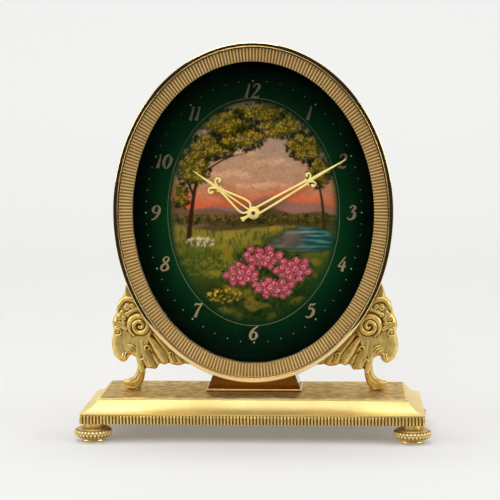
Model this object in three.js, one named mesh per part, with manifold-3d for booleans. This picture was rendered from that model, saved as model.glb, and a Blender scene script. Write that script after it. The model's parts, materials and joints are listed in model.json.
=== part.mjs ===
// A gilt-brass table clock: an oval case on a stepped base, held by two ram-head brackets.
// Millimetres, +Z up, the dial faces -Y, the origin is under the middle of the base.
import * as THREE from "three";
import { mergeVertices } from "three/addons/utils/BufferGeometryUtils.js";
import Module from "manifold-3d";

const wasm = await Module();
wasm.setup();

// Fits shared by all pieces
const REST_GAP = 0.02; // between two flat faces, one standing on the other
const SEAT_GAP = 0.3; // between two pieces that rest on each other
const RUNNING_GAP = 0.3; // round a turning arbor
const SCREW_GAP = 0.25; // round a screw in its hole
const PUSH_FIT = 0.15; // between an arbor and what is pressed on it
const OVAL_FIT = 0.6; // between an oval plate and the oval wall round it
const OVERCUT = 1; // how far a cut runs past the face it starts from

// Base
const BASE_WIDTH = 170;
const BASE_DEPTH = 66;
const BAND_HEIGHT = 4.4;
const BAND_WALL = 3;
const BAND_CORNER = 1.3; // plain strip at each end of a fluted side
const BAND_FLUTE_PITCH = 1.65;
const BAND_FLUTE_DEPTH = 0.5;
const COVE_INSET = 8;
const COVE_HEIGHT = 7;
const COVE_STEPS = 5;
const COVE_FOOT = 0.7; // straight edge under the cove
const COVE_LIP = 0.5; // straight edge over the cove
const COVE_SAG = 1.2; // how far the hollow lies below the straight line from foot to lip
const PLATE_STEP = 0.4; // the thin raised panel on the top plate
const PLATE_STEP_INSET = 1.3;
const BASE_TOP_WALL = 2.6;
const BASE_SIDE_WALL = 11;
const BOTTOM_PLATE = 1.5;

// Feet
const FOOT_HEIGHT = 9.25;
const FOOT_INSET = 6.2;
const FOOT_BUN_RADIUS = 9.5;
const FOOT_NECK_RADIUS = 5.4;
const FOOT_DISC_RADIUS = 6.2;
const FOOT_DISC_HEIGHT = 1.1;
const FOOT_DISC_EDGE = 0.6;
const FOOT_WAIST = 0.9; // how far the disc draws in under the bun
const FOOT_NECK_HEIGHT = 1.7;
const FOOT_SIDES = 12;
const FOOT_STUD_RADIUS = 1.5;
const FOOT_STUD_LENGTH = 5.4;

// Case and bezel, as semi-axes of the outer oval and offsets inward from it
const OVAL_A = 69.7;
const OVAL_B = 84.8;
const CASE_BOTTOM_GAP = 5.6; // from the base plate to the lowest point of the oval
const BEZEL_FRONT = -12.2;
const RIM_WIDTH = 2.9;
const RIM_ROUND = 1.6;
const RIM_ROUND_STEPS = 2;
const RIM_DEPTH = 4.6;
const RIM_LIP_WIDTH = 1.4; // the lip that centres the rim in the case
const RIM_LIP_DEPTH = 1.6;
const BEAD_RADIUS = 0.35;
const FLUTE_COUNT = 282;
const FLUTE_WIDTH = 6.5;
const FLUTE_DEPTH = 0.55;
const FLUTE_SLOPE = 0.9;
const FLUTE_RING_THICKNESS = 2;
const CASE_INSET = 1.2;
const CASE_WALL = 1.6;
const CASE_REAR = 20;
const LEDGE_WIDTH = 6.6;
const CRYSTAL_THICKNESS = 1.6;
const CRYSTAL_DOME = 1.4;
const DOME_MIDDLE = 0.5; // where the dome's flat top begins, as a share of its width
const CRYSTAL_LAP = 2.2; // how far the glass reaches behind the fluted ring
const GASKET_THICKNESS = 1.1;
const DIAL_THICKNESS = 0.8;
const DIAL_DEPTH = 9.2; // from the bezel front to the dial face
const REAR_COVER_THICKNESS = 1.2;
const REAR_LIP = 2.4;
const OVAL_STEPS = 40;
const PLATE_STEPS = 28; // for flat oval plates and hidden rings
const EVEN_STEPS = 720; // for measuring the oval's length

// Pedestal
const PEDESTAL_HALF_WIDTH = 23.4;
const PEDESTAL_TAPER = 2.7; // narrowing of each side up to the oval
const PEDESTAL_LIP = 1.2;
const PEDESTAL_LIP_OUT = 0.7;
const PEDESTAL_FRONT = -6;
const PEDESTAL_REAR = 14;
const SCREW_RADIUS = 1.5;
const SCREW_HEAD_RADIUS = 2.8;
const SCREW_HEAD_HEIGHT = 1.6;
const SCREW_REACH = 4.2;
const PEDESTAL_SCREW_X = 14;
const CASE_SCREW_X = 8;
const CASE_SCREW_Y = 8;
const CASE_SCREW_HEAD_RADIUS = 2.2;

// Ram-head brackets: angles are on the oval, places are from a point of it or up from the base
const HEAD_ANGLE = -40;
const BRACKET_SCREW_OUT = 6.2;
const LEAF_TOP_ANGLE = -25.6;
const LEAF_BOTTOM_ANGLE = -64.5;
const LEAF_REACH = 16;
const LEAF_TIP = 1.2;
const LEAF_LOBES = 3;
const LEAF_LOBE_DEPTH = 0.1; // share of the reach
const LEAF_HALF_THICKNESS = 3.4;
const LEAF_EDGE_HALF = 1.2; // half the leaf's thickness at its tips
const LEAF_SINK = 2.2; // how far the leaf starts inside the oval, before its seat is cut
const LEAF_STEPS = 12;
const LEAF_SIDES = 6;
const LEAF_FINGERS = 3;
const FINGER_SPAN = 7; // from the first finger's root down to the last one's
const FINGER_FALL = 2.5; // and between their tips
const FINGER_SIZES = [[0, 0.7], [0.5, 1.9], [0.85, 1.7], [1, 0.6]]; // half-widths along a finger
const FINGER_FLATNESS = 0.8;
const FINGER_TOP_X = 6;
const FINGER_TOP_Z = -8;
const FINGER_BOTTOM_X = -15;
const FINGER_BOTTOM_Z = -22;
const FINGER_LIFT = 2.3;
const HORN_X = 5;
const HORN_Z = -3.3;
const HORN_RADIUS = 4.8;
const HORN_TURNS = 1.35;
const HORN_START = 27; // degrees, where the horn leaves the crown
const HORN_COIL = 0.72; // share of the radius that is lost to the tip
const HORN_THICKNESS = 2.1;
const HORN_TAPER = 1.2;
const HORN_Y = 4;
const HORN_SPLAY = 1.2; // how far the tip stands out beyond the root
const HORN_STEPS = 10;
const HORN_SIDES = 5;
const EAR_Y = 4.2;
const EYE_RADIUS = 0.9;
const EYE_X = 15.6;
const EYE_Y = 3.8;
const EYE_Z = -5.6;
// Stations along each limb: x, z, half-width and half-thickness
const HEAD_STATIONS = [
  [10.6, 4.6, 4.6, 4.2],
  [13.2, -1.4, 5.2, 4.6],
  [14.4, -7.4, 4.7, 4.2],
  [14.2, -12.9, 5, 3.7],
  [13.9, -17.2, 4.3, 3.3],
  [13.2, -20.6, 2, 2.1],
];
const NECK_STATIONS = [
  [10.6, 18.2, 0.5, 0.8],
  [10.4, 12.4, 2.8, 2.3],
  [10.4, 7.6, 4.4, 3.4],
  [8.6, 0, 6, 4.6],
  [7, -8, 6, 4.4],
  [5, -16, 4, 3.6],
];
const EAR_STATIONS = [
  [7.6, -8.4, 0.8, 0.7],
  [9.6, -11, 1.5, 0.9],
  [11.4, -14.2, 0.4, 0.4],
];
const LEG_STATIONS = [
  [13.6, 4.3, 0.5, 0.8],
  [12.2, 3.5, 1.6, 1.7],
  [9.4, 1.8, 2.5, 2.4],
  [6.3, 3.5, 2.8, 2.5],
  [4.5, 7.8, 2.3, 2.6],
  [4.2, 12.5, 2.3, 2.8],
  [4.8, 19, 2.8, 3.2],
];

// Hands, and the time that they show at rest
const SHOWN_HOUR = 10;
const SHOWN_MINUTE = 10;
const HAND_THICKNESS = 0.5;
const HAND_LIFT = 1.1; // from the dial face to the hour hand
const HAND_SPACING = 0.6;
const HAND_RAIL = 1; // width of the thin bars of both hands
const HAND_TAIL = 6.8;
const TAIL_NECK = 1.2;
const TAIL_FLARE = 2.6;
const NEEDLE_WIDTH = 1.8;
const NEEDLE_TIP = 0.4;
const NEEDLE_LAP = 0.6; // how far a needle starts below its crossbar
const CROSSBAR_HALF = 2.7;
const CROSSBAR_WIDTH = 0.85;
const CURL_RADIUS = 1.5;
const CURL_WIDTH = 0.7;
const CURL_OUT = 1; // from the needle's middle to the curl
const CURL_RISE = 1.45; // from the crossbar up to the curl's middle
const CURL_STEPS = 5;
const HAND_BOSS_RADIUS = 2.9;
const MINUTE_LENGTH = 53.5;
const MINUTE_CROSSBAR = 30.8;
const RAIL_SPREAD = 1.6; // half the distance between the rails at the boss
const RAIL_CLOSE = 0.9; // and at the crossbar
const HOUR_LENGTH = 36.9;
const HOUR_CROSSBAR = 20.9;
const HOUR_BAR = 0.9;
const HOUR_BOSS_RADIUS = 3.2;
const HOUR_BOW = 3.1; // how far each bow of the hour hand swells
const BOW_START_X = 1.4;
const BOW_START_Z = 1.6;
const BOW_END_X = 0.5;
const BOW_HEIGHT = 0.55; // where the bow is widest, as a share of the way to the crossbar
const HAND_NUT_RADIUS = 2.2;
const HAND_NUT_HEIGHT = 0.9;

// Movement: plates, wheels and arbors
const PLATE_THICKNESS = 1.5;
const PLATE_GAP = 8;
const PLATE_LEFT = 27;
const PLATE_RIGHT = 37;
const PLATE_ABOVE = 30;
const PLATE_BELOW = 45;
const PLATE_CORNER = 4;
const PILLAR_RADIUS = 2.2;
const PILLAR_INSET = 4.4;
const PIVOT_RUN = 0.7; // share of a plate's thickness that a pivot runs in
const PIVOT_SIDES = 8;
const WHEEL_THICKNESS = 0.7;
const WHEEL_RIM = 2.4; // in modules, from the pitch circle to the crossings
const WHEEL_HUB_RADIUS = 3;
const WHEEL_SPOKES = 3;
const SPOKE_HALF_WIDTH = 0.7;
const LEVEL_GAP = 0.5;
const MOTION_THICKNESS = 0.7;
const MOTION_GAP = 0.3;
const ARBOR_RADIUS = 0.7;
const CENTRE_ARBOR_RADIUS = 1;
const CENTRE_PIPE_RADIUS = 2;
const HOUR_PIPE_RADIUS = 1.9;
const MINUTE_STUD_RADIUS = 0.6;
const BARREL_ARBOR_RADIUS = 2;
const TRAIN_MODULE = 0.5;
const GREAT_MODULE = 0.75;
const ESCAPE_MODULE = 0.4;
const MOTION_MODULE = 0.5;
const TOOTH_TIP = 0.6; // in modules, outside the pitch circle
const TOOTH_ROOT = 0.95;
const MESH_SLACK = 0.06; // play between the centres of two meshing wheels
const BARREL_ANGLE = 260; // where each arbor lies from the one that drives it
const THIRD_ANGLE = 60;
const FOURTH_ANGLE = 20;
const ESCAPE_ANGLE = 300;
const PALLET_ANGLE = 280;
const MINUTE_WHEEL_ANGLE = 150;
const CLICK_ANGLE = 40;
const BARREL_TEETH = 48;
const CENTRE_LEAVES = 8;
const CENTRE_TEETH = 48;
const THIRD_LEAVES = 6;
const THIRD_TEETH = 45;
const FOURTH_LEAVES = 6;
const FOURTH_TEETH = 48;
const ESCAPE_LEAVES = 6;
const ESCAPE_TEETH = 15;
const CANNON_LEAVES = 8;
const MINUTE_WHEEL_TEETH = 24;
const MINUTE_WHEEL_LEAVES = 6;
const HOUR_WHEEL_TEETH = 24;
const ESCAPE_RADIUS = 5;
const ESCAPE_TOOTH_HEIGHT = 1.5;
const ESCAPE_TOOTH_BACK = 0.3; // shares of a tooth's step
const ESCAPE_TOOTH_FOOT = 0.85;
const PALLET_DISTANCE = 7.6;
const PALLET_CLEARANCE = 0.7;
const PALLET_SPREAD = 54; // from the line of centres to each stone, seen from the escape wheel
const PALLET_HUB_RADIUS = 1.5;
const PALLET_ARM = 1.4;
const PALLET_ARM_END = 1;
const STONE_LENGTH = 1.2;
const STONE_WIDTH = 0.8;
const FORK_WIDTH = 1.6;
const FORK_END = 0.9;
const BALANCE_DISTANCE = 10;
const BALANCE_RADIUS = 9;
const BALANCE_RIM = 1.2;
const BALANCE_HUB_RADIUS = 1.8;
const ROLLER_RADIUS = 1.5;
const SPRING_STRIP = 0.4;
const SPRING_STEPS = 8; // per turn
const MAINSPRING_TURNS = 4;
const HAIRSPRING_TURNS = 3;
const HAIRSPRING_RADIUS = 5.4;
const BARREL_WALL = 1;
const RATCHET_TEETH = 14;
const RATCHET_RADIUS = 6;
const RATCHET_TOOTH_HEIGHT = 0.9;
const RATCHET_TOOTH_FACE = 0.12; // share of a tooth's step
const CLICK_DISTANCE = 9.6;
const CLICK_CLEARANCE = 0.35;
const CLICK_HUB_RADIUS = 1.9;
const CLICK_STUD_RADIUS = 1;
const CLICK_ARM = 2;
const CLICK_BEAK_ANGLE = 75;
const CLICK_BEAK_LENGTH = 1.5;
const CLICK_BEAK_WIDTH = 1;
const CLICK_BEAK_TIP = 0.7;
const CLICK_SPRING_WIDTH = 0.6;
const CLICK_SPRING_POST_RADIUS = 1.1;
const CLICK_SPRING_POST_OUT = 11; // from the ratchet's edge
const CLICK_SPRING_POST_ANGLE = 85;
const CLICK_SPRING_END_OUT = 4.2;
const CLICK_SPRING_END_ANGLE = 62;
const COCK_THICKNESS = 1.3;
const COCK_HALF_WIDTH = 3;
const COCK_FOOT_OUT = 4; // from the balance's edge to the cock's foot
const COCK_ANGLE = 100;
const COCK_BOSS_RADIUS = 1.9;
const REGULATOR_LENGTH = 11;
const REGULATOR_ANGLE = 20;
const REGULATOR_RING = 1.5;
const REGULATOR_WIDTH = 1.8;
const REGULATOR_TIP = 0.5;
const KEY_PIPE_RADIUS = 3.1;
const KEY_WING_RADIUS = 5;
const KEY_WING_LAP = 0.9; // how far the wings run into each other at the pipe
const KEY_WING_THICKNESS = 1.6;
const KEY_HOLE_SHIFT = 0.6;
const KEY_BORE_DEPTH = 3.4;
const KEY_STANDOFF = 3.4;
const KNOB_RADIUS = 5;
const KNOB_LENGTH = 5;
const KNOB_GRIPS = 14;
const KNOB_GRIP_DEPTH = 0.4;
const KNOB_BORE = 0.6; // share of the knob's length
const KNOB_STANDOFF = 0.8;

// Heights and depths that follow from these
const BAND_TOP = FOOT_HEIGHT + BAND_HEIGHT;
const BASE_TOP = BAND_TOP + COVE_HEIGHT + PLATE_STEP;
const CASE_Z = BASE_TOP + CASE_BOTTOM_GAP + OVAL_B;
const CASE_OFFSET = -CASE_INSET;
const CASE_BORE = CASE_OFFSET - CASE_WALL;
const FLUTE_OUTER = -RIM_WIDTH;
const FLUTE_INNER = FLUTE_OUTER - FLUTE_WIDTH;
const FLUTE_BACK = BEZEL_FRONT + FLUTE_SLOPE + FLUTE_RING_THICKNESS;
const CRYSTAL_FRONT = FLUTE_BACK + SEAT_GAP;
const CRYSTAL_EDGE = FLUTE_INNER + CRYSTAL_LAP;
const CRYSTAL_BACK = CRYSTAL_FRONT + CRYSTAL_THICKNESS;
const GASKET_INNER = FLUTE_INNER + OVAL_FIT;
const GASKET_FRONT = CRYSTAL_BACK + SEAT_GAP;
const GASKET_BACK = GASKET_FRONT + GASKET_THICKNESS;
const DIAL_FRONT = BEZEL_FRONT + DIAL_DEPTH;
const DIAL_BACK = DIAL_FRONT + DIAL_THICKNESS;
const LEDGE_FRONT = DIAL_BACK + SEAT_GAP;
const LEDGE_DEPTH = 2 * MOTION_THICKNESS + 3 * MOTION_GAP - 2 * SEAT_GAP;
const LEDGE_BACK = LEDGE_FRONT + LEDGE_DEPTH;
const LEDGE_INNER = CASE_BORE - LEDGE_WIDTH;
const RIM_BACK = BEZEL_FRONT + RIM_DEPTH;
const COVER_FRONT = CASE_REAR + SEAT_GAP;
const COVER_BACK = COVER_FRONT + REAR_COVER_THICKNESS;

// Finishes
const GILT = { color: 0xd2a955, metalness: 1, roughness: 0.28 };
const MATT_GILT = { color: 0xc9a552, metalness: 1, roughness: 0.5 };
const SATIN_GILT = { color: 0xb8985c, metalness: 1, roughness: 0.42 };
const AMBER_GILT = { color: 0x8a5a18, metalness: 1, roughness: 0.2 };
const BRASS = { color: 0xb5903f, metalness: 1, roughness: 0.35 };
const STEEL = { color: 0x9aa0a6, metalness: 1, roughness: 0.3 };
const GLASS = { color: 0xf2f6f4, metalness: 0, roughness: 0.02, transparent: true, opacity: 0.2 };
const ENAMEL = { color: 0x0f2a1c, metalness: 0, roughness: 0.15 };
const RUBBER = { color: 0x181a18, metalness: 0, roughness: 0.8 };

const clock = new THREE.Group();

// Adds one finished piece to the clock.
function addPiece(name, geometry, finish) {
  const mesh = new THREE.Mesh(geometry, new THREE.MeshStandardMaterial(finish));
  mesh.name = name;
  clock.add(mesh);
}

// A closed geometry as a solid for joining and cutting.
function solidOf(geometry) {
  const bare = geometry.clone();
  bare.deleteAttribute("normal");
  bare.deleteAttribute("uv");
  const merged = mergeVertices(bare, 1e-4);
  const vertProperties = new Float32Array(merged.attributes.position.array);
  const triVerts = new Uint32Array(merged.index.array);
  return new wasm.Manifold(new wasm.Mesh({ numProp: 3, vertProperties, triVerts }));
}

function geometryOf(solid) {
  const mesh = solid.getMesh();
  const geometry = new THREE.BufferGeometry();
  geometry.setAttribute("position", new THREE.BufferAttribute(mesh.vertProperties, 3));
  geometry.setIndex(new THREE.BufferAttribute(mesh.triVerts, 1));
  return geometry;
}

function join(...geometries) {
  return geometryOf(geometries.map(solidOf).reduce((whole, solid) => whole.add(solid)));
}

function cut(geometry, ...tools) {
  return geometryOf(tools.map(solidOf).reduce((whole, tool) => whole.subtract(tool), solidOf(geometry)));
}

// A geometry from points and triangles, with its faces turned outward.
function surface(points, faces) {
  let volume = 0;
  for (const [a, b, c] of faces) {
    volume += points[a].dot(new THREE.Vector3().crossVectors(points[b], points[c]));
  }
  const index = faces.flatMap(([a, b, c]) => (volume < 0 ? [a, c, b] : [a, b, c]));
  return new THREE.BufferGeometry().setFromPoints(points).setIndex(index);
}

// The triangles between two rows of points that run the same way round, of any two counts.
function stitch(first, firstCount, second, secondCount) {
  const faces = [];
  let i = 0;
  let j = 0;
  while (i < firstCount || j < secondCount) {
    const a = first + (i % firstCount);
    const b = second + (j % secondCount);
    if (j >= secondCount || (i < firstCount && (i + 1) / firstCount <= (j + 1) / secondCount)) {
      faces.push([a, first + ((i + 1) % firstCount), b]);
      i += 1;
    } else {
      faces.push([a, second + ((j + 1) % secondCount), b]);
      j += 1;
    }
  }
  return faces;
}

// A skin over rings of points: a tube with flat ends, or a closed loop of rings.
function loft(rings, loop = false) {
  const points = rings.flat();
  const starts = rings.map((ring, i) => rings.slice(0, i).reduce((sum, r) => sum + r.length, 0));
  const faces = [];
  const last = loop ? rings.length : rings.length - 1;
  for (let i = 0; i < last; i += 1) {
    const next = (i + 1) % rings.length;
    faces.push(...stitch(starts[i], rings[i].length, starts[next], rings[next].length));
  }
  if (!loop) {
    const end = rings.length - 1;
    const capEnds = [
      [rings[0], starts[0], false],
      [rings[end], starts[end], true],
    ];
    for (const [ring, start, forward] of capEnds) {
      const middle = points.length;
      const sum = ring.reduce((total, p) => total.add(p), new THREE.Vector3());
      points.push(sum.divideScalar(ring.length));
      ring.forEach((_, k) => {
        const here = start + k;
        const next = start + ((k + 1) % ring.length);
        faces.push(forward ? [here, next, middle] : [next, here, middle]);
      });
    }
  }
  return surface(points, faces);
}

// A point on the oval that lies a given offset outside the bezel's outer edge.
function ovalPoint(offset, angle, y) {
  const x = (OVAL_A + offset) * Math.cos(angle);
  return new THREE.Vector3(x, y, CASE_Z + (OVAL_B + offset) * Math.sin(angle));
}

// The height of that oval's lower side at a distance from the middle.
function ovalUnderside(offset, x) {
  return CASE_Z - (OVAL_B + offset) * Math.sqrt(1 - (x / (OVAL_A + offset)) ** 2);
}

function ovalLoop(offset, y, count = OVAL_STEPS) {
  return Array.from({ length: count }, (_, i) => ovalPoint(offset, (2 * Math.PI * i) / count, y));
}

// The same loop with its points at even steps of the oval's length.
function evenOvalLoop(offset, y, count) {
  const fine = ovalLoop(offset, y, EVEN_STEPS);
  const curve = new THREE.CatmullRomCurve3(fine, true);
  curve.arcLengthDivisions = EVEN_STEPS;
  return curve.getSpacedPoints(count).slice(0, count);
}

// A ring of constant section that follows the oval; the section is a list of [offset, y].
function ovalRing(section, count = OVAL_STEPS) {
  return loft(section.map(([offset, y]) => ovalLoop(offset, y, count)), true);
}

// A turned solid in the oval's shape; the section runs from the middle of one face to the other.
function ovalDisc(section, count = PLATE_STEPS) {
  return loft(section.map(([offset, y]) => ovalLoop(offset, y, count)));
}

// A flat outline drawn in X and Z, made solid between two depths.
function slab(shape, front, back, curveSegments = 8) {
  const depth = back - front;
  const geometry = new THREE.ExtrudeGeometry(shape, { depth, bevelEnabled: false, curveSegments });
  return geometry.rotateX(Math.PI / 2).translate(0, back, 0);
}

// A round bar along Y between two depths.
function barY(radius, x, z, front, back, sides = 16) {
  const bar = new THREE.CylinderGeometry(radius, radius, back - front, sides);
  return bar.translate(x, (front + back) / 2, z);
}

// A round bar along Z between two heights.
function barZ(radius, x, y, bottom, top, sides = 16) {
  const bar = new THREE.CylinderGeometry(radius, radius, top - bottom, sides);
  return bar.rotateX(Math.PI / 2).translate(x, y, (bottom + top) / 2);
}

function box(width, depth, bottom, top) {
  return new THREE.BoxGeometry(width, depth, top - bottom).translate(0, 0, (bottom + top) / 2);
}

// Places of the four feet, as [name, x, y].
const FOOT_X = BASE_WIDTH / 2 - FOOT_INSET;
const FOOT_Y = BASE_DEPTH / 2 - FOOT_INSET;
const FEET = [
  ["front_left", -FOOT_X, -FOOT_Y],
  ["front_right", FOOT_X, -FOOT_Y],
  ["rear_left", -FOOT_X, FOOT_Y],
  ["rear_right", FOOT_X, FOOT_Y],
];
const STUD_TOP = FOOT_HEIGHT + FOOT_STUD_LENGTH;
const STUD_HOLE_RADIUS = FOOT_STUD_RADIUS + SCREW_GAP;
const SCREW_HOLE_RADIUS = SCREW_RADIUS + SCREW_GAP;

// A turned bun foot with the stud that clamps the base together.
function foot(x, y) {
  const profile = new THREE.Path();
  const waist = FOOT_DISC_RADIUS - FOOT_WAIST;
  const bunBottom = FOOT_DISC_HEIGHT + FOOT_DISC_EDGE;
  const neckBottom = FOOT_HEIGHT - FOOT_NECK_HEIGHT;
  profile.moveTo(0, 0);
  profile.lineTo(FOOT_DISC_RADIUS, 0);
  profile.lineTo(FOOT_DISC_RADIUS, FOOT_DISC_HEIGHT);
  profile.lineTo(waist, bunBottom);
  profile.quadraticCurveTo(FOOT_BUN_RADIUS, bunBottom, FOOT_BUN_RADIUS, (bunBottom + neckBottom) / 2);
  profile.quadraticCurveTo(FOOT_BUN_RADIUS, neckBottom, FOOT_NECK_RADIUS, neckBottom);
  profile.lineTo(FOOT_NECK_RADIUS, FOOT_HEIGHT);
  profile.lineTo(FOOT_STUD_RADIUS, FOOT_HEIGHT);
  profile.lineTo(FOOT_STUD_RADIUS, STUD_TOP);
  profile.lineTo(0, STUD_TOP);
  const turned = new THREE.LatheGeometry(profile.getPoints(2), FOOT_SIDES);
  return turned.rotateX(Math.PI / 2).translate(x, y, 0);
}

// A rectangle as a ring of four corners, inset from the base's outline.
function baseCorners(inset, z) {
  const x = BASE_WIDTH / 2 - inset;
  const y = BASE_DEPTH / 2 - inset;
  const corners = [[-x, -y], [x, -y], [x, y], [-x, y]];
  return corners.map(([cx, cy]) => new THREE.Vector3(cx, cy, z));
}

const SKIRT_INSET = BAND_WALL + SEAT_GAP;
const SKIRT_BOTTOM = FOOT_HEIGHT + BOTTOM_PLATE;
const POCKET_TOP = BASE_TOP - BASE_TOP_WALL;

// The base's top: a concave cove under a flat plate, hollow below, with a skirt inside the band.
function basePlinth() {
  const rings = [baseCorners(0, BAND_TOP)];
  const rise = COVE_HEIGHT - COVE_FOOT - COVE_LIP;
  const slant = Math.hypot(COVE_INSET, rise);
  for (let i = 0; i <= COVE_STEPS; i += 1) {
    const share = i / COVE_STEPS;
    const sag = 4 * COVE_SAG * share * (1 - share);
    const inset = COVE_INSET * share + (sag * rise) / slant;
    const height = rise * share - (sag * COVE_INSET) / slant;
    rings.push(baseCorners(inset, BAND_TOP + COVE_FOOT + height));
  }
  rings.push(baseCorners(COVE_INSET, BASE_TOP - PLATE_STEP));
  rings.push(baseCorners(COVE_INSET + PLATE_STEP_INSET, BASE_TOP - PLATE_STEP));
  rings.push(baseCorners(COVE_INSET + PLATE_STEP_INSET, BASE_TOP));
  const skirtWidth = BASE_WIDTH - 2 * SKIRT_INSET;
  const skirtDepth = BASE_DEPTH - 2 * SKIRT_INSET;
  const skirt = box(skirtWidth, skirtDepth, SKIRT_BOTTOM, BAND_TOP + COVE_FOOT);
  const pocketWidth = BASE_WIDTH - 2 * BASE_SIDE_WALL;
  const pocketDepth = BASE_DEPTH - 2 * BASE_SIDE_WALL;
  const pocket = box(pocketWidth, pocketDepth, SKIRT_BOTTOM - OVERCUT, POCKET_TOP);
  const studHoles = FEET.map(([, x, y]) => {
    return barZ(STUD_HOLE_RADIUS, x, y, SKIRT_BOTTOM - OVERCUT, STUD_TOP + SCREW_GAP, 8);
  });
  const screwHoles = BASE_SCREWS.map(([, x, y]) => {
    return barZ(SCREW_HOLE_RADIUS, x, y, POCKET_TOP - OVERCUT, BASE_TOP + OVERCUT, 8);
  });
  return cut(join(loft(rings), skirt), pocket, ...studHoles, ...screwHoles);
}

// One side of the fluted band: crests on the outline and grooves cut back from it.
function flutedSide(from, to, inward) {
  const length = from.distanceTo(to);
  const along = new THREE.Vector2().subVectors(to, from).normalize();
  const count = Math.floor((length - 2 * BAND_CORNER) / BAND_FLUTE_PITCH);
  const start = (length - count * BAND_FLUTE_PITCH) / 2;
  const points = [from.clone()];
  for (let i = 0; i < count; i += 1) {
    const edge = from.clone().addScaledVector(along, start + i * BAND_FLUTE_PITCH);
    const groove = from.clone().addScaledVector(along, start + (i + 0.5) * BAND_FLUTE_PITCH);
    points.push(edge, groove.addScaledVector(inward, BAND_FLUTE_DEPTH));
  }
  points.push(from.clone().addScaledVector(along, length - start));
  return points;
}

// The reeded band round the base, a frame with a plain strip at each corner.
function flutedBand() {
  const corners = baseCorners(0, 0).map((p) => new THREE.Vector2(p.x, p.y));
  const inward = [[0, 1], [-1, 0], [0, -1], [1, 0]].map(([x, y]) => new THREE.Vector2(x, y));
  const outline = corners.flatMap((corner, i) => flutedSide(corner, corners[(i + 1) % 4], inward[i]));
  const shape = new THREE.Shape(outline);
  shape.holes.push(new THREE.Path(baseCorners(BAND_WALL, 0).map((p) => new THREE.Vector2(p.x, p.y))));
  const band = new THREE.ExtrudeGeometry(shape, { depth: BAND_HEIGHT, bevelEnabled: false });
  return band.translate(0, 0, FOOT_HEIGHT);
}

function baseBottomPlate() {
  const plate = box(BASE_WIDTH - 2 * SKIRT_INSET, BASE_DEPTH - 2 * SKIRT_INSET, FOOT_HEIGHT, SKIRT_BOTTOM);
  return cut(plate, ...FEET.map(([, x, y]) => barZ(STUD_HOLE_RADIUS, x, y, 0, SKIRT_BOTTOM + OVERCUT, 8)));
}

// The point of the oval from which a bracket's head, horn and leg are placed.
const BRACKET_ANCHOR = ovalPoint(0, (HEAD_ANGLE * Math.PI) / 180, 0);
const BRACKET_SCREW_X = BRACKET_ANCHOR.x + BRACKET_SCREW_OUT;

// Screws that come up through the base plate, as [name, x, y].
const PEDESTAL_SCREW_Y = (PEDESTAL_FRONT + PEDESTAL_REAR) / 2;
const BASE_SCREWS = [
  ["pedestal_screw_left", -PEDESTAL_SCREW_X, PEDESTAL_SCREW_Y],
  ["pedestal_screw_right", PEDESTAL_SCREW_X, PEDESTAL_SCREW_Y],
  ["bracket_screw_left", -BRACKET_SCREW_X, 0],
  ["bracket_screw_right", BRACKET_SCREW_X, 0],
];
const BASE_SCREW_TOP = BASE_TOP + SCREW_REACH;

// A turned screw that points up (1) or down (-1), with its head's seat at a height.
function screw(x, y, seat, up, reach, headRadius) {
  const profile = [
    [0, -SCREW_HEAD_HEIGHT],
    [headRadius, -SCREW_HEAD_HEIGHT],
    [headRadius, 0],
    [SCREW_RADIUS, 0],
    [SCREW_RADIUS, reach],
    [0, reach],
  ].map(([radius, z]) => new THREE.Vector2(radius, z));
  const turned = new THREE.LatheGeometry(profile, 8).rotateX((up * Math.PI) / 2);
  return turned.translate(x, y, seat);
}

function baseScrew(x, y) {
  const seat = POCKET_TOP - SEAT_GAP;
  return screw(x, y, seat, 1, BASE_SCREW_TOP - seat, SCREW_HEAD_RADIUS);
}

// A screw inside the case that pulls it down on the pedestal.
function caseScrew(x) {
  const seat = ovalUnderside(CASE_BORE, Math.abs(x) + CASE_SCREW_HEAD_RADIUS) + SEAT_GAP;
  const tip = ovalUnderside(CASE_OFFSET, x) - SCREW_REACH;
  return screw(x, CASE_SCREW_Y, seat, -1, seat - tip, CASE_SCREW_HEAD_RADIUS);
}

// Clearance holes for the case screws.
function caseScrewHoles() {
  return [-CASE_SCREW_X, CASE_SCREW_X].map((x) => {
    const bottom = ovalUnderside(CASE_OFFSET, x) - SCREW_REACH - SCREW_GAP;
    const top = ovalUnderside(CASE_BORE, CASE_SCREW_X + CASE_SCREW_HEAD_RADIUS) + OVERCUT;
    return barZ(SCREW_HOLE_RADIUS, x, CASE_SCREW_Y, bottom, top, 8);
  });
}

// The solid oval that the case fills, with a clearance, for cutting seats.
function caseSeat() {
  const offset = CASE_OFFSET + SEAT_GAP;
  return ovalDisc([
    [SEAT_GAP, BEZEL_FRONT - OVERCUT],
    [SEAT_GAP, RIM_BACK + SEAT_GAP],
    [offset, RIM_BACK + SEAT_GAP],
    [offset, COVER_BACK + OVERCUT],
  ], OVAL_STEPS);
}

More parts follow.
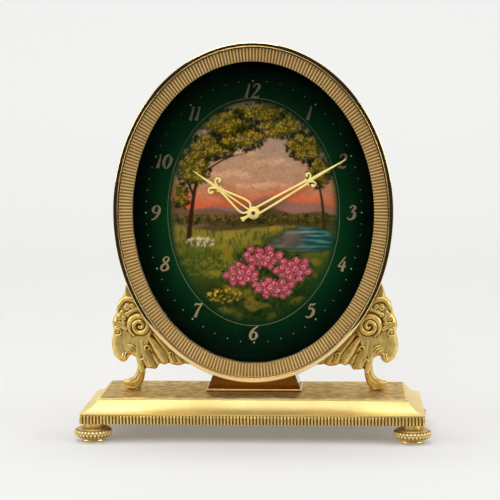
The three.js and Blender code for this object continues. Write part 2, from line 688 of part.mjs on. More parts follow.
// The tapered block between base and case, hollowed on top to the oval.
function pedestalBlock() {
  const bottom = BASE_TOP + REST_GAP;
  const lipTop = bottom + PEDESTAL_LIP;
  const taperHeight = CASE_BOTTOM_GAP + PEDESTAL_TAPER - PEDESTAL_LIP;
  const top = ovalUnderside(CASE_OFFSET, PEDESTAL_HALF_WIDTH);
  const topHalf = PEDESTAL_HALF_WIDTH - (PEDESTAL_TAPER * (top - lipTop)) / taperHeight;
  const lipHalf = PEDESTAL_HALF_WIDTH + PEDESTAL_LIP_OUT;
  const body = new THREE.Shape();
  body.moveTo(-PEDESTAL_HALF_WIDTH, bottom);
  body.lineTo(PEDESTAL_HALF_WIDTH, bottom);
  body.lineTo(PEDESTAL_HALF_WIDTH, lipTop);
  body.lineTo(topHalf, top);
  body.lineTo(-topHalf, top);
  body.lineTo(-PEDESTAL_HALF_WIDTH, lipTop);
  body.closePath();
  const lipDepth = PEDESTAL_REAR - PEDESTAL_FRONT + 2 * PEDESTAL_LIP_OUT;
  const lip = box(2 * lipHalf, lipDepth, bottom, lipTop).translate(0, PEDESTAL_SCREW_Y, 0);
  const block = join(slab(body, PEDESTAL_FRONT, PEDESTAL_REAR), lip);
  const holes = BASE_SCREWS.slice(0, 2).map(([, x, y]) => {
    return barZ(SCREW_HOLE_RADIUS, x, y, bottom - OVERCUT, BASE_SCREW_TOP + SCREW_GAP, 8);
  });
  return cut(block, caseSeat(), ...holes, ...caseScrewHoles());
}

// The drum of the case, with the inner ledge that carries dial and movement.
function caseBody() {
  const front = RIM_BACK + SEAT_GAP;
  const drum = ovalRing([
    [CASE_OFFSET, front],
    [CASE_OFFSET, CASE_REAR],
    [CASE_BORE, CASE_REAR],
    [CASE_BORE, LEDGE_BACK],
    [LEDGE_INNER, LEDGE_BACK],
    [LEDGE_INNER, LEDGE_FRONT],
    [CASE_BORE, LEDGE_FRONT],
    [CASE_BORE, front],
  ]);
  return cut(drum, ...caseScrewHoles());
}

// The polished outer rim: a rounded edge, a fine bead, a ledge behind the flutes and a centring lip.
function bezelRim() {
  const section = [[0, RIM_BACK]];
  for (let i = 0; i <= RIM_ROUND_STEPS; i += 1) {
    const turn = (Math.PI / 2) * (i / RIM_ROUND_STEPS);
    section.push([-RIM_ROUND * (1 - Math.cos(turn)), BEZEL_FRONT + RIM_ROUND * (1 - Math.sin(turn))]);
  }
  const inner = FLUTE_OUTER + OVAL_FIT;
  const ledge = CRYSTAL_EDGE + OVAL_FIT;
  const lipOuter = CASE_BORE - SEAT_GAP;
  const lipInner = lipOuter - RIM_LIP_WIDTH;
  section.push([inner + 2 * BEAD_RADIUS, BEZEL_FRONT + BEAD_RADIUS]);
  section.push([inner + BEAD_RADIUS, BEZEL_FRONT]);
  section.push([inner, BEZEL_FRONT + BEAD_RADIUS]);
  section.push([inner, FLUTE_BACK + SEAT_GAP]);
  section.push([ledge, FLUTE_BACK + SEAT_GAP]);
  section.push([ledge, RIM_BACK]);
  section.push([lipInner, RIM_BACK + RIM_LIP_DEPTH]);
  section.push([lipOuter, RIM_BACK + RIM_LIP_DEPTH]);
  section.push([lipOuter, RIM_BACK]);
  return ovalRing(section);
}

// The reeded ring inside the rim: each flute is a groove that runs out at its outer end.
function bezelFluteRing() {
  const crests = evenOvalLoop(FLUTE_OUTER, BEZEL_FRONT, FLUTE_COUNT);
  const open = evenOvalLoop(FLUTE_INNER, BEZEL_FRONT + FLUTE_SLOPE, 2 * FLUTE_COUNT);
  open.forEach((point, i) => {
    point.y += i % 2 ? FLUTE_DEPTH : 0;
  });
  const outerBack = evenOvalLoop(FLUTE_OUTER, FLUTE_BACK, OVAL_STEPS);
  return loft([outerBack, crests, open, evenOvalLoop(FLUTE_INNER, FLUTE_BACK, OVAL_STEPS)], true);
}

// The glass: a flat flange behind the fluted ring and a low dome inside it.
function crystal() {
  const shoulder = FLUTE_INNER - OVAL_FIT;
  const domeRing = (share, y) => {
    return ovalLoop(shoulder, y, PLATE_STEPS).map((p) => {
      const swell = CRYSTAL_DOME * (1 - share ** 2);
      return new THREE.Vector3(p.x * share, y - swell, CASE_Z + (p.z - CASE_Z) * share);
    });
  };
  return loft([
    domeRing(DOME_MIDDLE, CRYSTAL_FRONT),
    domeRing(1, CRYSTAL_FRONT),
    ovalLoop(CRYSTAL_EDGE, CRYSTAL_FRONT, PLATE_STEPS),
    ovalLoop(CRYSTAL_EDGE, CRYSTAL_BACK, PLATE_STEPS),
    domeRing(1, CRYSTAL_BACK),
    domeRing(DOME_MIDDLE, CRYSTAL_BACK),
  ]);
}

function crystalGasket() {
  return ovalRing([
    [CRYSTAL_EDGE, GASKET_FRONT],
    [CRYSTAL_EDGE, GASKET_BACK],
    [GASKET_INNER, GASKET_BACK],
    [GASKET_INNER, GASKET_FRONT],
  ], PLATE_STEPS);
}

const SIGHT_RING_OUTER = CASE_BORE - SEAT_GAP - RIM_LIP_WIDTH - OVAL_FIT;

// The sight ring that spaces the glass from the dial.
function sightRing() {
  const front = GASKET_BACK + SEAT_GAP;
  const back = DIAL_FRONT - SEAT_GAP;
  return ovalRing([
    [SIGHT_RING_OUTER, front],
    [SIGHT_RING_OUTER, back],
    [GASKET_INNER, back],
    [GASKET_INNER, front],
  ], PLATE_STEPS);
}

// The enamelled dial plate with its centre hole.
function dialPlate() {
  const edge = CASE_BORE - OVAL_FIT;
  const plate = ovalDisc([[edge, DIAL_FRONT], [edge, DIAL_BACK]]);
  const hole = barY(HOUR_PIPE_RADIUS + RUNNING_GAP, 0, CASE_Z, DIAL_FRONT - OVERCUT, DIAL_BACK + OVERCUT);
  return cut(plate, hole);
}

// The rear lid with its locating lip and the holes for key and setting knob.
function rearCover() {
  const lipOuter = CASE_BORE - OVAL_FIT;
  const lid = ovalDisc([
    [CASE_OFFSET, COVER_BACK],
    [CASE_OFFSET, COVER_FRONT],
    [lipOuter, COVER_FRONT],
    [lipOuter, COVER_FRONT - REAR_LIP],
  ]);
  const hollow = lipOuter - CASE_WALL;
  const room = ovalDisc([[hollow, COVER_FRONT], [hollow, COVER_FRONT - REAR_LIP - OVERCUT]]);
  const through = [COVER_FRONT - OVERCUT, COVER_BACK + OVERCUT];
  const keyHole = barY(KEY_PIPE_RADIUS + RUNNING_GAP, BARREL.x, BARREL.z, ...through);
  const knobHole = barY(CENTRE_ARBOR_RADIUS + RUNNING_GAP, CENTRE.x, CENTRE.z, ...through);
  return cut(lid, room, keyHole, knobHole);
}

// Depths of the hands
const HOUR_HAND_BACK = DIAL_FRONT - HAND_LIFT;
const HOUR_HAND_FRONT = HOUR_HAND_BACK - HAND_THICKNESS;
const MINUTE_HAND_BACK = HOUR_HAND_FRONT - HAND_SPACING;
const MINUTE_HAND_FRONT = MINUTE_HAND_BACK - HAND_THICKNESS;
const NUT_BACK = MINUTE_HAND_FRONT - PUSH_FIT;
const NUT_FRONT = NUT_BACK - HAND_NUT_HEIGHT;

// A thin bar drawn from one point to another, wider at one end if asked.
function strip(from, to, width, endWidth = width) {
  const side = new THREE.Vector2(from[1] - to[1], to[0] - from[0]).normalize();
  const corner = (point, half) => new THREE.Vector2(point[0] + side.x * half, point[1] + side.y * half);
  const corners = [corner(from, -width / 2), corner(to, -endWidth / 2)];
  return new THREE.Shape([...corners, corner(to, endWidth / 2), corner(from, width / 2)]);
}

// A thin band of even width along a curve of points.
function ribbon(points, width) {
  const sides = [1, -1].map((side) => {
    return points.map((point, i) => {
      const before = points[Math.max(i - 1, 0)];
      const after = points[Math.min(i + 1, points.length - 1)];
      const along = new THREE.Vector2().subVectors(after, before).normalize();
      const half = (side * width) / 2;
      return new THREE.Vector2(point.x - along.y * half, point.y + along.x * half);
    });
  });
  return new THREE.Shape([...sides[0], ...sides[1].reverse()]);
}

function disc(radius, x = 0, z = 0) {
  return new THREE.Shape().absarc(x, z, radius, 0, 2 * Math.PI);
}

// The curl at the end of a crossbar: three quarters of a small circle that opens toward the tip.
function curl(side, crossbar) {
  const points = [];
  for (let i = 0; i <= CURL_STEPS; i += 1) {
    const turn = -Math.PI / 2 + (1.5 * Math.PI * i) / CURL_STEPS;
    const out = CURL_OUT + CURL_RADIUS * (1 + Math.sin(turn));
    points.push(new THREE.Vector2(side * out, crossbar + CURL_RISE + CURL_RADIUS * Math.cos(turn)));
  }
  return ribbon(points, CURL_WIDTH);
}

// Joins a hand's outlines, drawn toward twelve, into one pierced plate turned to its angle.
function handPlate(outlines, bore, front, back, degrees) {
  const plate = join(...outlines.map((shape) => slab(shape, front, back, 5)));
  const bored = cut(plate, barY(bore, 0, 0, front - OVERCUT, back + OVERCUT, 10));
  return bored.rotateY((degrees * Math.PI) / 180).translate(0, 0, CASE_Z);
}

// The minute hand: two rails that close toward a crossbar with two curls, then a needle.
function minuteHand() {
  const outlines = [
    disc(HAND_BOSS_RADIUS),
    strip([0, MINUTE_CROSSBAR - NEEDLE_LAP], [0, MINUTE_LENGTH], NEEDLE_WIDTH, NEEDLE_TIP),
    strip([-CROSSBAR_HALF, MINUTE_CROSSBAR], [CROSSBAR_HALF, MINUTE_CROSSBAR], CROSSBAR_WIDTH),
    strip([0, 0], [0, -HAND_TAIL], TAIL_NECK, TAIL_FLARE),
  ];
  for (const side of [-1, 1]) {
    outlines.push(curl(side, MINUTE_CROSSBAR));
    outlines.push(strip([side * RAIL_SPREAD, 0], [side * RAIL_CLOSE, MINUTE_CROSSBAR], HAND_RAIL));
  }
  const bore = CENTRE_ARBOR_RADIUS + PUSH_FIT;
  return handPlate(outlines, bore, MINUTE_HAND_FRONT, MINUTE_HAND_BACK, 6 * SHOWN_MINUTE);
}

// The hour hand: a centre bar between two bows, a crossbar with two curls, and a short needle.
function hourHand() {
  const outlines = [
    disc(HOUR_BOSS_RADIUS),
    strip([0, 0], [0, HOUR_CROSSBAR], HOUR_BAR),
    strip([0, HOUR_CROSSBAR - NEEDLE_LAP], [0, HOUR_LENGTH], NEEDLE_WIDTH, NEEDLE_TIP),
    strip([-CROSSBAR_HALF, HOUR_CROSSBAR], [CROSSBAR_HALF, HOUR_CROSSBAR], CROSSBAR_WIDTH),
  ];
  for (const side of [-1, 1]) {
    const start = new THREE.Vector2(side * BOW_START_X, BOW_START_Z);
    const swell = new THREE.Vector2(side * 2 * HOUR_BOW, HOUR_CROSSBAR * BOW_HEIGHT);
    const end = new THREE.Vector2(side * BOW_END_X, HOUR_CROSSBAR);
    outlines.push(curl(side, HOUR_CROSSBAR));
    outlines.push(ribbon(new THREE.QuadraticBezierCurve(start, swell, end).getPoints(6), HAND_RAIL));
  }
  const hourTurn = 30 * SHOWN_HOUR + SHOWN_MINUTE / 2;
  return handPlate(outlines, HOUR_PIPE_RADIUS + PUSH_FIT, HOUR_HAND_FRONT, HOUR_HAND_BACK, hourTurn);
}

function handNut() {
  const shape = disc(HAND_NUT_RADIUS, 0, CASE_Z);
  shape.holes.push(disc(CENTRE_ARBOR_RADIUS + PUSH_FIT, 0, CASE_Z));
  return slab(shape, NUT_FRONT, NUT_BACK, 6);
}

// Depths in the movement, from the front plate back
const FRONT_PLATE_FRONT = LEDGE_BACK + SEAT_GAP;
const FRONT_PLATE_BACK = FRONT_PLATE_FRONT + PLATE_THICKNESS;
const BACK_PLATE_FRONT = FRONT_PLATE_BACK + PLATE_GAP;
const BACK_PLATE_BACK = BACK_PLATE_FRONT + PLATE_THICKNESS;
const level = (step) => FRONT_PLATE_BACK + LEVEL_GAP + step * (WHEEL_THICKNESS + LEVEL_GAP);
const CENTRE_LEVEL = level(0);
const THIRD_LEVEL = level(1);
const FOURTH_LEVEL = level(2);
const ESCAPE_LEVEL = level(3);
const GREAT_LEVEL = BACK_PLATE_FRONT - LEVEL_GAP - WHEEL_THICKNESS;
const REAR_LEVEL = BACK_PLATE_BACK + LEVEL_GAP;
const HAIRSPRING_LEVEL = REAR_LEVEL + WHEEL_THICKNESS + LEVEL_GAP;
const COCK_FRONT = HAIRSPRING_LEVEL + WHEEL_THICKNESS + LEVEL_GAP;
const COCK_BACK = COCK_FRONT + COCK_THICKNESS;
const MINUTE_LEVEL = FRONT_PLATE_FRONT - MOTION_GAP - MOTION_THICKNESS;
const HOUR_LEVEL = DIAL_BACK + MOTION_GAP;

// Where the arbors stand, each at its meshing distance from the one before.
const meshDistance = (teeth, leaves, module) => ((teeth + leaves) / 2) * module + MESH_SLACK;
function beyond(from, distance, degrees) {
  const turn = (degrees * Math.PI) / 180;
  return { x: from.x + distance * Math.cos(turn), z: from.z + distance * Math.sin(turn) };
}
const CENTRE = { x: 0, z: CASE_Z };
const BARREL = beyond(CENTRE, meshDistance(BARREL_TEETH, CENTRE_LEAVES, GREAT_MODULE), BARREL_ANGLE);
const THIRD = beyond(CENTRE, meshDistance(CENTRE_TEETH, THIRD_LEAVES, TRAIN_MODULE), THIRD_ANGLE);
const FOURTH = beyond(THIRD, meshDistance(THIRD_TEETH, FOURTH_LEAVES, TRAIN_MODULE), FOURTH_ANGLE);
const ESCAPE = beyond(FOURTH, meshDistance(FOURTH_TEETH, ESCAPE_LEAVES, ESCAPE_MODULE), ESCAPE_ANGLE);
const PALLET = beyond(ESCAPE, PALLET_DISTANCE, PALLET_ANGLE);
const BALANCE = beyond(PALLET, BALANCE_DISTANCE, PALLET_ANGLE);
const MOTION_DISTANCE = meshDistance(MINUTE_WHEEL_TEETH, CANNON_LEAVES, MOTION_MODULE);
const MINUTE_WHEEL = beyond(CENTRE, MOTION_DISTANCE, MINUTE_WHEEL_ANGLE);
const CLICK = beyond(BARREL, CLICK_DISTANCE, CLICK_ANGLE);
// The hour wheel shares the axes of the first pair, so its teeth have the module that fits them.
const MOTION_TEETH = CANNON_LEAVES + MINUTE_WHEEL_TEETH;
const HOUR_MODULE = (MOTION_TEETH * MOTION_MODULE) / (MINUTE_WHEEL_LEAVES + HOUR_WHEEL_TEETH);
const directionTo = (from, to) => Math.atan2(to.z - from.z, to.x - from.x);

// The outline of a wheel or pinion: pointed teeth, one of which lies at the angle given.
function toothedOutline(at, teeth, module, toothAngle) {
  const pitch = (teeth * module) / 2;
  const points = [];
  for (let i = 0; i < 2 * teeth; i += 1) {
    const radius = i % 2 ? pitch - TOOTH_ROOT * module : pitch + TOOTH_TIP * module;
    const turn = toothAngle + (Math.PI * i) / teeth;
    points.push(new THREE.Vector2(at.x + radius * Math.cos(turn), at.z + radius * Math.sin(turn)));
  }
  return new THREE.Shape(points);
}

// The outline of a pinion that meshes with a tooth of the wheel at the place given.
function pinionOutline(at, leaves, module, wheelAt) {
  return toothedOutline(at, leaves, module, directionTo(at, wheelAt) + Math.PI / leaves);
}

// The windows between a wheel's crossings.
function crossings(at, innerRadius, outerRadius, count) {
  const half = Math.PI / count;
  return Array.from({ length: count }, (_, i) => {
    const middle = (2 * Math.PI * i) / count;
    const outerHalf = half - SPOKE_HALF_WIDTH / outerRadius;
    const innerHalf = half - SPOKE_HALF_WIDTH / innerRadius;
    const path = new THREE.Path();
    path.absarc(at.x, at.z, outerRadius, middle - outerHalf, middle + outerHalf, false);
    path.absarc(at.x, at.z, innerRadius, middle + innerHalf, middle - innerHalf, true);
    path.closePath();
    return path;
  });
}

// A crossed wheel in one level of the train; next is the arbor that it drives.
function trainWheel(at, teeth, module, front, next) {
  const outline = toothedOutline(at, teeth, module, directionTo(at, next));
  const rim = (teeth / 2 - WHEEL_RIM) * module;
  outline.holes.push(...crossings(at, WHEEL_HUB_RADIUS, rim, WHEEL_SPOKES));
  return slab(outline, front, front + WHEEL_THICKNESS, 1);
}

// A pinion that is driven from the arbor given; it is a little longer than the wheel in mesh.
function trainPinion(at, leaves, module, wheelFront, driver) {
  const outline = pinionOutline(at, leaves, module, driver);
  const reach = LEVEL_GAP / 4;
  return slab(outline, wheelFront - reach, wheelFront + WHEEL_THICKNESS + reach);
}

// An arbor that runs in both plates.
function trainArbor(at) {
  const run = PLATE_THICKNESS * PIVOT_RUN;
  return barY(ARBOR_RADIUS, at.x, at.z, FRONT_PLATE_BACK - run, BACK_PLATE_FRONT + run, PIVOT_SIDES);
}

// The centre wheel and its pinion ride on the centre arbor with a friction fit.
function centreWheel() {
  const wheel = join(
    trainWheel(CENTRE, CENTRE_TEETH, TRAIN_MODULE, CENTRE_LEVEL, THIRD),
    trainPinion(CENTRE, CENTRE_LEAVES, GREAT_MODULE, GREAT_LEVEL, BARREL),
    barY(CENTRE_PIPE_RADIUS, CENTRE.x, CENTRE.z, CENTRE_LEVEL, GREAT_LEVEL, 8),
  );
  const bore = CENTRE_ARBOR_RADIUS + RUNNING_GAP;
  return cut(wheel, barY(bore, CENTRE.x, CENTRE.z, FRONT_PLATE_BACK, BACK_PLATE_FRONT, 8));
}

function thirdWheel() {
  return join(
    trainArbor(THIRD),
    trainWheel(THIRD, THIRD_TEETH, TRAIN_MODULE, THIRD_LEVEL, FOURTH),
    trainPinion(THIRD, THIRD_LEAVES, TRAIN_MODULE, CENTRE_LEVEL, CENTRE),
  );
}

function fourthWheel() {
  return join(
    trainArbor(FOURTH),
    trainWheel(FOURTH, FOURTH_TEETH, ESCAPE_MODULE, FOURTH_LEVEL, ESCAPE),
    trainPinion(FOURTH, FOURTH_LEAVES, TRAIN_MODULE, THIRD_LEVEL, THIRD),
  );
}

// The escape wheel with its raked, pointed teeth.
function escapeWheel() {
  const points = [];
  for (let i = 0; i < ESCAPE_TEETH; i += 1) {
    const step = (2 * Math.PI) / ESCAPE_TEETH;
    const root = ESCAPE_RADIUS - ESCAPE_TOOTH_HEIGHT;
    const spots = [[0, ESCAPE_RADIUS], [ESCAPE_TOOTH_BACK, root], [ESCAPE_TOOTH_FOOT, root]];
    for (const [share, radius] of spots) {
      const turn = (i + share) * step;
      points.push(new THREE.Vector2(ESCAPE.x + radius * Math.cos(turn), ESCAPE.z + radius * Math.sin(turn)));
    }
  }
  return join(
    trainArbor(ESCAPE),
    slab(new THREE.Shape(points), ESCAPE_LEVEL, ESCAPE_LEVEL + WHEEL_THICKNESS),
    trainPinion(ESCAPE, ESCAPE_LEAVES, ESCAPE_MODULE, FOURTH_LEVEL, FOURTH),
  );
}

// The pallet lever: two arms that straddle the escape wheel and a fork toward the balance.
function palletLever() {
  const toEscape = directionTo(PALLET, ESCAPE);
  const stone = (side) => {
    const turn = Math.PI + toEscape + (side * PALLET_SPREAD * Math.PI) / 180;
    const inner = ESCAPE_RADIUS + PALLET_CLEARANCE;
    const end = (radius) => [ESCAPE.x + radius * Math.cos(turn), ESCAPE.z + radius * Math.sin(turn)];
    return [end(inner), end(inner + STONE_LENGTH)];
  };
  const forkEnd = beyond(PALLET, BALANCE_DISTANCE - ROLLER_RADIUS - 2 * RUNNING_GAP, PALLET_ANGLE);
  const forkTip = [forkEnd.x, forkEnd.z];
  const pivot = [PALLET.x, PALLET.z];
  const shapes = [disc(PALLET_HUB_RADIUS, ...pivot), strip(pivot, forkTip, FORK_WIDTH, FORK_END)];
  for (const side of [-1, 1]) {
    const [inner, outer] = stone(side);
    shapes.push(strip(inner, outer, STONE_WIDTH), strip(pivot, outer, PALLET_ARM, PALLET_ARM_END));
  }
  const plates = shapes.map((shape) => slab(shape, ESCAPE_LEVEL, ESCAPE_LEVEL + WHEEL_THICKNESS, 6));
  return join(trainArbor(PALLET), ...plates);
}

// The balance wheel on its staff, with the roller beside the pallet fork.
function balanceWheel() {
  const rim = disc(BALANCE_RADIUS, BALANCE.x, BALANCE.z);
  rim.holes.push(...crossings(BALANCE, BALANCE_HUB_RADIUS, BALANCE_RADIUS - BALANCE_RIM, 2));
  const staffFront = FRONT_PLATE_BACK - PLATE_THICKNESS * PIVOT_RUN;
  const staffBack = COCK_FRONT + COCK_THICKNESS * PIVOT_RUN;
  return join(
    slab(rim, REAR_LEVEL, REAR_LEVEL + WHEEL_THICKNESS, 5),
    barY(ARBOR_RADIUS, BALANCE.x, BALANCE.z, staffFront, staffBack, 8),
    barY(ROLLER_RADIUS, BALANCE.x, BALANCE.z, ESCAPE_LEVEL, ESCAPE_LEVEL + WHEEL_THICKNESS, 12),
  );
}

// A flat spiral strip, for the mainspring and the hairspring.
function spiralSpring(at, inner, outer, turns, front, back) {
  const steps = SPRING_STEPS * turns;
  const points = [];
  for (let i = 0; i <= steps; i += 1) {
    const turn = (2 * Math.PI * turns * i) / steps;
    const radius = inner + ((outer - inner) * i) / steps;
    points.push(new THREE.Vector2(at.x + radius * Math.cos(turn), at.z + radius * Math.sin(turn)));
  }
  return slab(ribbon(points, SPRING_STRIP), front, back);
}

function hairspring() {
  const inner = ARBOR_RADIUS + SPRING_STRIP;
  const back = HAIRSPRING_LEVEL + WHEEL_THICKNESS;
  return spiralSpring(BALANCE, inner, HAIRSPRING_RADIUS, HAIRSPRING_TURNS, HAIRSPRING_LEVEL, back);
}

// The spring barrel: a drum behind a lid, with the great wheel as its floor.
const BARREL_RADIUS = (BARREL_TEETH / 2 - WHEEL_RIM) * GREAT_MODULE;
const BARREL_BORE = BARREL_RADIUS - BARREL_WALL;
const BARREL_LID_FRONT = THIRD_LEVEL;
const BARREL_DRUM_FRONT = BARREL_LID_FRONT + WHEEL_THICKNESS + SEAT_GAP;

function barrelDrum() {
  const outline = toothedOutline(BARREL, BARREL_TEETH, GREAT_MODULE, directionTo(BARREL, CENTRE));
  const wheel = slab(outline, GREAT_LEVEL, GREAT_LEVEL + WHEEL_THICKNESS);
  const drumBack = GREAT_LEVEL + WHEEL_THICKNESS / 2;
  const drum = barY(BARREL_RADIUS, BARREL.x, BARREL.z, BARREL_DRUM_FRONT, drumBack);
  const room = barY(BARREL_BORE, BARREL.x, BARREL.z, BARREL_DRUM_FRONT - OVERCUT, GREAT_LEVEL);
  const bore = BARREL_ARBOR_RADIUS + RUNNING_GAP;
  const hole = barY(bore, BARREL.x, BARREL.z, GREAT_LEVEL - OVERCUT, BACK_PLATE_FRONT, 8);
  return cut(join(wheel, drum), room, hole);
}

function barrelLid() {
  const lid = disc(BARREL_RADIUS, BARREL.x, BARREL.z);
  lid.holes.push(disc(BARREL_ARBOR_RADIUS + RUNNING_GAP, BARREL.x, BARREL.z));
  return slab(lid, BARREL_LID_FRONT, BARREL_LID_FRONT + WHEEL_THICKNESS, 8);
}

function mainspring() {
  const inner = BARREL_ARBOR_RADIUS + RUNNING_GAP + SPRING_STRIP;
  const outer = BARREL_BORE - RUNNING_GAP - SPRING_STRIP;
  const front = BARREL_DRUM_FRONT + SEAT_GAP;
  return spiralSpring(BARREL, inner, outer, MAINSPRING_TURNS, front, GREAT_LEVEL - SEAT_GAP);
}

const KEY_PIPE_FRONT = COVER_FRONT - REAR_LIP;
const KEY_WING_MIDDLE = COVER_BACK + KEY_STANDOFF + KEY_WING_RADIUS;

function barrelArbor() {
  const front = FRONT_PLATE_BACK - PLATE_THICKNESS * PIVOT_RUN;
  return barY(BARREL_ARBOR_RADIUS, BARREL.x, BARREL.z, front, COVER_BACK + KEY_BORE_DEPTH);
}

// A saw-toothed ratchet on the winding arbor.
function ratchetWheel() {
  const points = [];
  for (let i = 0; i < RATCHET_TEETH; i += 1) {
    const step = (2 * Math.PI) / RATCHET_TEETH;
    const root = RATCHET_RADIUS - RATCHET_TOOTH_HEIGHT;
    for (const [share, radius] of [[0, RATCHET_RADIUS], [RATCHET_TOOTH_FACE, root]]) {
      const turn = (i + share) * step;
      points.push(new THREE.Vector2(BARREL.x + radius * Math.cos(turn), BARREL.z + radius * Math.sin(turn)));
    }
  }
  const shape = new THREE.Shape(points);
  shape.holes.push(disc(BARREL_ARBOR_RADIUS + PUSH_FIT, BARREL.x, BARREL.z));
  return slab(shape, REAR_LEVEL, REAR_LEVEL + WHEEL_THICKNESS, 8);
}

// The click that holds the ratchet, on a stud of the back plate.
function click() {
  const reach = RATCHET_RADIUS + CLICK_CLEARANCE;
  const tip = beyond(BARREL, reach, CLICK_BEAK_ANGLE);
  const shoulder = beyond(BARREL, reach + CLICK_BEAK_LENGTH, CLICK_BEAK_ANGLE);
  const hub = disc(CLICK_HUB_RADIUS, CLICK.x, CLICK.z);
  const arm = strip([CLICK.x, CLICK.z], [shoulder.x, shoulder.z], CLICK_ARM, CLICK_BEAK_WIDTH);
  const pawl = strip([shoulder.x, shoulder.z], [tip.x, tip.z], CLICK_BEAK_WIDTH, CLICK_BEAK_TIP);
  const plates = [hub, arm, pawl].map((shape) => slab(shape, REAR_LEVEL, REAR_LEVEL + WHEEL_THICKNESS, 6));
  const bore = CLICK_STUD_RADIUS + RUNNING_GAP;
  return cut(join(...plates), barY(bore, CLICK.x, CLICK.z, REAR_LEVEL - OVERCUT, HAIRSPRING_LEVEL, 12));
}

// The leaf spring that presses the click, on its own post.
function clickSpring() {
  const post = beyond(BARREL, RATCHET_RADIUS + CLICK_SPRING_POST_OUT, CLICK_SPRING_POST_ANGLE);
  const end = beyond(BARREL, RATCHET_RADIUS + CLICK_SPRING_END_OUT, CLICK_SPRING_END_ANGLE);
  const back = REAR_LEVEL + WHEEL_THICKNESS;
  const leaf = slab(strip([post.x, post.z], [end.x, end.z], CLICK_SPRING_WIDTH), REAR_LEVEL, back);
  return join(leaf, barY(CLICK_SPRING_POST_RADIUS, post.x, post.z, BACK_PLATE_BACK + REST_GAP, back, 10));
}

// A butterfly key: a pipe on the winding arbor and two pierced wings.
function windingKey() {
  const pipeBack = KEY_WING_MIDDLE - KEY_WING_RADIUS / 2;
  const pipe = barY(KEY_PIPE_RADIUS, BARREL.x, BARREL.z, KEY_PIPE_FRONT, pipeBack);
  const depth = KEY_WING_THICKNESS;
  const wings = [-1, 1].map((side) => {
    const middle = BARREL.x + side * (KEY_WING_RADIUS - KEY_WING_LAP);
    const wing = disc(KEY_WING_RADIUS, middle, KEY_WING_MIDDLE);
    wing.holes.push(disc(KEY_WING_RADIUS / 2, middle + side * KEY_HOLE_SHIFT, KEY_WING_MIDDLE));
    const plate = new THREE.ExtrudeGeometry(wing, { depth, bevelEnabled: false, curveSegments: 6 });
    return plate.translate(0, 0, BARREL.z - depth / 2);
  });
  const end = COVER_BACK + KEY_BORE_DEPTH + PUSH_FIT;
  const bore = barY(BARREL_ARBOR_RADIUS + PUSH_FIT, BARREL.x, BARREL.z, KEY_PIPE_FRONT - OVERCUT, end);
  return cut(join(pipe, ...wings), bore);
}

// The centre arbor: it carries the cannon pinion and the minute hand in front and the knob behind.
function centreArbor() {
  const pinion = pinionOutline(CENTRE, CANNON_LEAVES, MOTION_MODULE, MINUTE_WHEEL);
  const end = COVER_BACK + KNOB_STANDOFF + KNOB_LENGTH / 2;
  return join(
    barY(CENTRE_ARBOR_RADIUS, CENTRE.x, CENTRE.z, NUT_FRONT, end),
    slab(pinion, MINUTE_LEVEL, MINUTE_LEVEL + MOTION_THICKNESS),
  );
}

// The knurled knob that sets the hands.
function setKnob() {
  const front = COVER_BACK + KNOB_STANDOFF;
  const points = Array.from({ length: 2 * KNOB_GRIPS }, (_, i) => {
    const radius = KNOB_RADIUS - (i % 2) * KNOB_GRIP_DEPTH;
    const turn = (Math.PI * i) / KNOB_GRIPS;
    return new THREE.Vector2(CENTRE.x + radius * Math.cos(turn), CENTRE.z + radius * Math.sin(turn));
  });
  const boreBack = front + KNOB_LENGTH * KNOB_BORE;
  const bore = barY(CENTRE_ARBOR_RADIUS + PUSH_FIT, CENTRE.x, CENTRE.z, front - OVERCUT, boreBack, 12);
  return cut(slab(new THREE.Shape(points), front, front + KNOB_LENGTH), bore);
}

// The minute wheel of the motion work, on a stud of the front plate.
function minuteWheel() {
  const toCentre = directionTo(MINUTE_WHEEL, CENTRE);
  const wheel = toothedOutline(MINUTE_WHEEL, MINUTE_WHEEL_TEETH, MOTION_MODULE, toCentre);
  const pinion = pinionOutline(MINUTE_WHEEL, MINUTE_WHEEL_LEAVES, HOUR_MODULE, CENTRE);
  const stack = join(
    slab(wheel, MINUTE_LEVEL, MINUTE_LEVEL + MOTION_THICKNESS),
    slab(pinion, HOUR_LEVEL, MINUTE_LEVEL + MOTION_THICKNESS / 2),
  );
  const bore = MINUTE_STUD_RADIUS + RUNNING_GAP / 2;
  return cut(stack, barY(bore, MINUTE_WHEEL.x, MINUTE_WHEEL.z, HOUR_LEVEL - OVERCUT, FRONT_PLATE_FRONT, 10));
}

// The hour wheel with the pipe that carries the hour hand through the dial.
function hourWheel() {
  const wheel = toothedOutline(CENTRE, HOUR_WHEEL_TEETH, HOUR_MODULE, directionTo(CENTRE, MINUTE_WHEEL));
  const pipe = barY(HOUR_PIPE_RADIUS, CENTRE.x, CENTRE.z, HOUR_HAND_FRONT, HOUR_LEVEL + MOTION_THICKNESS / 2);
  const bore = CENTRE_ARBOR_RADIUS + RUNNING_GAP;
  const hole = barY(bore, CENTRE.x, CENTRE.z, HOUR_HAND_FRONT - OVERCUT, LEDGE_BACK);
  return cut(join(slab(wheel, HOUR_LEVEL, HOUR_LEVEL + MOTION_THICKNESS), pipe), hole);
}

const PILLARS = [
  [-PLATE_LEFT + PILLAR_INSET, -PLATE_BELOW + PILLAR_INSET],
  [PLATE_RIGHT - PILLAR_INSET, -PLATE_BELOW + PILLAR_INSET],
  [-PLATE_LEFT + PILLAR_INSET, PLATE_ABOVE - PILLAR_INSET],
  [PLATE_RIGHT - PILLAR_INSET, PLATE_ABOVE - PILLAR_INSET],
];

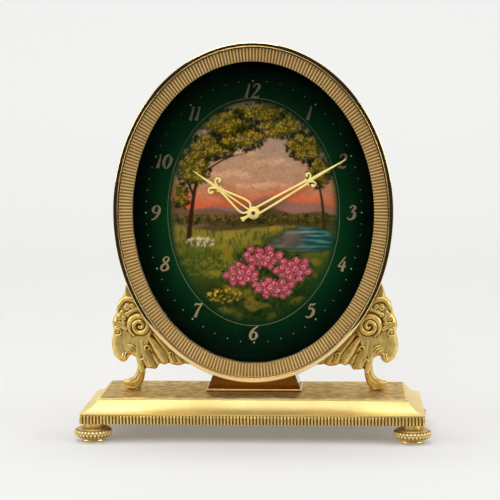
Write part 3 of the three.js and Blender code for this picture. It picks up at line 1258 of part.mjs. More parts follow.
// The holes of a plate for the arbors that pass it or run in it.
function pivotHoles(front, back) {
  const small = [THIRD, FOURTH, ESCAPE, PALLET, BALANCE];
  const pivots = small.map((at) => [at, ARBOR_RADIUS]);
  pivots.push([CENTRE, CENTRE_ARBOR_RADIUS], [BARREL, BARREL_ARBOR_RADIUS]);
  return pivots.map(([at, radius]) => {
    return barY(radius + RUNNING_GAP, at.x, at.z, front - OVERCUT, back + OVERCUT, PIVOT_SIDES);
  });
}

// The oval front plate, which rests on the ledge of the case and carries the pillars.
function frontPlate() {
  const edge = CASE_BORE - OVAL_FIT;
  const plate = ovalDisc([[edge, FRONT_PLATE_FRONT], [edge, FRONT_PLATE_BACK]]);
  const middle = (FRONT_PLATE_FRONT + FRONT_PLATE_BACK) / 2;
  const pillars = PILLARS.map(([x, z]) => {
    return barY(PILLAR_RADIUS, x, CASE_Z + z, middle, BACK_PLATE_FRONT - REST_GAP, 8);
  });
  const stud = barY(MINUTE_STUD_RADIUS, MINUTE_WHEEL.x, MINUTE_WHEEL.z, HOUR_LEVEL, middle, 10);
  return cut(join(plate, stud, ...pillars), ...pivotHoles(FRONT_PLATE_FRONT, FRONT_PLATE_BACK));
}

// The back plate, on the pillars, with the stud of the click.
function backPlate() {
  const corners = [
    [-PLATE_LEFT, -PLATE_BELOW],
    [PLATE_RIGHT, -PLATE_BELOW],
    [PLATE_RIGHT, PLATE_ABOVE],
    [-PLATE_LEFT, PLATE_ABOVE],
  ];
  const shape = new THREE.Shape();
  corners.forEach(([x, z], i) => {
    const cx = x - Math.sign(x) * PLATE_CORNER;
    const cz = CASE_Z + z - Math.sign(z) * PLATE_CORNER;
    const start = Math.PI + (i * Math.PI) / 2;
    shape.absarc(cx, cz, PLATE_CORNER, start, start + Math.PI / 2);
  });
  const plate = slab(shape, BACK_PLATE_FRONT, BACK_PLATE_BACK, 2);
  const middle = (BACK_PLATE_FRONT + BACK_PLATE_BACK) / 2;
  const stud = barY(CLICK_STUD_RADIUS, CLICK.x, CLICK.z, middle, REAR_LEVEL + WHEEL_THICKNESS, 10);
  return cut(join(plate, stud), ...pivotHoles(BACK_PLATE_FRONT, BACK_PLATE_BACK));
}

const COCK_FOOT = beyond(BALANCE, BALANCE_RADIUS + COCK_FOOT_OUT, COCK_ANGLE);

// The cock over the balance: a foot on the back plate and an arm to the staff.
function balanceCock() {
  const staff = [BALANCE.x, BALANCE.z];
  const arm = strip([COCK_FOOT.x, COCK_FOOT.z], staff, 2 * COCK_HALF_WIDTH, COCK_HALF_WIDTH);
  const bossBack = COCK_BACK + LEVEL_GAP + WHEEL_THICKNESS;
  const cock = join(
    slab(arm, COCK_FRONT, COCK_BACK),
    barY(COCK_HALF_WIDTH, COCK_FOOT.x, COCK_FOOT.z, BACK_PLATE_BACK + REST_GAP, COCK_BACK, 16),
    barY(COCK_HALF_WIDTH, ...staff, COCK_FRONT, COCK_BACK, 16),
    barY(COCK_BOSS_RADIUS, ...staff, COCK_FRONT, bossBack, 12),
  );
  return cut(cock, barY(ARBOR_RADIUS + RUNNING_GAP, ...staff, COCK_FRONT - OVERCUT, bossBack + OVERCUT, 10));
}

// The index that shifts the rate, a ring on the cock's boss with a long pointer.
function regulatorLever() {
  const front = COCK_BACK + SEAT_GAP;
  const back = front + WHEEL_THICKNESS;
  const staff = [BALANCE.x, BALANCE.z];
  const end = beyond(BALANCE, REGULATOR_LENGTH, REGULATOR_ANGLE);
  const ring = slab(disc(COCK_BOSS_RADIUS + REGULATOR_RING, ...staff), front, back, 8);
  const pointer = slab(strip(staff, [end.x, end.z], REGULATOR_WIDTH, REGULATOR_TIP), front, back);
  const bore = COCK_BOSS_RADIUS + RUNNING_GAP;
  return cut(join(ring, pointer), barY(bore, ...staff, front - OVERCUT, back + OVERCUT, 12));
}

// A bent, tapered limb through stations of [x, z, half-width, half-thickness], as a smooth tube.
function limb(stations, rings, sides, y = 0) {
  const path = new THREE.CatmullRomCurve3(stations.map(([x, z]) => new THREE.Vector3(x, y, z)));
  const halves = stations.map(([, , wide, thick]) => new THREE.Vector3(wide, thick, 0));
  const sizes = new THREE.CatmullRomCurve3(halves);
  const across = new THREE.Vector3(0, 1, 0);
  const loops = [];
  for (let i = 0; i < rings; i += 1) {
    const t = i / (rings - 1);
    const middle = path.getPoint(t);
    const size = sizes.getPoint(t);
    const side = new THREE.Vector3().crossVectors(path.getTangent(t), across).normalize();
    loops.push(
      Array.from({ length: sides }, (_, k) => {
        const turn = (2 * Math.PI * k) / sides;
        const point = middle.clone().addScaledVector(side, size.x * Math.cos(turn));
        return point.addScaledVector(across, size.y * Math.sin(turn));
      }),
    );
  }
  return loft(loops);
}

// Stations given from the bracket's anchor on the oval.
function fromAnchor(stations) {
  return stations.map(([x, z, ...sizes]) => [BRACKET_ANCHOR.x + x, BRACKET_ANCHOR.z + z, ...sizes]);
}

// How far the leaf reaches out from the oval, from its upper tip (0) to its lower tip (1).
function leafReach(share) {
  const swell = Math.sin(Math.PI * share ** 0.92) ** 0.8;
  const scallop = 1 - LEAF_LOBE_DEPTH * Math.abs(Math.cos(LEAF_LOBES * Math.PI * share));
  return LEAF_TIP + (LEAF_REACH - LEAF_TIP) * swell * scallop;
}

function leafAngle(share) {
  return ((LEAF_TOP_ANGLE + (LEAF_BOTTOM_ANGLE - LEAF_TOP_ANGLE) * share) * Math.PI) / 180;
}

// A point at a distance square off the oval, at a share of the leaf's length.
function offOval(share, distance) {
  const angle = leafAngle(share);
  const foot = ovalPoint(0, angle, 0);
  const square = new THREE.Vector3(Math.cos(angle) / OVAL_A, 0, Math.sin(angle) / OVAL_B).normalize();
  return foot.addScaledVector(square, distance);
}

// The acanthus leaf that lies along the underside of the oval.
function leafBody() {
  const rings = [];
  for (let i = 0; i <= LEAF_STEPS; i += 1) {
    const share = i / LEAF_STEPS;
    const reach = leafReach(share);
    const middle = offOval(share, (reach - LEAF_SINK) / 2);
    const out = offOval(share, reach).sub(middle);
    const thick = LEAF_EDGE_HALF + (LEAF_HALF_THICKNESS - LEAF_EDGE_HALF) * Math.sin(Math.PI * share);
    rings.push(
      Array.from({ length: LEAF_SIDES }, (_, k) => {
        const turn = (2 * Math.PI * (k + 0.5)) / LEAF_SIDES;
        const point = middle.clone().addScaledVector(out, Math.cos(turn));
        point.y = thick * Math.sin(turn);
        return point;
      }),
    );
  }
  return loft(rings);
}

// One finger of the acanthus, a rib that hangs from under the horn down to the leaf's lower edge.
function leafFinger(share, side) {
  const top = [FINGER_TOP_X * (2 * share - 1), FINGER_TOP_Z - FINGER_SPAN * share];
  const bottom = [FINGER_BOTTOM_X * (1 - share), FINGER_BOTTOM_Z - FINGER_FALL * share];
  const stations = FINGER_SIZES.map(([part, size]) => {
    const x = top[0] + (bottom[0] - top[0]) * part;
    return [x, top[1] + (bottom[1] - top[1]) * part, size, size * FINGER_FLATNESS];
  });
  return limb(fromAnchor(stations), 4, 5, side * FINGER_LIFT);
}

// The ram's horn: a tapered tube that winds back from the crown in a flat spiral.
function horn(side) {
  const loops = [];
  for (let i = 0; i <= HORN_STEPS; i += 1) {
    const share = i / HORN_STEPS;
    const turn = (HORN_START * Math.PI) / 180 + 2 * Math.PI * HORN_TURNS * share;
    const radius = HORN_RADIUS * (1 - HORN_COIL * share);
    const thick = HORN_THICKNESS - HORN_TAPER * share;
    const spoke = new THREE.Vector3(Math.cos(turn), 0, Math.sin(turn));
    const middle = BRACKET_ANCHOR.clone().addScaledVector(spoke, radius);
    middle.add(new THREE.Vector3(HORN_X, side * (HORN_Y + HORN_SPLAY * share), HORN_Z));
    loops.push(
      Array.from({ length: HORN_SIDES }, (_, k) => {
        const around = (2 * Math.PI * k) / HORN_SIDES;
        const point = middle.clone().addScaledVector(spoke, thick * Math.cos(around));
        point.y += thick * Math.sin(around);
        return point;
      }),
    );
  }
  return loft(loops);
}

// The bracket on the right: leaf, neck, head with horns, ears and eyes, and the curled leg.
function ramBracket() {
  const head = limb(fromAnchor(HEAD_STATIONS), 6, 8);
  const neck = limb(fromAnchor(NECK_STATIONS), 5, 5);
  const legStations = LEG_STATIONS.map(([x, height, ...sizes]) => {
    return [BRACKET_ANCHOR.x + x, BASE_TOP + height, ...sizes];
  });
  const pieces = [leafBody(), head, neck, limb(legStations, 8, 6)];
  for (const side of [-1, 1]) {
    pieces.push(horn(side), limb(fromAnchor(EAR_STATIONS), 3, 4, side * EAR_Y));
    const eye = new THREE.IcosahedronGeometry(EYE_RADIUS, 0);
    pieces.push(eye.translate(BRACKET_ANCHOR.x + EYE_X, side * EYE_Y, BRACKET_ANCHOR.z + EYE_Z));
    for (let i = 0; i < LEAF_FINGERS; i += 1) {
      pieces.push(leafFinger(i / (LEAF_FINGERS - 1), side));
    }
  }
  const floor = box(BASE_WIDTH, BASE_DEPTH, 0, BASE_TOP + REST_GAP);
  const screwTop = BASE_SCREW_TOP + SCREW_GAP;
  const screwHole = barZ(SCREW_HOLE_RADIUS, BRACKET_SCREW_X, 0, 0, screwTop, 8);
  return cut(join(...pieces), caseSeat(), floor, screwHole);
}

// The same geometry on the other side of the middle plane.
function mirrored(geometry) {
  const other = geometry.clone().scale(-1, 1, 1);
  const index = other.index.array;
  for (let i = 0; i < index.length; i += 3) {
    [index[i + 1], index[i + 2]] = [index[i + 2], index[i + 1]];
  }
  return other;
}

// Base
addPiece("base_plinth", basePlinth(), SATIN_GILT);
addPiece("fluted_band", flutedBand(), GILT);
addPiece("base_bottom_plate", baseBottomPlate(), BRASS);
for (const [name, x, y] of FEET) addPiece(`foot_${name}`, foot(x, y), GILT);
for (const [name, x, y] of BASE_SCREWS) addPiece(name, baseScrew(x, y), STEEL);
addPiece("pedestal_block", pedestalBlock(), AMBER_GILT);

// Brackets
const bracket = ramBracket();
addPiece("ram_bracket_right", bracket, MATT_GILT);
addPiece("ram_bracket_left", mirrored(bracket), MATT_GILT);

// Case
addPiece("case_body", caseBody(), GILT);
addPiece("case_screw_left", caseScrew(-CASE_SCREW_X), STEEL);
addPiece("case_screw_right", caseScrew(CASE_SCREW_X), STEEL);
addPiece("bezel_rim", bezelRim(), GILT);
addPiece("bezel_flute_ring", bezelFluteRing(), GILT);
addPiece("crystal", crystal(), GLASS);
addPiece("crystal_gasket", crystalGasket(), RUBBER);
addPiece("sight_ring", sightRing(), GILT);
addPiece("dial_plate", dialPlate(), ENAMEL);
addPiece("rear_cover", rearCover(), BRASS);

// Hands and motion work
addPiece("minute_hand", minuteHand(), GILT);
addPiece("hour_hand", hourHand(), GILT);
addPiece("hand_nut", handNut(), GILT);
addPiece("centre_arbor", centreArbor(), STEEL);
addPiece("minute_wheel", minuteWheel(), BRASS);
addPiece("hour_wheel", hourWheel(), BRASS);
addPiece("set_knob", setKnob(), BRASS);

// Movement
addPiece("front_plate", frontPlate(), BRASS);
addPiece("back_plate", backPlate(), BRASS);
addPiece("barrel_drum", barrelDrum(), BRASS);
addPiece("barrel_lid", barrelLid(), BRASS);
addPiece("mainspring", mainspring(), STEEL);
addPiece("barrel_arbor", barrelArbor(), STEEL);
addPiece("ratchet_wheel", ratchetWheel(), STEEL);
addPiece("click", click(), STEEL);
addPiece("click_spring", clickSpring(), STEEL);
addPiece("winding_key", windingKey(), BRASS);
addPiece("centre_wheel", centreWheel(), BRASS);
addPiece("third_wheel", thirdWheel(), BRASS);
addPiece("fourth_wheel", fourthWheel(), BRASS);
addPiece("escape_wheel", escapeWheel(), BRASS);
addPiece("pallet_lever", palletLever(), STEEL);
addPiece("balance_wheel", balanceWheel(), BRASS);
addPiece("hairspring", hairspring(), STEEL);
addPiece("balance_cock", balanceCock(), BRASS);
addPiece("regulator_lever", regulatorLever(), STEEL);

export default clock;
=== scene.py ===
"""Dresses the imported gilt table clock: smooth cast and turned surfaces, enamelled dial, materials and studio.

Every piece is worked out in millimetres in the clock's own frame (+Z up, dial towards -Y) and written to its
mesh in metres, so it lies where the CAD node that it stands for lies.
"""

import json
import logging
from dataclasses import dataclass, field
from enum import Enum
from typing import Iterable, Sequence

import bmesh
import bpy
import numpy as np
from mathutils import Matrix, Vector


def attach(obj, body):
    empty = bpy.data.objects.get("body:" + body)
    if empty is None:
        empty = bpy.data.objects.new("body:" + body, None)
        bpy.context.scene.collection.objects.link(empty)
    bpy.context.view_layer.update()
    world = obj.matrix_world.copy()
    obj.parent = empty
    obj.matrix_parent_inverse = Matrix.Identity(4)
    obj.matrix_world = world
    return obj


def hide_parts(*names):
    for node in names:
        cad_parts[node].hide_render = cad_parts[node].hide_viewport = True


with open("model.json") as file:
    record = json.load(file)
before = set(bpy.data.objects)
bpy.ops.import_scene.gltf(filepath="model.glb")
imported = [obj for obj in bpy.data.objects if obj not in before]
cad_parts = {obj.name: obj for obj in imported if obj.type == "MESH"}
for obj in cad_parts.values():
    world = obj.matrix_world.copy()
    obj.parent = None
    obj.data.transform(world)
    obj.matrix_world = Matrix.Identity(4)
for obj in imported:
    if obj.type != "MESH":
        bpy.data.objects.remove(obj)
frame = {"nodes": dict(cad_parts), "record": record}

LOG = logging.getLogger("clock")
METRE = 0.001
TURN = 2.0 * np.pi
TINY = 1e-9
BOTH_SIDES = (-1.0, 1.0)
Array = np.ndarray
Material = bpy.types.Material
Object = bpy.types.Object
Socket = bpy.types.NodeSocket
Stations = Sequence[Sequence[float]]
Pair = tuple[float, float]
Triple = tuple[float, float, float]


class Body(str, Enum):
    """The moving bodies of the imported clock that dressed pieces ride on."""

    STAND = "stand"
    MINUTE = "minute_hand_group"
    HOUR = "hour_hand_group"
    WINDING = "winding_group"


class Slot(str, Enum):
    """The record's material slots that dressed pieces belong to."""

    GILT = "gilt"
    MATT_GILT = "matt_gilt"
    SATIN_GILT = "satin_gilt"
    AMBER_GILT = "amber_gilt"
    BRASS = "brass"
    STEEL = "steel"
    GLASS = "glass"
    ENAMEL = "enamel"


@dataclass(frozen=True)
class Layout:
    """Sizes that several pieces share, in millimetres, as the CAD part has them."""

    base_width: float = 170.0
    base_depth: float = 66.0
    foot_height: float = 9.25
    band_top: float = 13.65
    cove_top: float = 20.65
    base_top: float = 21.05
    cove_inset: float = 8.0
    oval_a: float = 69.7
    oval_b: float = 84.8
    centre_z: float = 111.45
    bezel_front: float = -12.2
    rim_back: float = -7.6
    case_rear: float = 20.0
    cover_back: float = 21.5
    dial_front: float = -3.0
    key_x: float = -3.657
    key_z: float = 90.71


LAYOUT = Layout()


@dataclass
class Surface:
    """A mesh under way: points in millimetres and faces of three or more corners."""

    points: Array
    faces: list[Array] = field(default_factory=list)

    def __add__(self, other: "Surface") -> "Surface":
        """Both surfaces as one, with the second one's corners counted on."""
        shifted = [face + len(self.points) for face in other.faces]
        return Surface(np.vstack([self.points, other.points]), self.faces + shifted)

    def moved(self, x: float = 0.0, y: float = 0.0, z: float = 0.0) -> "Surface":
        """The surface shifted by x, y and z."""
        return Surface(self.points + np.array([x, y, z]), list(self.faces))

    def mirrored(self, axis: int = 0) -> "Surface":
        """The surface on the other side of the plane square to an axis, its faces turned back outward."""
        flipped = [face[:, ::-1] for face in self.faces]
        return Surface(self.points * (1.0 - 2.0 * np.eye(3)[axis]), flipped)

    def turned(self, degrees: float) -> "Surface":
        """The surface turned about the line along Y through the dial's centre.

        Args:
            degrees: Angle, clockwise as seen from the front.

        Returns:
            The turned surface.
        """
        angle = np.radians(degrees)
        x, y, z = self.points.T
        dz = z - LAYOUT.centre_z
        turned_x = x * np.cos(angle) + dz * np.sin(angle)
        turned_z = LAYOUT.centre_z - x * np.sin(angle) + dz * np.cos(angle)
        return Surface(stacked(turned_x, y, turned_z), list(self.faces))


def merged(surfaces: Iterable[Surface]) -> Surface:
    """All the surfaces as one, in order."""
    return sum(surfaces, Surface(np.empty((0, 3))))


def stacked(*coordinates: Array | float) -> Array:
    """Points from their coordinates, each an array or a number that is spread to the others' shape."""
    return np.stack(np.broadcast_arrays(*coordinates), axis=-1)


def unit(vectors: Array) -> Array:
    """The vectors at length one."""
    return vectors / (np.linalg.norm(vectors, axis=1, keepdims=True) + TINY)


def steps(count: int) -> Array:
    """Even angles round a circle in radians; the last one stops short, so that a wrapped grid closes."""
    return np.linspace(0.0, TURN, count, endpoint=False)


def on_oval(offset: Array | float, angle: Array) -> tuple[Array, Array]:
    """X and Z on the case's oval, both of its half-axes grown by an offset."""
    x = (LAYOUT.oval_a + offset) * np.cos(angle)
    return x, LAYOUT.centre_z + (LAYOUT.oval_b + offset) * np.sin(angle)


def grid(points: Array, wrap_rows: bool = False, wrap_columns: bool = False, capped: bool = False) -> Surface:
    """Skins a grid of points with quads.

    Each cell joins a point to its neighbours in the next row and column; a wrapped direction joins its last
    line to its first, and a cap closes the first and last row with a fan about the row's mean point.

    Args:
        points: Array of rows by columns by three.
        wrap_rows: Whether the last row meets the first.
        wrap_columns: Whether the last column meets the first.
        capped: Whether the first and last rows are closed.

    Returns:
        The skinned surface.
    """
    rows, columns = points.shape[:2]
    total = rows * columns
    index = np.arange(total).reshape(rows, columns)
    index = np.vstack([index, index[:1]]) if wrap_rows else index
    index = np.hstack([index, index[:, :1]]) if wrap_columns else index
    corners = [index[:-1, :-1], index[1:, :-1], index[1:, 1:], index[:-1, 1:]]
    quads = np.stack(corners, axis=-1).reshape(-1, 4)
    flat = points.reshape(-1, 3)
    if not capped:
        return Surface(flat, [quads])
    ends = np.stack([points[0].mean(axis=0), points[-1].mean(axis=0)])
    first, last = index[0], index[-1]
    fans = [stacked(first[:-1], first[1:], total), stacked(last[1:], last[:-1], total + 1)]
    return Surface(np.vstack([flat, ends]), [quads, *fans])


def tubular(points: Array) -> Surface:
    """Skins a grid that closes on itself in both directions."""
    return grid(points, wrap_rows=True, wrap_columns=True)


def closed(rings: Array) -> Surface:
    """Skins rings of points and closes both ends."""
    return grid(rings, wrap_columns=True, capped=True)


def backed(points: Array) -> Surface:
    """Skins a grid of points and closes it behind.

    Args:
        points: Array of rows by columns by three, whose border lies in one plane.

    Returns:
        The skinned grid with one more face that runs round its border.
    """
    rows, columns = points.shape[:2]
    index = np.arange(rows * columns).reshape(rows, columns)
    border = np.concatenate([index[0, :-1], index[:-1, -1], index[-1, :0:-1], index[:0:-1, 0]])
    return grid(points) + Surface(np.empty((0, 3)), [border[None] - rows * columns])


def rounded_square(u: Array, v: Array) -> tuple[Array, Array]:
    """Bends a square to a disc: u times the root of 1 - v squared / 2, and the same with the two changed."""
    return u * np.sqrt(1.0 - v**2 / 2), v * np.sqrt(1.0 - u**2 / 2)


def smoothed(points: Stations, count: int) -> Array:
    """A smooth curve: each stretch between control points is a cubic led by the four nearest ones.

    Args:
        points: Control points, each with any number of coordinates.
        count: Number of points on the curve.

    Returns:
        Array of count by coordinates.
    """
    control = np.asarray(points, dtype=float)
    padded = np.vstack([2 * control[0] - control[1], control, 2 * control[-1] - control[-2]])
    place = np.linspace(0.0, len(control) - 1.0, count)
    cell = np.minimum(place.astype(int), len(control) - 2)
    t = (place - cell)[:, None]
    a, b, c, d = (padded[cell + k] for k in range(4))
    return 0.5 * (2 * b + (c - a) * t + (2 * a - 5 * b + 4 * c - d) * t**2 + (3 * b - a - 3 * c + d) * t**3)


def oval_sweep(section: Array, count: int) -> Surface:
    """Carries a closed section of offsets and depths round the oval, in a number of steps."""
    x, z = on_oval(section[:, :1], steps(count))
    return tubular(stacked(x, section[:, 1:2], z))


def lathe(profile: Array, count: int) -> Surface:
    """Turns a profile of radius and height about the Z axis in a number of steps, closed at both ends."""
    return turned_rings(profile[:, :1], profile[:, 1:2], steps(count))


def turned_rings(radius: Array, height: Array, angle: Array) -> Surface:
    """Rings of points about the Z axis, with radii by rows and angles, closed at both ends."""
    return closed(stacked(radius * np.cos(angle), radius * np.sin(angle), height))


def along_y(surface: Surface, x: float, z: float) -> Surface:
    """Lays the axis of a surface turned about Z along Y, through x and z, with its height as depth."""
    p = surface.points
    return Surface(stacked(p[:, 0] + x, p[:, 2], z - p[:, 1]), list(surface.faces))


def tube(path: Array, half: Array, sides: int) -> Surface:
    """A limb of oval section along a path that stays at about one depth.

    At each path point the section is a ring: half-width times the cosine along the sideways direction, square
    to the path and to Y, and half-thickness times the sine along the direction square to both.

    Args:
        path: Array of points by three.
        half: Array of points by half-width and half-thickness.
        sides: Points round the section.

    Returns:
        The limb, closed at both ends.
    """
    tangent = np.gradient(path, axis=0)
    side = unit(np.cross(tangent, np.array([0.0, 1.0, 0.0])))
    up = unit(np.cross(side, tangent))
    angle = steps(sides)
    ring = side[:, None] * (half[:, :1] * np.cos(angle))[..., None]
    ring = ring + up[:, None] * (half[:, 1:2] * np.sin(angle))[..., None]
    return closed(path[:, None] + ring)


def strip(
    stations: Stations, depth: float, thickness: float | None, count: int, sides: int, least: float = 0.0
) -> Surface:
    """A domed strip at one depth along a smooth curve.

    Args:
        stations: Control points of x, z and half-width.
        depth: Its place along Y.
        thickness: Half its thickness along Y, or None for a round section.
        count: Points along it.
        sides: Points round its section.
        least: Least half-width.

    Returns:
        The strip, closed at both ends.
    """
    path = smoothed(stations, count)
    half = np.maximum(path[:, 2], least)
    sizes = stacked(half, half if thickness is None else thickness)
    return tube(stacked(path[:, 0], depth, path[:, 1]), sizes, sides)


def in_scene(name: str, data: bpy.types.ID) -> Object:
    """Makes a new object of the scene.

    Args:
        name: Its name.
        data: The mesh, lamp or camera that it holds.

    Returns:
        The new object.
    """
    made = bpy.data.objects.new(name, data)
    bpy.context.scene.collection.objects.link(made)
    return made


def add_piece(
    name: str,
    surface: Surface,
    material: Material,
    slot: Slot,
    body: Body = Body.STAND,
    replaces: Sequence[str] = (),
    crease: float = 40.0,
) -> Object:
    """slot: The record's slot that the finish belongs to; not used.
        body: The body that it rides on.
        replaces: CAD nodes that it stands for.
        crease: Edges with a sharper angle than this, in degrees, stay crisp.

    Returns:
        The new object.
    """
    mesh = bpy.data.meshes.new(name)
    counts = np.concatenate([np.full(len(face), face.shape[1]) for face in surface.faces])
    corners = np.concatenate([face.ravel() for face in surface.faces])
    starts = np.concatenate([[0], np.cumsum(counts)[:-1]])
    mesh.vertices.add(len(surface.points))
    mesh.vertices.foreach_set("co", (surface.points * METRE).astype(np.float32).ravel())
    mesh.loops.add(len(corners))
    mesh.loops.foreach_set("vertex_index", corners.astype(np.int32))
    mesh.polygons.add(len(counts))
    mesh.polygons.foreach_set("loop_start", starts.astype(np.int32))
    mesh.update(calc_edges=True)
    turned_out(mesh)
    mesh.shade_smooth()
    mesh.set_sharp_from_angle(angle=np.radians(crease))
    mesh.materials.append(material)
    piece = in_scene(name, mesh)
    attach(piece, body.value)
    if replaces:
        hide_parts(*replaces)
    LOG.info("%s: %d points, %d faces, rides on %s", name, len(surface.points), len(counts), body.value)
    return piece


def turned_out(mesh: bpy.types.Mesh) -> None:
    """Turns the faces of each closed shell outward.

    Args:
        mesh: The mesh, changed in place.
    """
    work = bmesh.new()
    work.from_mesh(mesh)
    bmesh.ops.recalc_face_normals(work, faces=work.faces)
    work.to_mesh(mesh)
    work.free()


def read_out(rows: bpy.types.bpy_prop_collection, name: str, kind: type, width: int = 1) -> Array:
    """Reads one property of all a mesh's points, edges, corners or faces.

    Args:
        rows: The mesh's points, edges, corners or faces.
        name: Name of the property.
        kind: Type of its numbers.
        width: Numbers in each row.

    Returns:
        Array of rows, or of rows by width.
    """
    values = np.empty(len(rows) * width, dtype=kind)
    rows.foreach_get(name, values)
    return values if width == 1 else values.reshape(-1, width)


def paint(piece: Object, colours: Array) -> None:
    """Stores the enamel's colour for every point of a piece.

    Args:
        piece: The piece.
        colours: Array of points by three, linear.
    """
    full = np.ones((len(colours), 4), dtype=np.float32)
    full[:, :3] = colours
    layer = piece.data.color_attributes.new("enamel", "FLOAT_COLOR", "POINT")
    layer.data.foreach_set("color", full.ravel())


def weigh(piece: Object, hollow: Array) -> None:
    """Stores how hollow, and so how dark with painted shade, every point of a piece is."""
    layer = piece.data.attributes.new("hollow", "FLOAT", "POINT")
    layer.data.foreach_set("value", hollow.astype(np.float32))


def linear(code: str) -> Triple:
    """The linear colour of a six-digit screen colour.

    Args:
        code: Screen colour such as "c9a552".

    Returns:
        Linear red, green and blue.
    """
    screen = np.array([int(code[k : k + 2], 16) for k in (0, 2, 4)]) / 255.0
    low, high = screen / 12.92, ((screen + 0.055) / 1.055) ** 2.4
    return tuple(float(v) for v in np.where(screen <= 0.04045, low, high))


class Wiring:
    """Places and joins the nodes of one shader tree."""

    def __init__(self, tree: bpy.types.NodeTree) -> None:
        """Keeps the tree."""
        self.tree = tree

    def node(self, kind: str, settings: dict | None = None, **values: object) -> bpy.types.Node:
        """Adds a node, sets its options and fills or joins its inputs.

        Args:
            kind: The node's type, without the words every shader node's type starts with.
            settings: Options of the node itself.
            **values: Inputs by name, with _ for a space; an output socket is joined, anything else is set.

        Returns:
            The new node.
        """
        made = self.tree.nodes.new(f"ShaderNode{kind}")
        for key, value in (settings or {}).items():
            setattr(made, key, value)
        for key, value in values.items():
            self.feed(made.inputs[key.replace("_", " ")], value)
        return made

    def feed(self, socket: Socket, value: object) -> None:
        """Joins an output to a socket, or sets the socket's own value; a colour gets its fourth part.

        Args:
            socket: The input.
            value: An output socket, or a plain value.
        """
        if isinstance(value, Socket):
            self.tree.links.new(value, socket)
        elif socket.type == "RGBA" and len(value) == 3:
            socket.default_value = (*value, 1.0)
        else:
            socket.default_value = value

    def place(self) -> Socket:
        """The object's own coordinates."""
        return self.node("TexCoord").outputs["Object"]

    def stored(self, name: str, output: str) -> Socket:
        """A value that the piece stores for each point."""
        return self.node("Attribute", {"attribute_name": name}).outputs[output]

    def noise(self, vector: Socket, scale: object, detail: float) -> Socket:
        """A noise pattern's value."""
        return self.node("TexNoise", Vector=vector, Scale=scale, Detail=detail).outputs["Fac"]

    def spread(self, value: object, low: object, high: object, to_low: object, to_high: object) -> Socket:
        """A value carried from its range, low to high, to a new one, and held at the ends."""
        bounds = {"From_Min": low, "From_Max": high, "To_Min": to_low, "To_Max": to_high}
        return self.node("MapRange", Value=value, **bounds).outputs["Result"]

    def math(self, operation: str, first: object, second: object) -> Socket:
        """The result of one sum, product or choice of two values.

        Args:
            operation: The node's word for it.
            first: The first value.
            second: The second value.

        Returns:
            The result.
        """
        made = self.node("Math", {"operation": operation})
        self.feed(made.inputs[0], first)
        self.feed(made.inputs[1], second)
        return made.outputs[0]

    def weighted(self, first: object, share: float, second: object) -> Socket:
        """The sum of two values, the first one weighted by a share and the second by what is left of it."""
        rest = self.math("MULTIPLY", second, round(1.0 - share, 6))
        return self.math("ADD", self.math("MULTIPLY", first, share), rest)

    def mix(self, share: object, first: object, second: object, blend: str = "MIX") -> Socket:
        """Two colours mixed by a share.

        Args:
            share: How much of the second colour is taken.
            first: The first colour.
            second: The second colour.
            blend: The node's word for the way of mixing.

        Returns:
            The mixed colour.
        """
        made = self.node("Mix", {"data_type": "RGBA", "blend_type": blend}, Factor=share)
        ends = [socket for socket in made.inputs if socket.type == "RGBA"]
        self.feed(ends[0], first)
        self.feed(ends[1], second)
        return next(socket for socket in made.outputs if socket.type == "RGBA")

    def grey(self, value: object) -> Socket:
        """A grey of a given value."""
        return self.node("CombineColor", Red=value, Green=value, Blue=value).outputs["Color"]

    def bump(self, height: Socket, strength: float, distance: float) -> Socket:
        """The normal of a surface raised by a height."""
        return self.node("Bump", Strength=strength, Distance=distance, Height=height).outputs["Normal"]

    def either(self, share: object, first: Socket, second: Socket) -> None:
        """Sends a mix of two shaders to the material's surface.

        Args:
            share: How much of the second shader is taken.
            first: The first shader.
            second: The second shader.
        """
        both = self.node("MixShader")
        for socket, value in zip(both.inputs, (share, first, second)):
            self.feed(socket, value)
        self.feed(self.tree.nodes["Material Output"].inputs["Surface"], both.outputs["Shader"])


class Kind(str, Enum):
    """Types of a node group's sockets."""

    VECTOR = "NodeSocketVector"
    COLOUR = "NodeSocketColor"
    NUMBER = "NodeSocketFloat"


class EffectGroup:
    """A node group under way, with named sockets."""

    def __init__(self, name: str, inputs: dict[str, tuple[Kind, object]], outputs: dict[str, Kind]) -> None:
        """Makes the empty group.

        Args:
            name: Name of the group.
            inputs: Socket type and default value by name; the place on the object is always the first.
            outputs: Socket type by name.
        """
        self.tree = bpy.data.node_groups.new(name, "ShaderNodeTree")
        self.tree.interface.new_socket("Vector", in_out="INPUT", socket_type=Kind.VECTOR.value)
        for key, (kind, value) in inputs.items():
            socket = self.tree.interface.new_socket(key, in_out="INPUT", socket_type=kind.value)
            socket.default_value = value
        for key, kind in outputs.items():
            self.tree.interface.new_socket(key, in_out="OUTPUT", socket_type=kind.value)
        self.given = self.tree.nodes.new("NodeGroupInput").outputs
        self.result = self.tree.nodes.new("NodeGroupOutput").inputs
        self.wiring = Wiring(self.tree)


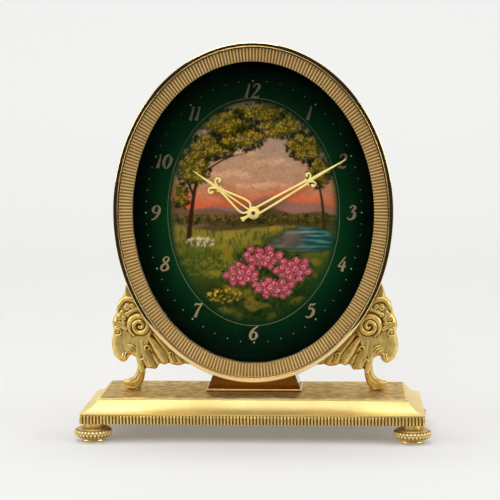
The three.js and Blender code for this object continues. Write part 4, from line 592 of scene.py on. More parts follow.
class Effects:
    """Shader node groups that several finishes share, each built once."""

    def __init__(self) -> None:
        """Builds every group."""
        self.tone = self.toning()
        self.grain = self.metal_grain()
        self.handling = self.handling_marks()

    @staticmethod
    def toning() -> bpy.types.NodeTree:
        """Cloudy toning: two noises of different size lead the colour to its shade, as does a hollow's painted
        shade.

        Returns:
            The group, which gives the toned colour.
        """
        inputs = {"Colour": (Kind.COLOUR, (0.8, 0.6, 0.3, 1.0))}
        inputs |= {"Shade": (Kind.COLOUR, (0.4, 0.25, 0.1, 1.0))}
        inputs |= {"Scale": (Kind.NUMBER, 60.0), "Amount": (Kind.NUMBER, 0.3), "Cavity": (Kind.NUMBER, 0.0)}
        group = EffectGroup("toning", inputs, {"Colour": Kind.COLOUR})
        given, wiring = group.given, group.wiring
        clouds = wiring.noise(given["Vector"], given["Scale"], 3.0)
        specks = wiring.noise(given["Vector"], wiring.math("MULTIPLY", given["Scale"], 14.0), 5.0)
        both = wiring.weighted(clouds, 0.65, specks)
        share = wiring.math("MULTIPLY", wiring.spread(both, 0.38, 0.66, 0.0, 1.0), given["Amount"])
        # painted shade: the stored hollow darkens the colour
        deep = wiring.math("MAXIMUM", share, given["Cavity"])
        wiring.feed(group.result["Colour"], wiring.mix(deep, given["Colour"], given["Shade"]))
        return group.tree

    @staticmethod
    def metal_grain() -> bpy.types.NodeTree:
        """Fine metal grain: noise stretched along one axis.

        Returns:
            The group, which gives the grain as a height and as a share from 0 to 1.
        """
        inputs = {"Stretch": (Kind.VECTOR, (1.0, 1.0, 1.0)), "Scale": (Kind.NUMBER, 2500.0)}
        group = EffectGroup("metal grain", inputs, {"Height": Kind.NUMBER, "Share": Kind.NUMBER})
        given, wiring = group.given, group.wiring
        stretched = wiring.node("VectorMath", {"operation": "MULTIPLY"})
        wiring.feed(stretched.inputs[0], given["Vector"])
        wiring.feed(stretched.inputs[1], given["Stretch"])
        grains = wiring.noise(stretched.outputs["Vector"], given["Scale"], 3.0)
        wiring.feed(group.result["Height"], grains)
        wiring.feed(group.result["Share"], wiring.spread(grains, 0.3, 0.7, 0.0, 1.0))
        return group.tree

    @staticmethod
    def handling_marks() -> bpy.types.NodeTree:
        """Marks of handling: soft smears and hair scratches that change how clearly a surface reflects.

        Returns:
            The group, which gives the roughness.
        """
        inputs = {"Low": (Kind.NUMBER, 0.15), "High": (Kind.NUMBER, 0.3)}
        group = EffectGroup("handling marks", inputs, {"Roughness": Kind.NUMBER})
        given, wiring = group.given, group.wiring
        smears = wiring.noise(given["Vector"], 55.0, 3.0)
        long = wiring.node("Mapping", Vector=given["Vector"], Scale=(14.0, 0.6, 3.0))
        hairs = wiring.noise(long.outputs["Vector"], 420.0, 2.0)
        share = wiring.weighted(smears, 0.7, hairs)
        rough = wiring.spread(share, 0.35, 0.65, given["Low"], given["High"])
        wiring.feed(group.result["Roughness"], rough)
        return group.tree


EFFECTS = Effects()


class Finish:
    """What every finish shares: a new material with its principled shader and coordinates."""

    name: str

    def start(self) -> tuple[Material, Wiring, bpy.types.bpy_prop_collection, Socket]:
        """Begins a material.

        Returns:
            The material, its wiring, the inputs of its principled shader and the object coordinates.
        """
        material = bpy.data.materials.new(self.name)
        material.use_nodes = True
        wiring = Wiring(material.node_tree)
        return material, wiring, material.node_tree.nodes["Principled BSDF"].inputs, wiring.place()

    @staticmethod
    def use(wiring: Wiring, tree: bpy.types.NodeTree, **values: object) -> bpy.types.Node:
        """Places an effect group and fills its inputs."""
        return wiring.node("Group", {"node_tree": tree}, **values)


@dataclass(frozen=True)
class MetalFinish(Finish):
    """A metal: toned colour, handling marks, grain, and painted shade where a piece stores its hollows."""

    name: str
    colour: Triple
    shade: Triple
    low: float
    high: float
    tone_scale: float = 45.0
    tone: float = 0.35
    grain_scale: float = 2600.0
    stretch: Triple = (1.0, 1.0, 1.0)
    depth: float = 0.00002
    strength: float = 0.25
    hollows: bool = False
    hollow_roughness: float = 0.25
    metal: float = 1.0
    edge: Triple = (1.0, 1.0, 1.0)

    def material(self) -> Material:
        """Builds the material.

        Returns:
            The metal, with colour, roughness and normal that vary over the surface.
        """
        material, wiring, shader, place = self.start()
        tone = self.use(wiring, EFFECTS.tone, Vector=place, Colour=self.colour, Shade=self.shade,
                        Scale=self.tone_scale, Amount=self.tone)
        marks = self.use(wiring, EFFECTS.handling, Vector=place, Low=self.low, High=self.high)
        rough = marks.outputs["Roughness"]
        # painted shade from the stored hollows, which also roughen the surface
        if self.hollows:
            hollow = wiring.stored("hollow", "Fac")
            wiring.feed(tone.inputs["Cavity"], hollow)
            rough = wiring.math("ADD", rough, wiring.math("MULTIPLY", hollow, self.hollow_roughness))
        grain = self.use(wiring, EFFECTS.grain, Vector=place, Stretch=self.stretch, Scale=self.grain_scale)
        wiring.feed(shader["Base Color"], tone.outputs["Colour"])
        wiring.feed(shader["Roughness"], rough)
        wiring.feed(shader["Normal"], wiring.bump(grain.outputs["Height"], self.strength, self.depth))
        wiring.feed(shader["Metallic"], self.metal)
        wiring.feed(shader["Specular Tint"], self.edge)
        return material


@dataclass(frozen=True)
class EnamelFinish(Finish):
    """Fired enamel: painted colours from the piece, a faint speckle and a soft shine."""

    name: str
    roughness: float
    speckle: float
    smear: float = 0.06
    brush_scale: float = 2100.0
    grain_scale: float = 600.0
    depth: float = 0.00005
    strength: float = 0.08
    shine: float = 0.04

    def material(self) -> Material:
        """Builds the material.

        Returns:
            Enamel whose colour comes from the piece's painted attribute.
        """
        material, wiring, shader, place = self.start()
        brush = wiring.noise(place, self.brush_scale, 4.0)
        tint = wiring.grey(wiring.spread(brush, 0.35, 0.65, 1.0 - self.speckle, 1.0 + self.speckle))
        low, high = self.roughness - self.smear, self.roughness + self.smear
        marks = self.use(wiring, EFFECTS.handling, Vector=place, Low=low, High=high)
        grain = self.use(wiring, EFFECTS.grain, Vector=place, Scale=self.grain_scale)
        wiring.feed(shader["Base Color"], wiring.mix(1.0, wiring.stored("enamel", "Color"), tint, "MULTIPLY"))
        wiring.feed(shader["Roughness"], marks.outputs["Roughness"])
        wiring.feed(shader["Normal"], wiring.bump(grain.outputs["Height"], self.strength, self.depth))
        wiring.feed(shader["Specular IOR Level"], self.shine)
        return material


@dataclass(frozen=True)
class GlassFinish(Finish):
    """Clear glass that lets the light of the lamps through to what lies behind it."""

    name: str
    colour: Triple = (0.97, 0.99, 0.98)
    ior: float = 1.05
    smear: float = 0.025

    def material(self) -> Material:
        """Builds the material.

        Returns:
            Glass that throws no shadow, with faint smears in its roughness.
        """
        material, wiring, shader, place = self.start()
        smears = wiring.spread(wiring.noise(place, 30.0, 3.0), 0.4, 0.7, 0.0, self.smear)
        wiring.feed(shader["Roughness"], smears)
        wiring.feed(shader["Base Color"], self.colour)
        wiring.feed(shader["Transmission Weight"], 1.0)
        wiring.feed(shader["IOR"], self.ior)
        glass = material.node_tree.nodes["Principled BSDF"].outputs["BSDF"]
        shadow = wiring.node("LightPath").outputs["Is Shadow Ray"]
        wiring.either(shadow, glass, wiring.node("BsdfTransparent").outputs["BSDF"])
        return material


@dataclass(frozen=True)
class RubberFinish(Finish):
    """Matt black rubber with a pale bloom."""

    name: str
    colour: Triple = (0.012, 0.013, 0.012)
    bloom: Triple = (0.05, 0.05, 0.047)
    low: float = 0.6
    high: float = 0.85
    depth: float = 0.00003

    def material(self) -> Material:
        """Builds the material.

        Returns:
            Rubber with a mottled colour and a pebbled surface.
        """
        material, wiring, shader, place = self.start()
        tone = self.use(wiring, EFFECTS.tone, Vector=place, Colour=self.colour, Shade=self.bloom,
                        Scale=120.0, Amount=0.6)
        grain = self.use(wiring, EFFECTS.grain, Vector=place, Scale=1800.0)
        wiring.feed(shader["Base Color"], tone.outputs["Colour"])
        wiring.feed(shader["Roughness"], wiring.spread(grain.outputs["Share"], 0.0, 1.0, self.low, self.high))
        wiring.feed(shader["Normal"], wiring.bump(grain.outputs["Height"], 0.3, self.depth))
        return material


def metal(name: str, colour: Triple, shade: Triple, low: float, high: float, **more: object) -> Material:
    """The material of one metal finish, from the finish's own fields."""
    return MetalFinish(name, colour, shade, low, high, **more).material()


class Palette:
    """The clock's finishes, each made into a material once."""

    def __init__(self) -> None:
        """Builds every material."""
        self.gilding()
        self.inner_metals()
        self.enamel = EnamelFinish("dark enamel", 0.24, 0.1).material()
        self.picture = EnamelFinish("painted enamel", 0.3, 0.16).material()
        self.glass = GlassFinish("clear glass").material()
        self.rubber = RubberFinish("black rubber").material()

    def gilding(self) -> None:
        """Builds the gilt finishes of base, brackets, bezel, hands and markings."""
        self.cove = metal(
            "brushed gilt", (0.88, 0.71, 0.3), (0.66, 0.45, 0.15), 0.4, 0.5, tone_scale=60.0, tone=0.5,
            grain_scale=1800.0, stretch=(0.25, 1.0, 1.0), depth=0.00003, strength=0.4,
        )
        self.gilt = metal("polished gilt", (0.87, 0.63, 0.26), (0.62, 0.37, 0.11), 0.22, 0.34, tone=0.3)
        # for finishes with hollows, the shade colour is also the colour of their painted shade
        self.fluting = metal(
            "fluted gilt", (0.91, 0.66, 0.28), (0.3, 0.165, 0.04), 0.26, 0.38, hollows=True, metal=0.4
        )
        self.reeding = metal("reeded gilt", (0.97, 0.72, 0.26), (0.2, 0.1, 0.012), 0.3, 0.42, hollows=True)
        self.rim = metal("bezel gilt", (0.92, 0.7, 0.34), (0.5, 0.3, 0.09), 0.04, 0.1, tone=0.25)
        self.cast = metal(
            "matt gilt casting", (1.0, 0.74, 0.25), (0.15, 0.07, 0.008), 0.35, 0.46,
            tone_scale=320.0, tone=0.4, grain_scale=3400.0, depth=0.00004, strength=0.45, hollows=True,
        )
        self.satin = metal(
            "satin gilt", (0.7, 0.53, 0.26), (0.23, 0.155, 0.06), 0.42, 0.54, edge=(0.95, 0.78, 0.52),
            tone_scale=230.0, tone=0.9, grain_scale=1300.0, stretch=(0.1, 1.4, 1.0),
            depth=0.00005, strength=0.5,
        )
        self.amber = metal("amber gilt", (0.17, 0.056, 0.006), (0.1, 0.03, 0.003), 0.06, 0.12, tone=0.4)
        self.turned = metal(
            "turned gilt", (0.93, 0.71, 0.31), (0.16, 0.09, 0.02), 0.24, 0.36, tone=0.3, hollows=True
        )
        self.hand = metal(
            "hand gilt", (1.0, 0.8, 0.27), (0.85, 0.58, 0.15), 0.18, 0.28, tone=0.25, metal=0.25
        )
        self.numeral = metal(
            "numeral gold", (0.42, 0.3, 0.165), (0.035, 0.025, 0.012), 0.3, 0.4, tone=0.35, tone_scale=220.0,
            hollows=True, metal=0.5,
        )

    def inner_metals(self) -> None:
        """Builds the silver of the dots and the brass and steel of the works."""
        self.silver = metal(
            "dot silver", (0.5, 0.55, 0.48), (0.03, 0.036, 0.032), 0.3, 0.4, tone=0.3, tone_scale=300.0,
            hollows=True, metal=0.3,
        )
        self.brass = metal(
            "lacquered brass", (0.76, 0.55, 0.2), (0.5, 0.32, 0.09), 0.22, 0.36, stretch=(1.0, 1.0, 0.1)
        )
        self.wheel = metal("wheel brass", (0.8, 0.6, 0.25), (0.55, 0.36, 0.11), 0.18, 0.3)
        self.steel = metal("polished steel", (0.55, 0.57, 0.6), (0.3, 0.31, 0.34), 0.16, 0.3)
        self.blued = metal("spring steel", (0.2, 0.24, 0.36), (0.1, 0.11, 0.17), 0.2, 0.34)


PALETTE = Palette()


def rectangle_rings(section: Array, width: float, depth: float, corner: float) -> Array:
    """Rings of points round a rectangle with slightly eased corners.

    A section point with inset i and height z becomes the rectangle's outline drawn in by i, at that height;
    each corner is a quarter circle of four points.

    Args:
        section: Array of points by inset and height.
        width: Outer size along X.
        depth: Outer size along Y.
        corner: Radius of the eased corners.

    Returns:
        Array of section points by ring points by three.
    """
    quarter = np.linspace(0.0, np.pi / 2, 4)
    turn = np.concatenate([quarter + k * np.pi / 2 for k in range(4)])
    sign_x = np.repeat([1.0, -1.0, -1.0, 1.0], len(quarter))
    sign_y = np.repeat([1.0, 1.0, -1.0, -1.0], len(quarter))
    x = (width / 2 - section[:, :1] - corner) * sign_x + corner * np.cos(turn)
    y = (depth / 2 - section[:, :1] - corner) * sign_y + corner * np.sin(turn)
    return stacked(x, y, section[:, 1:2])


@dataclass
class Plinth:
    """The top of the base: a polished concave cove under a satin plate with a thin raised panel."""

    cove_foot: float = 14.35
    cove_head: float = 20.15
    cove_sag: float = 1.2
    cove_points: int = 28
    cove_core: float = 12.0
    cove_corner: float = 0.35
    head_depth: float = 1.0
    panel_inset: float = 9.3
    panel_gap: float = 0.1
    plate_core: float = 30.0
    plate_thickness: float = 2.0
    plate_corner: float = 0.2
    ease: float = 0.15

    def cove_section(self) -> Array:
        """The cove's section.

        The hollow lies below the straight line from foot to head by four times its sag times the share along
        the line times what is left of it.

        Returns:
            Array of points by inset and height, from the inner foot round to the inner head.
        """
        share = np.linspace(0.0, 1.0, self.cove_points)
        rise = self.cove_head - self.cove_foot
        slant = np.hypot(LAYOUT.cove_inset, rise)
        sag = 4.0 * self.cove_sag * share * (1.0 - share)
        inset = LAYOUT.cove_inset * share + sag * rise / slant
        height = self.cove_foot + rise * share - sag * LAYOUT.cove_inset / slant
        low, top, edge = LAYOUT.band_top, LAYOUT.cove_top, self.panel_inset - self.panel_gap
        foot = [[self.cove_core, low], [self.ease, low], [0.0, low + self.ease]]
        foot += [[0.0, self.cove_foot - self.ease]]
        head = [[LAYOUT.cove_inset, top - self.ease], [LAYOUT.cove_inset + self.ease, top], [edge, top]]
        head += [[edge, top - self.head_depth], [self.cove_core, top - self.head_depth]]
        return np.vstack([foot, stacked(inset, height), head])

    def plate_section(self) -> Array:
        """The plate's section: its underside, its edge and the raised panel.

        Returns:
            Array of points by inset and height.
        """
        top, edge, rim = LAYOUT.base_top, self.panel_inset, self.panel_inset - self.panel_gap
        low = LAYOUT.cove_top - self.plate_thickness
        outer = [[self.plate_core, low], [rim, low], [rim, LAYOUT.cove_top]]
        outer += [[edge - self.panel_gap / 2, LAYOUT.cove_top]]
        panel = [[edge, top - self.ease], [edge + self.ease, top], [self.plate_core, top]]
        return np.array(outer + panel)

    def build(self) -> None:
        """Makes the cove and the plate."""
        size = (LAYOUT.base_width, LAYOUT.base_depth)
        cove = tubular(rectangle_rings(self.cove_section(), *size, self.cove_corner))
        add_piece("plinth_cove", cove, PALETTE.cove, Slot.SATIN_GILT, replaces=["base_plinth"], crease=30.0)
        plate = closed(rectangle_rings(self.plate_section(), *size, self.plate_corner))
        add_piece("plinth_plate", plate, PALETTE.satin, Slot.SATIN_GILT, crease=30.0)


@dataclass
class FlutedBand:
    """The reeded band round the base, with a narrow plain edge at every corner."""

    pitch: float = 1.65
    corner_strip: float = 0.4
    flute_depth: float = 0.5
    groove_share: float = 0.62
    reed_fall: float = 0.16
    wall: float = 3.0
    per_flute: int = 12
    ease: float = 0.12
    chamfer: float = 0.42

    def side(self, length: float) -> tuple[Array, Array]:
        """One side of the band.

        A reed's top is rounded beside a wider groove. With d the distance from the groove's middle as a share
        of half the pitch, the cut is its depth times 1 - d squared over the groove's share squared, to the
        power 0.6, and beyond the groove a shallow fall of the square of what is left.

        Args:
            length: Length of the side.

        Returns:
            Places along the side and how far each lies behind the outline.
        """
        count = int((length - 2 * self.corner_strip) // self.pitch)
        start = (length - count * self.pitch) / 2
        share = np.tile(np.arange(self.per_flute) / self.per_flute, count)
        along = start + (np.repeat(np.arange(count), self.per_flute) + share) * self.pitch
        away = np.abs(2.0 * share - 1.0)
        groove = np.clip(1.0 - (away / self.groove_share) ** 2, 0.0, 1.0) ** 0.6
        reed = self.reed_fall * np.clip((1.0 - away) / (1.0 - self.groove_share), 0.0, 1.0) ** 2
        depth = self.flute_depth * np.maximum(groove, reed)
        along = np.concatenate([[self.ease], along, [length - start, length - self.ease]])
        return along, np.concatenate([[0.0], depth, [0.0, 0.0]])

    def outline(self) -> tuple[Array, Array]:
        """The whole band's outline.

        Returns:
            Points by X and Y, and how far each lies behind the plain rectangle.
        """
        half_x, half_y = LAYOUT.base_width / 2, LAYOUT.base_depth / 2
        long, long_depth = self.side(LAYOUT.base_width)
        short, short_depth = self.side(LAYOUT.base_depth)
        front = stacked(long - half_x, -half_y + long_depth)
        right = stacked(half_x - short_depth, short - half_y)
        points = np.vstack([front, right, -front, -right])
        return points, np.concatenate([long_depth, short_depth, long_depth, short_depth])

    def build(self) -> None:
        """Makes the band: outer wall with a chamfered upper edge and a plain inner wall."""
        outer, depth = self.outline()
        low, high = LAYOUT.foot_height, LAYOUT.band_top
        half = np.array([LAYOUT.base_width / 2, LAYOUT.base_depth / 2])
        eased, cut = outer * (1.0 - self.ease / half), outer * (1.0 - self.chamfer / half)
        inner = np.clip(outer, -(half - self.wall), half - self.wall)
        rows = [(inner, low), (eased, low), (outer, low + self.ease)]
        rows += [(outer, high - self.chamfer), (cut, high), (inner, high)]
        band = tubular(np.stack([stacked(xy[:, 0], xy[:, 1], z) for xy, z in rows]))
        piece = add_piece(
            "reeded_band", band, PALETTE.reeding, Slot.GILT, replaces=["fluted_band"], crease=50.0
        )
        # painted shade: the grooves between the reeds darkened
        hollow = np.zeros((len(rows), len(outer)))
        hollow[2:4] = np.clip(1.6 * depth / self.flute_depth - 0.4, 0.0, 1.0)
        weigh(piece, hollow.ravel())


@dataclass
class BunFeet:
    """Four turned bun feet, each with two staggered rows of beads round its widest part."""

    inset: float = 6.2
    bun: float = 9.5
    bun_low: float = 1.75
    bun_high: float = 7.15
    neck: float = 5.4
    neck_cut: float = 0.25
    neck_rises: Triple = (8.4, 8.7, 9.1)
    disc: float = 6.2
    disc_height: float = 1.4
    disc_ease: float = 0.2
    beads: int = 30
    bead_radius: float = 0.88
    bead_rows: Pair = (3.75, 5.15)
    bead_reach: float = 1.75
    sink: float = 0.65
    fillet: float = 0.3
    fillet_away: float = 0.95
    fillet_half: float = 0.18
    shoulder: float = 0.5
    shoulder_rise: float = 0.3
    count: int = 270

    def profile(self) -> tuple[Array, Array]:
        """The plain turned profile.

        The bun is a half ellipse between its two heights, drawn in by the bead height; a narrow fillet stands
        above and below the beads.

        Returns:
            Radii and heights, from the foot's underside to the top of the neck.
        """
        turn = np.linspace(-np.pi / 2, np.pi / 2, 61)
        middle, half = (self.bun_low + self.bun_high) / 2, (self.bun_high - self.bun_low) / 2
        height = middle + half * np.sin(turn)
        radius = self.neck + (self.bun - self.sink - self.neck) * np.cos(turn) ** 0.75
        for level in (self.bead_rows[0] - self.fillet_away, self.bead_rows[1] + self.fillet_away):
            radius = radius + self.fillet * np.exp(-(((height - level) / self.fillet_half) ** 2))
        disc, rise, waist = self.disc, self.disc_height, self.neck - self.neck_cut
        low = [[0.0, 0.0], [disc - self.disc_ease, 0.0], [disc, self.disc_ease], [disc, rise - 0.25]]
        low += [[disc - 0.25, rise], [self.neck + 0.1, rise + 0.15]]
        high = [[waist, self.bun_high + 0.15], [waist, self.neck_rises[0]], [self.neck, self.neck_rises[1]]]
        high += [[self.neck, self.neck_rises[2]], [self.neck - 0.15, LAYOUT.foot_height]]
        whole = np.vstack([low, stacked(radius, height), high])
        return whole[:, 0], whole[:, 1]

    def foot(self) -> tuple[Surface, Array]:
        """One foot at the origin.

        A bead lifts the surface by the height of a ball of its radius at the distance from the bead's middle.

        Returns:
            The foot and its hollows, which carry painted shade.
        """
        radius, height = self.profile()
        angle = steps(self.count)
        lift = np.zeros((len(radius), self.count))
        pitch = TURN / self.beads
        for row, level in enumerate(self.bead_rows):
            shift = (angle + row * pitch / 2) % pitch - pitch / 2
            across = (self.bun - self.sink) * shift[None, :]
            square = across**2 + (height[:, None] - level) ** 2
            ball = np.sqrt(np.clip(1.0 - square / self.bead_radius**2, 0.0, 1.0))
            lift = np.maximum(lift, ball * self.sink)
        surface = turned_rings(radius[:, None] + lift, height[:, None], angle)
        # painted shade between the beads and on the bun's shoulder under the base
        beaded = np.abs(height - np.mean(self.bead_rows)) < self.bead_reach
        between = beaded[:, None] * (1.0 - lift / self.sink)
        shoulder = height > self.bead_rows[1] + self.bead_radius
        shoulder &= height < self.bun_high + self.shoulder_rise
        hollow = np.maximum(between, self.shoulder * shoulder[:, None])
        return surface, np.concatenate([hollow.ravel(), [0.0, 0.0]])

    def build(self) -> None:
        """Makes the four feet."""
        foot, hollow = self.foot()
        x, y = LAYOUT.base_width / 2 - self.inset, LAYOUT.base_depth / 2 - self.inset
        for row, place_y in (("front", -y), ("rear", y)):
            for side, place_x in (("left", -x), ("right", x)):
                name, placed = f"{row}_{side}", foot.moved(place_x, place_y)
                piece = add_piece(
                    f"bun_{name}", placed, PALETTE.turned, Slot.GILT, replaces=[f"foot_{name}"], crease=50.0
                )
                weigh(piece, hollow)


@dataclass
class Pedestal:
    """The polished block under the case, with a small lip at its foot."""

    half_width: float = 23.4
    slope: float = 0.3375
    slope_at: float = 21.5
    front: float = -6.0
    rear: float = 14.0
    lip: float = 0.7
    lip_height: float = 1.2
    lip_corner: float = 0.25
    lip_ease: float = 0.3
    bottom: float = 21.07
    sunk: float = 0.2
    seat: float = -0.9
    ease: float = 0.25
    line_half: float = 0.5
    line_reach: float = 0.28
    line_drop: float = 0.32

    def underside(self, x: Array | float) -> Array | float:
        """Height of the case's seat over the middle plane, from the oval with the seat's offset."""
        a, b = LAYOUT.oval_a + self.seat, LAYOUT.oval_b + self.seat
        return LAYOUT.centre_z - b * np.sqrt(1.0 - (x / a) ** 2)

    def block(self) -> Surface:
        """The tapered block: a section with the oval as its hollow top, carried from front to rear.

        Returns:
            The block, with eased front and rear edges.
        """
        start, half = self.bottom + self.lip_height, self.half_width
        top_half = half - self.slope * (float(self.underside(self.slope_at)) - start)
        arc = np.linspace(top_half, -top_half, 41)
        low = self.bottom + self.sunk
        right, left = [[half, low], [half, start]], [[-half, start], [-half, low]]
        ring = np.vstack([right, stacked(arc, self.underside(arc)), left])
        middle = np.array([0.0, start + 2.0])
        small = middle + (ring - middle) * np.array([1.0 - self.ease / half, 1.0 - self.ease / 6.0])
        rows = [(small, self.front), (ring, self.front + self.ease)]
        rows += [(ring, self.rear - self.ease), (small, self.rear)]
        return closed(np.stack([stacked(xz[:, 0], y, xz[:, 1]) for xz, y in rows]))

    def lip_rings(self, section: Array) -> Array:
        """A section of inset and height carried round the lip's outline."""
        depth = self.rear - self.front + 2 * self.lip
        return rectangle_rings(section, 2 * (self.half_width + self.lip), depth, self.lip_corner)

    def line(self) -> Surface:
        """The bright line: a half-round strip that runs round the lip just under its top.

        Returns:
            The strip.
        """
        turn = np.linspace(-np.pi / 2, np.pi / 2, 7)
        middle, half = self.bottom + self.lip_height - self.line_drop, self.line_half
        bow = stacked(0.1 - self.line_reach * np.cos(turn), middle + half * np.sin(turn))
        section = np.vstack([bow, [[0.3, middle + half], [0.3, middle - half]]])
        return tubular(self.lip_rings(section)).moved(y=(self.front + self.rear) / 2)

    def foot(self) -> Surface:
        """The lip: a low slab with an eased upper edge.

        Returns:
            The slab.
        """
        top = self.bottom + self.lip_height
        edge = [[0.0, self.bottom], [0.0, top - self.lip_ease], [self.lip_ease, top], [1.0, top]]
        slab = closed(self.lip_rings(np.array(edge)))
        return slab.moved(y=(self.front + self.rear) / 2)

    def build(self) -> None:
        """Makes the block and its lip as one piece, and the bright line round the lip's upper edge."""
        block = self.block() + self.foot()
        add_piece(
            "amber_pedestal", block, PALETTE.amber, Slot.AMBER_GILT, replaces=["pedestal_block"], crease=25.0
        )
        add_piece("pedestal_line", self.line(), PALETTE.cove, Slot.GILT, crease=50.0)


@dataclass
class Bezel:
    """The oval bezel: a polished outer rim with a fine bead, and the reeded ring inside it."""

    rim_width: float = 2.9
    rim_round: float = 1.72
    edge_round: float = 0.4
    fall: float = 0.19
    bed_depth: float = 0.3
    bead: float = 0.22
    fit: float = 0.6
    shelf: float = -9.1
    shelf_inset: float = -8.0
    rebate: float = 1.6
    rebate_ends: Pair = (-4.5, -3.1)
    flutes: int = 282
    per_flute: int = 8
    flute_width: float = 6.5
    flute_depth: float = 0.55
    ring_step: float = 0.12
    slope: float = 0.9
    ring_thickness: float = 2.0

    def rim_section(self) -> Array:
        """The rim's section: an eased outer edge, a nearly flat band, the bead's bed and the glass's shelf.

        Returns:
            Array of points by offset and depth.
        """
        front, back, edge = LAYOUT.bezel_front, LAYOUT.rim_back, self.edge_round
        crown, inner, bed = -self.rim_round, -self.rim_width + self.fit, front + self.bed_depth
        turn = np.linspace(0.0, np.pi / 2, 6)
        corner = stacked(-edge * (1 - np.cos(turn)), front + self.fall + edge * (1 - np.sin(turn)))
        band = [[-edge - 0.04, front + self.fall - 0.012], [crown + 0.1, front + 0.17]]
        band += [[crown + 0.05, front + 0.16]]
        shelf = [[crown, bed], [inner, bed], [inner, self.shelf], [self.shelf_inset, self.shelf]]
        deep, (far, near) = back + self.rebate, self.rebate_ends
        rear = [[self.shelf_inset, back], [far, deep], [near, deep], [near, back]]
        return np.vstack([[[0.0, back], [0.0, back - 0.05]], corner, band, shelf, rear])

    def bead_section(self) -> Array:
        """The bead's round section, half sunk in the rim's bed, as offsets and depths."""
        angle, middle = steps(12), -self.rim_width + self.fit + self.bead
        return stacked(middle + self.bead * np.cos(angle), LAYOUT.bezel_front + 0.22 - 0.21 * np.sin(angle))

    def even_angles(self, share: Array) -> Array:
        """Angles of the oval that stand at even shares of its length, read back from its summed-up arc.

        Args:
            share: Shares of the length.

        Returns:
            The angles in radians.
        """
        angle = np.linspace(0.0, TURN, 8193)
        middle = self.rim_width + self.flute_width / 2
        pace = np.hypot((LAYOUT.oval_a - middle) * np.sin(angle), (LAYOUT.oval_b - middle) * np.cos(angle))
        length = np.concatenate([[0.0], np.cumsum((pace[1:] + pace[:-1]) / 2)])
        return np.interp(share, length / length[-1], angle)

    def ring(self) -> tuple[Surface, Array]:
        """The reeded ring.

        Across one flute the face sinks by the flute's depth times the sine of half a turn, to the power 0.8;
        along the flute the depth fades in over a short stretch at its outer end. The hollows are painted shade:
        darker in the flutes' valleys, and darkest at their outer ends.

        Returns:
            The ring and its hollows.
        """
        share = np.tile(np.arange(self.per_flute) / self.per_flute, self.flutes)
        angle = self.even_angles((np.repeat(np.arange(self.flutes), self.per_flute) + share) / self.flutes)
        scoop = np.sin(np.pi * share) ** 0.8
        along = np.array([0.0, 0.012, 0.03, 0.055, 0.1, 0.4, 0.8, 0.97, 1.0])
        fade = np.array([0.0, 0.45, 0.85, 1.0, 1.0, 1.0, 1.0, 1.0, 1.0])
        # painted shade, darkest at the flutes' outer ends
        painted_end_shade = np.array([0.0, 0.6, 0.9, 0.8, 0.3, 0.0, 0.0, 0.0, 0.0])
        offset = -self.rim_width - self.flute_width * along
        level = LAYOUT.bezel_front + self.ring_step + (self.slope - self.ring_step) * along
        back = np.full((1, len(angle)), LAYOUT.bezel_front + self.slope + self.ring_thickness)
        depth = np.vstack([back, level[:, None] + self.flute_depth * fade[:, None] * scoop, back])
        x, z = on_oval(np.concatenate([offset[:1], offset, offset[-1:]])[:, None], angle)
        # painted shade in the flute valleys
        hollow = np.zeros(depth.shape)
        hollow[1:-1] = np.clip((1.2 * fade + painted_end_shade)[:, None] * scoop - 0.15, 0.0, 1.0)
        return tubular(stacked(x, depth, z)), hollow.ravel()

    def build(self) -> None:
        """Makes the rim, its bead and the ring."""
        rim, bead = (oval_sweep(section, 320) for section in (self.rim_section(), self.bead_section()))
        add_piece("polished_rim", rim, PALETTE.rim, Slot.GILT, replaces=["bezel_rim"], crease=35.0)
        add_piece("rim_bead", bead, PALETTE.gilt, Slot.GILT, crease=60.0)
        ring, hollow = self.ring()
        piece = add_piece(
            "reeded_ring", ring, PALETTE.fluting, Slot.GILT, replaces=["bezel_flute_ring"], crease=50.0
        )
        weigh(piece, hollow)


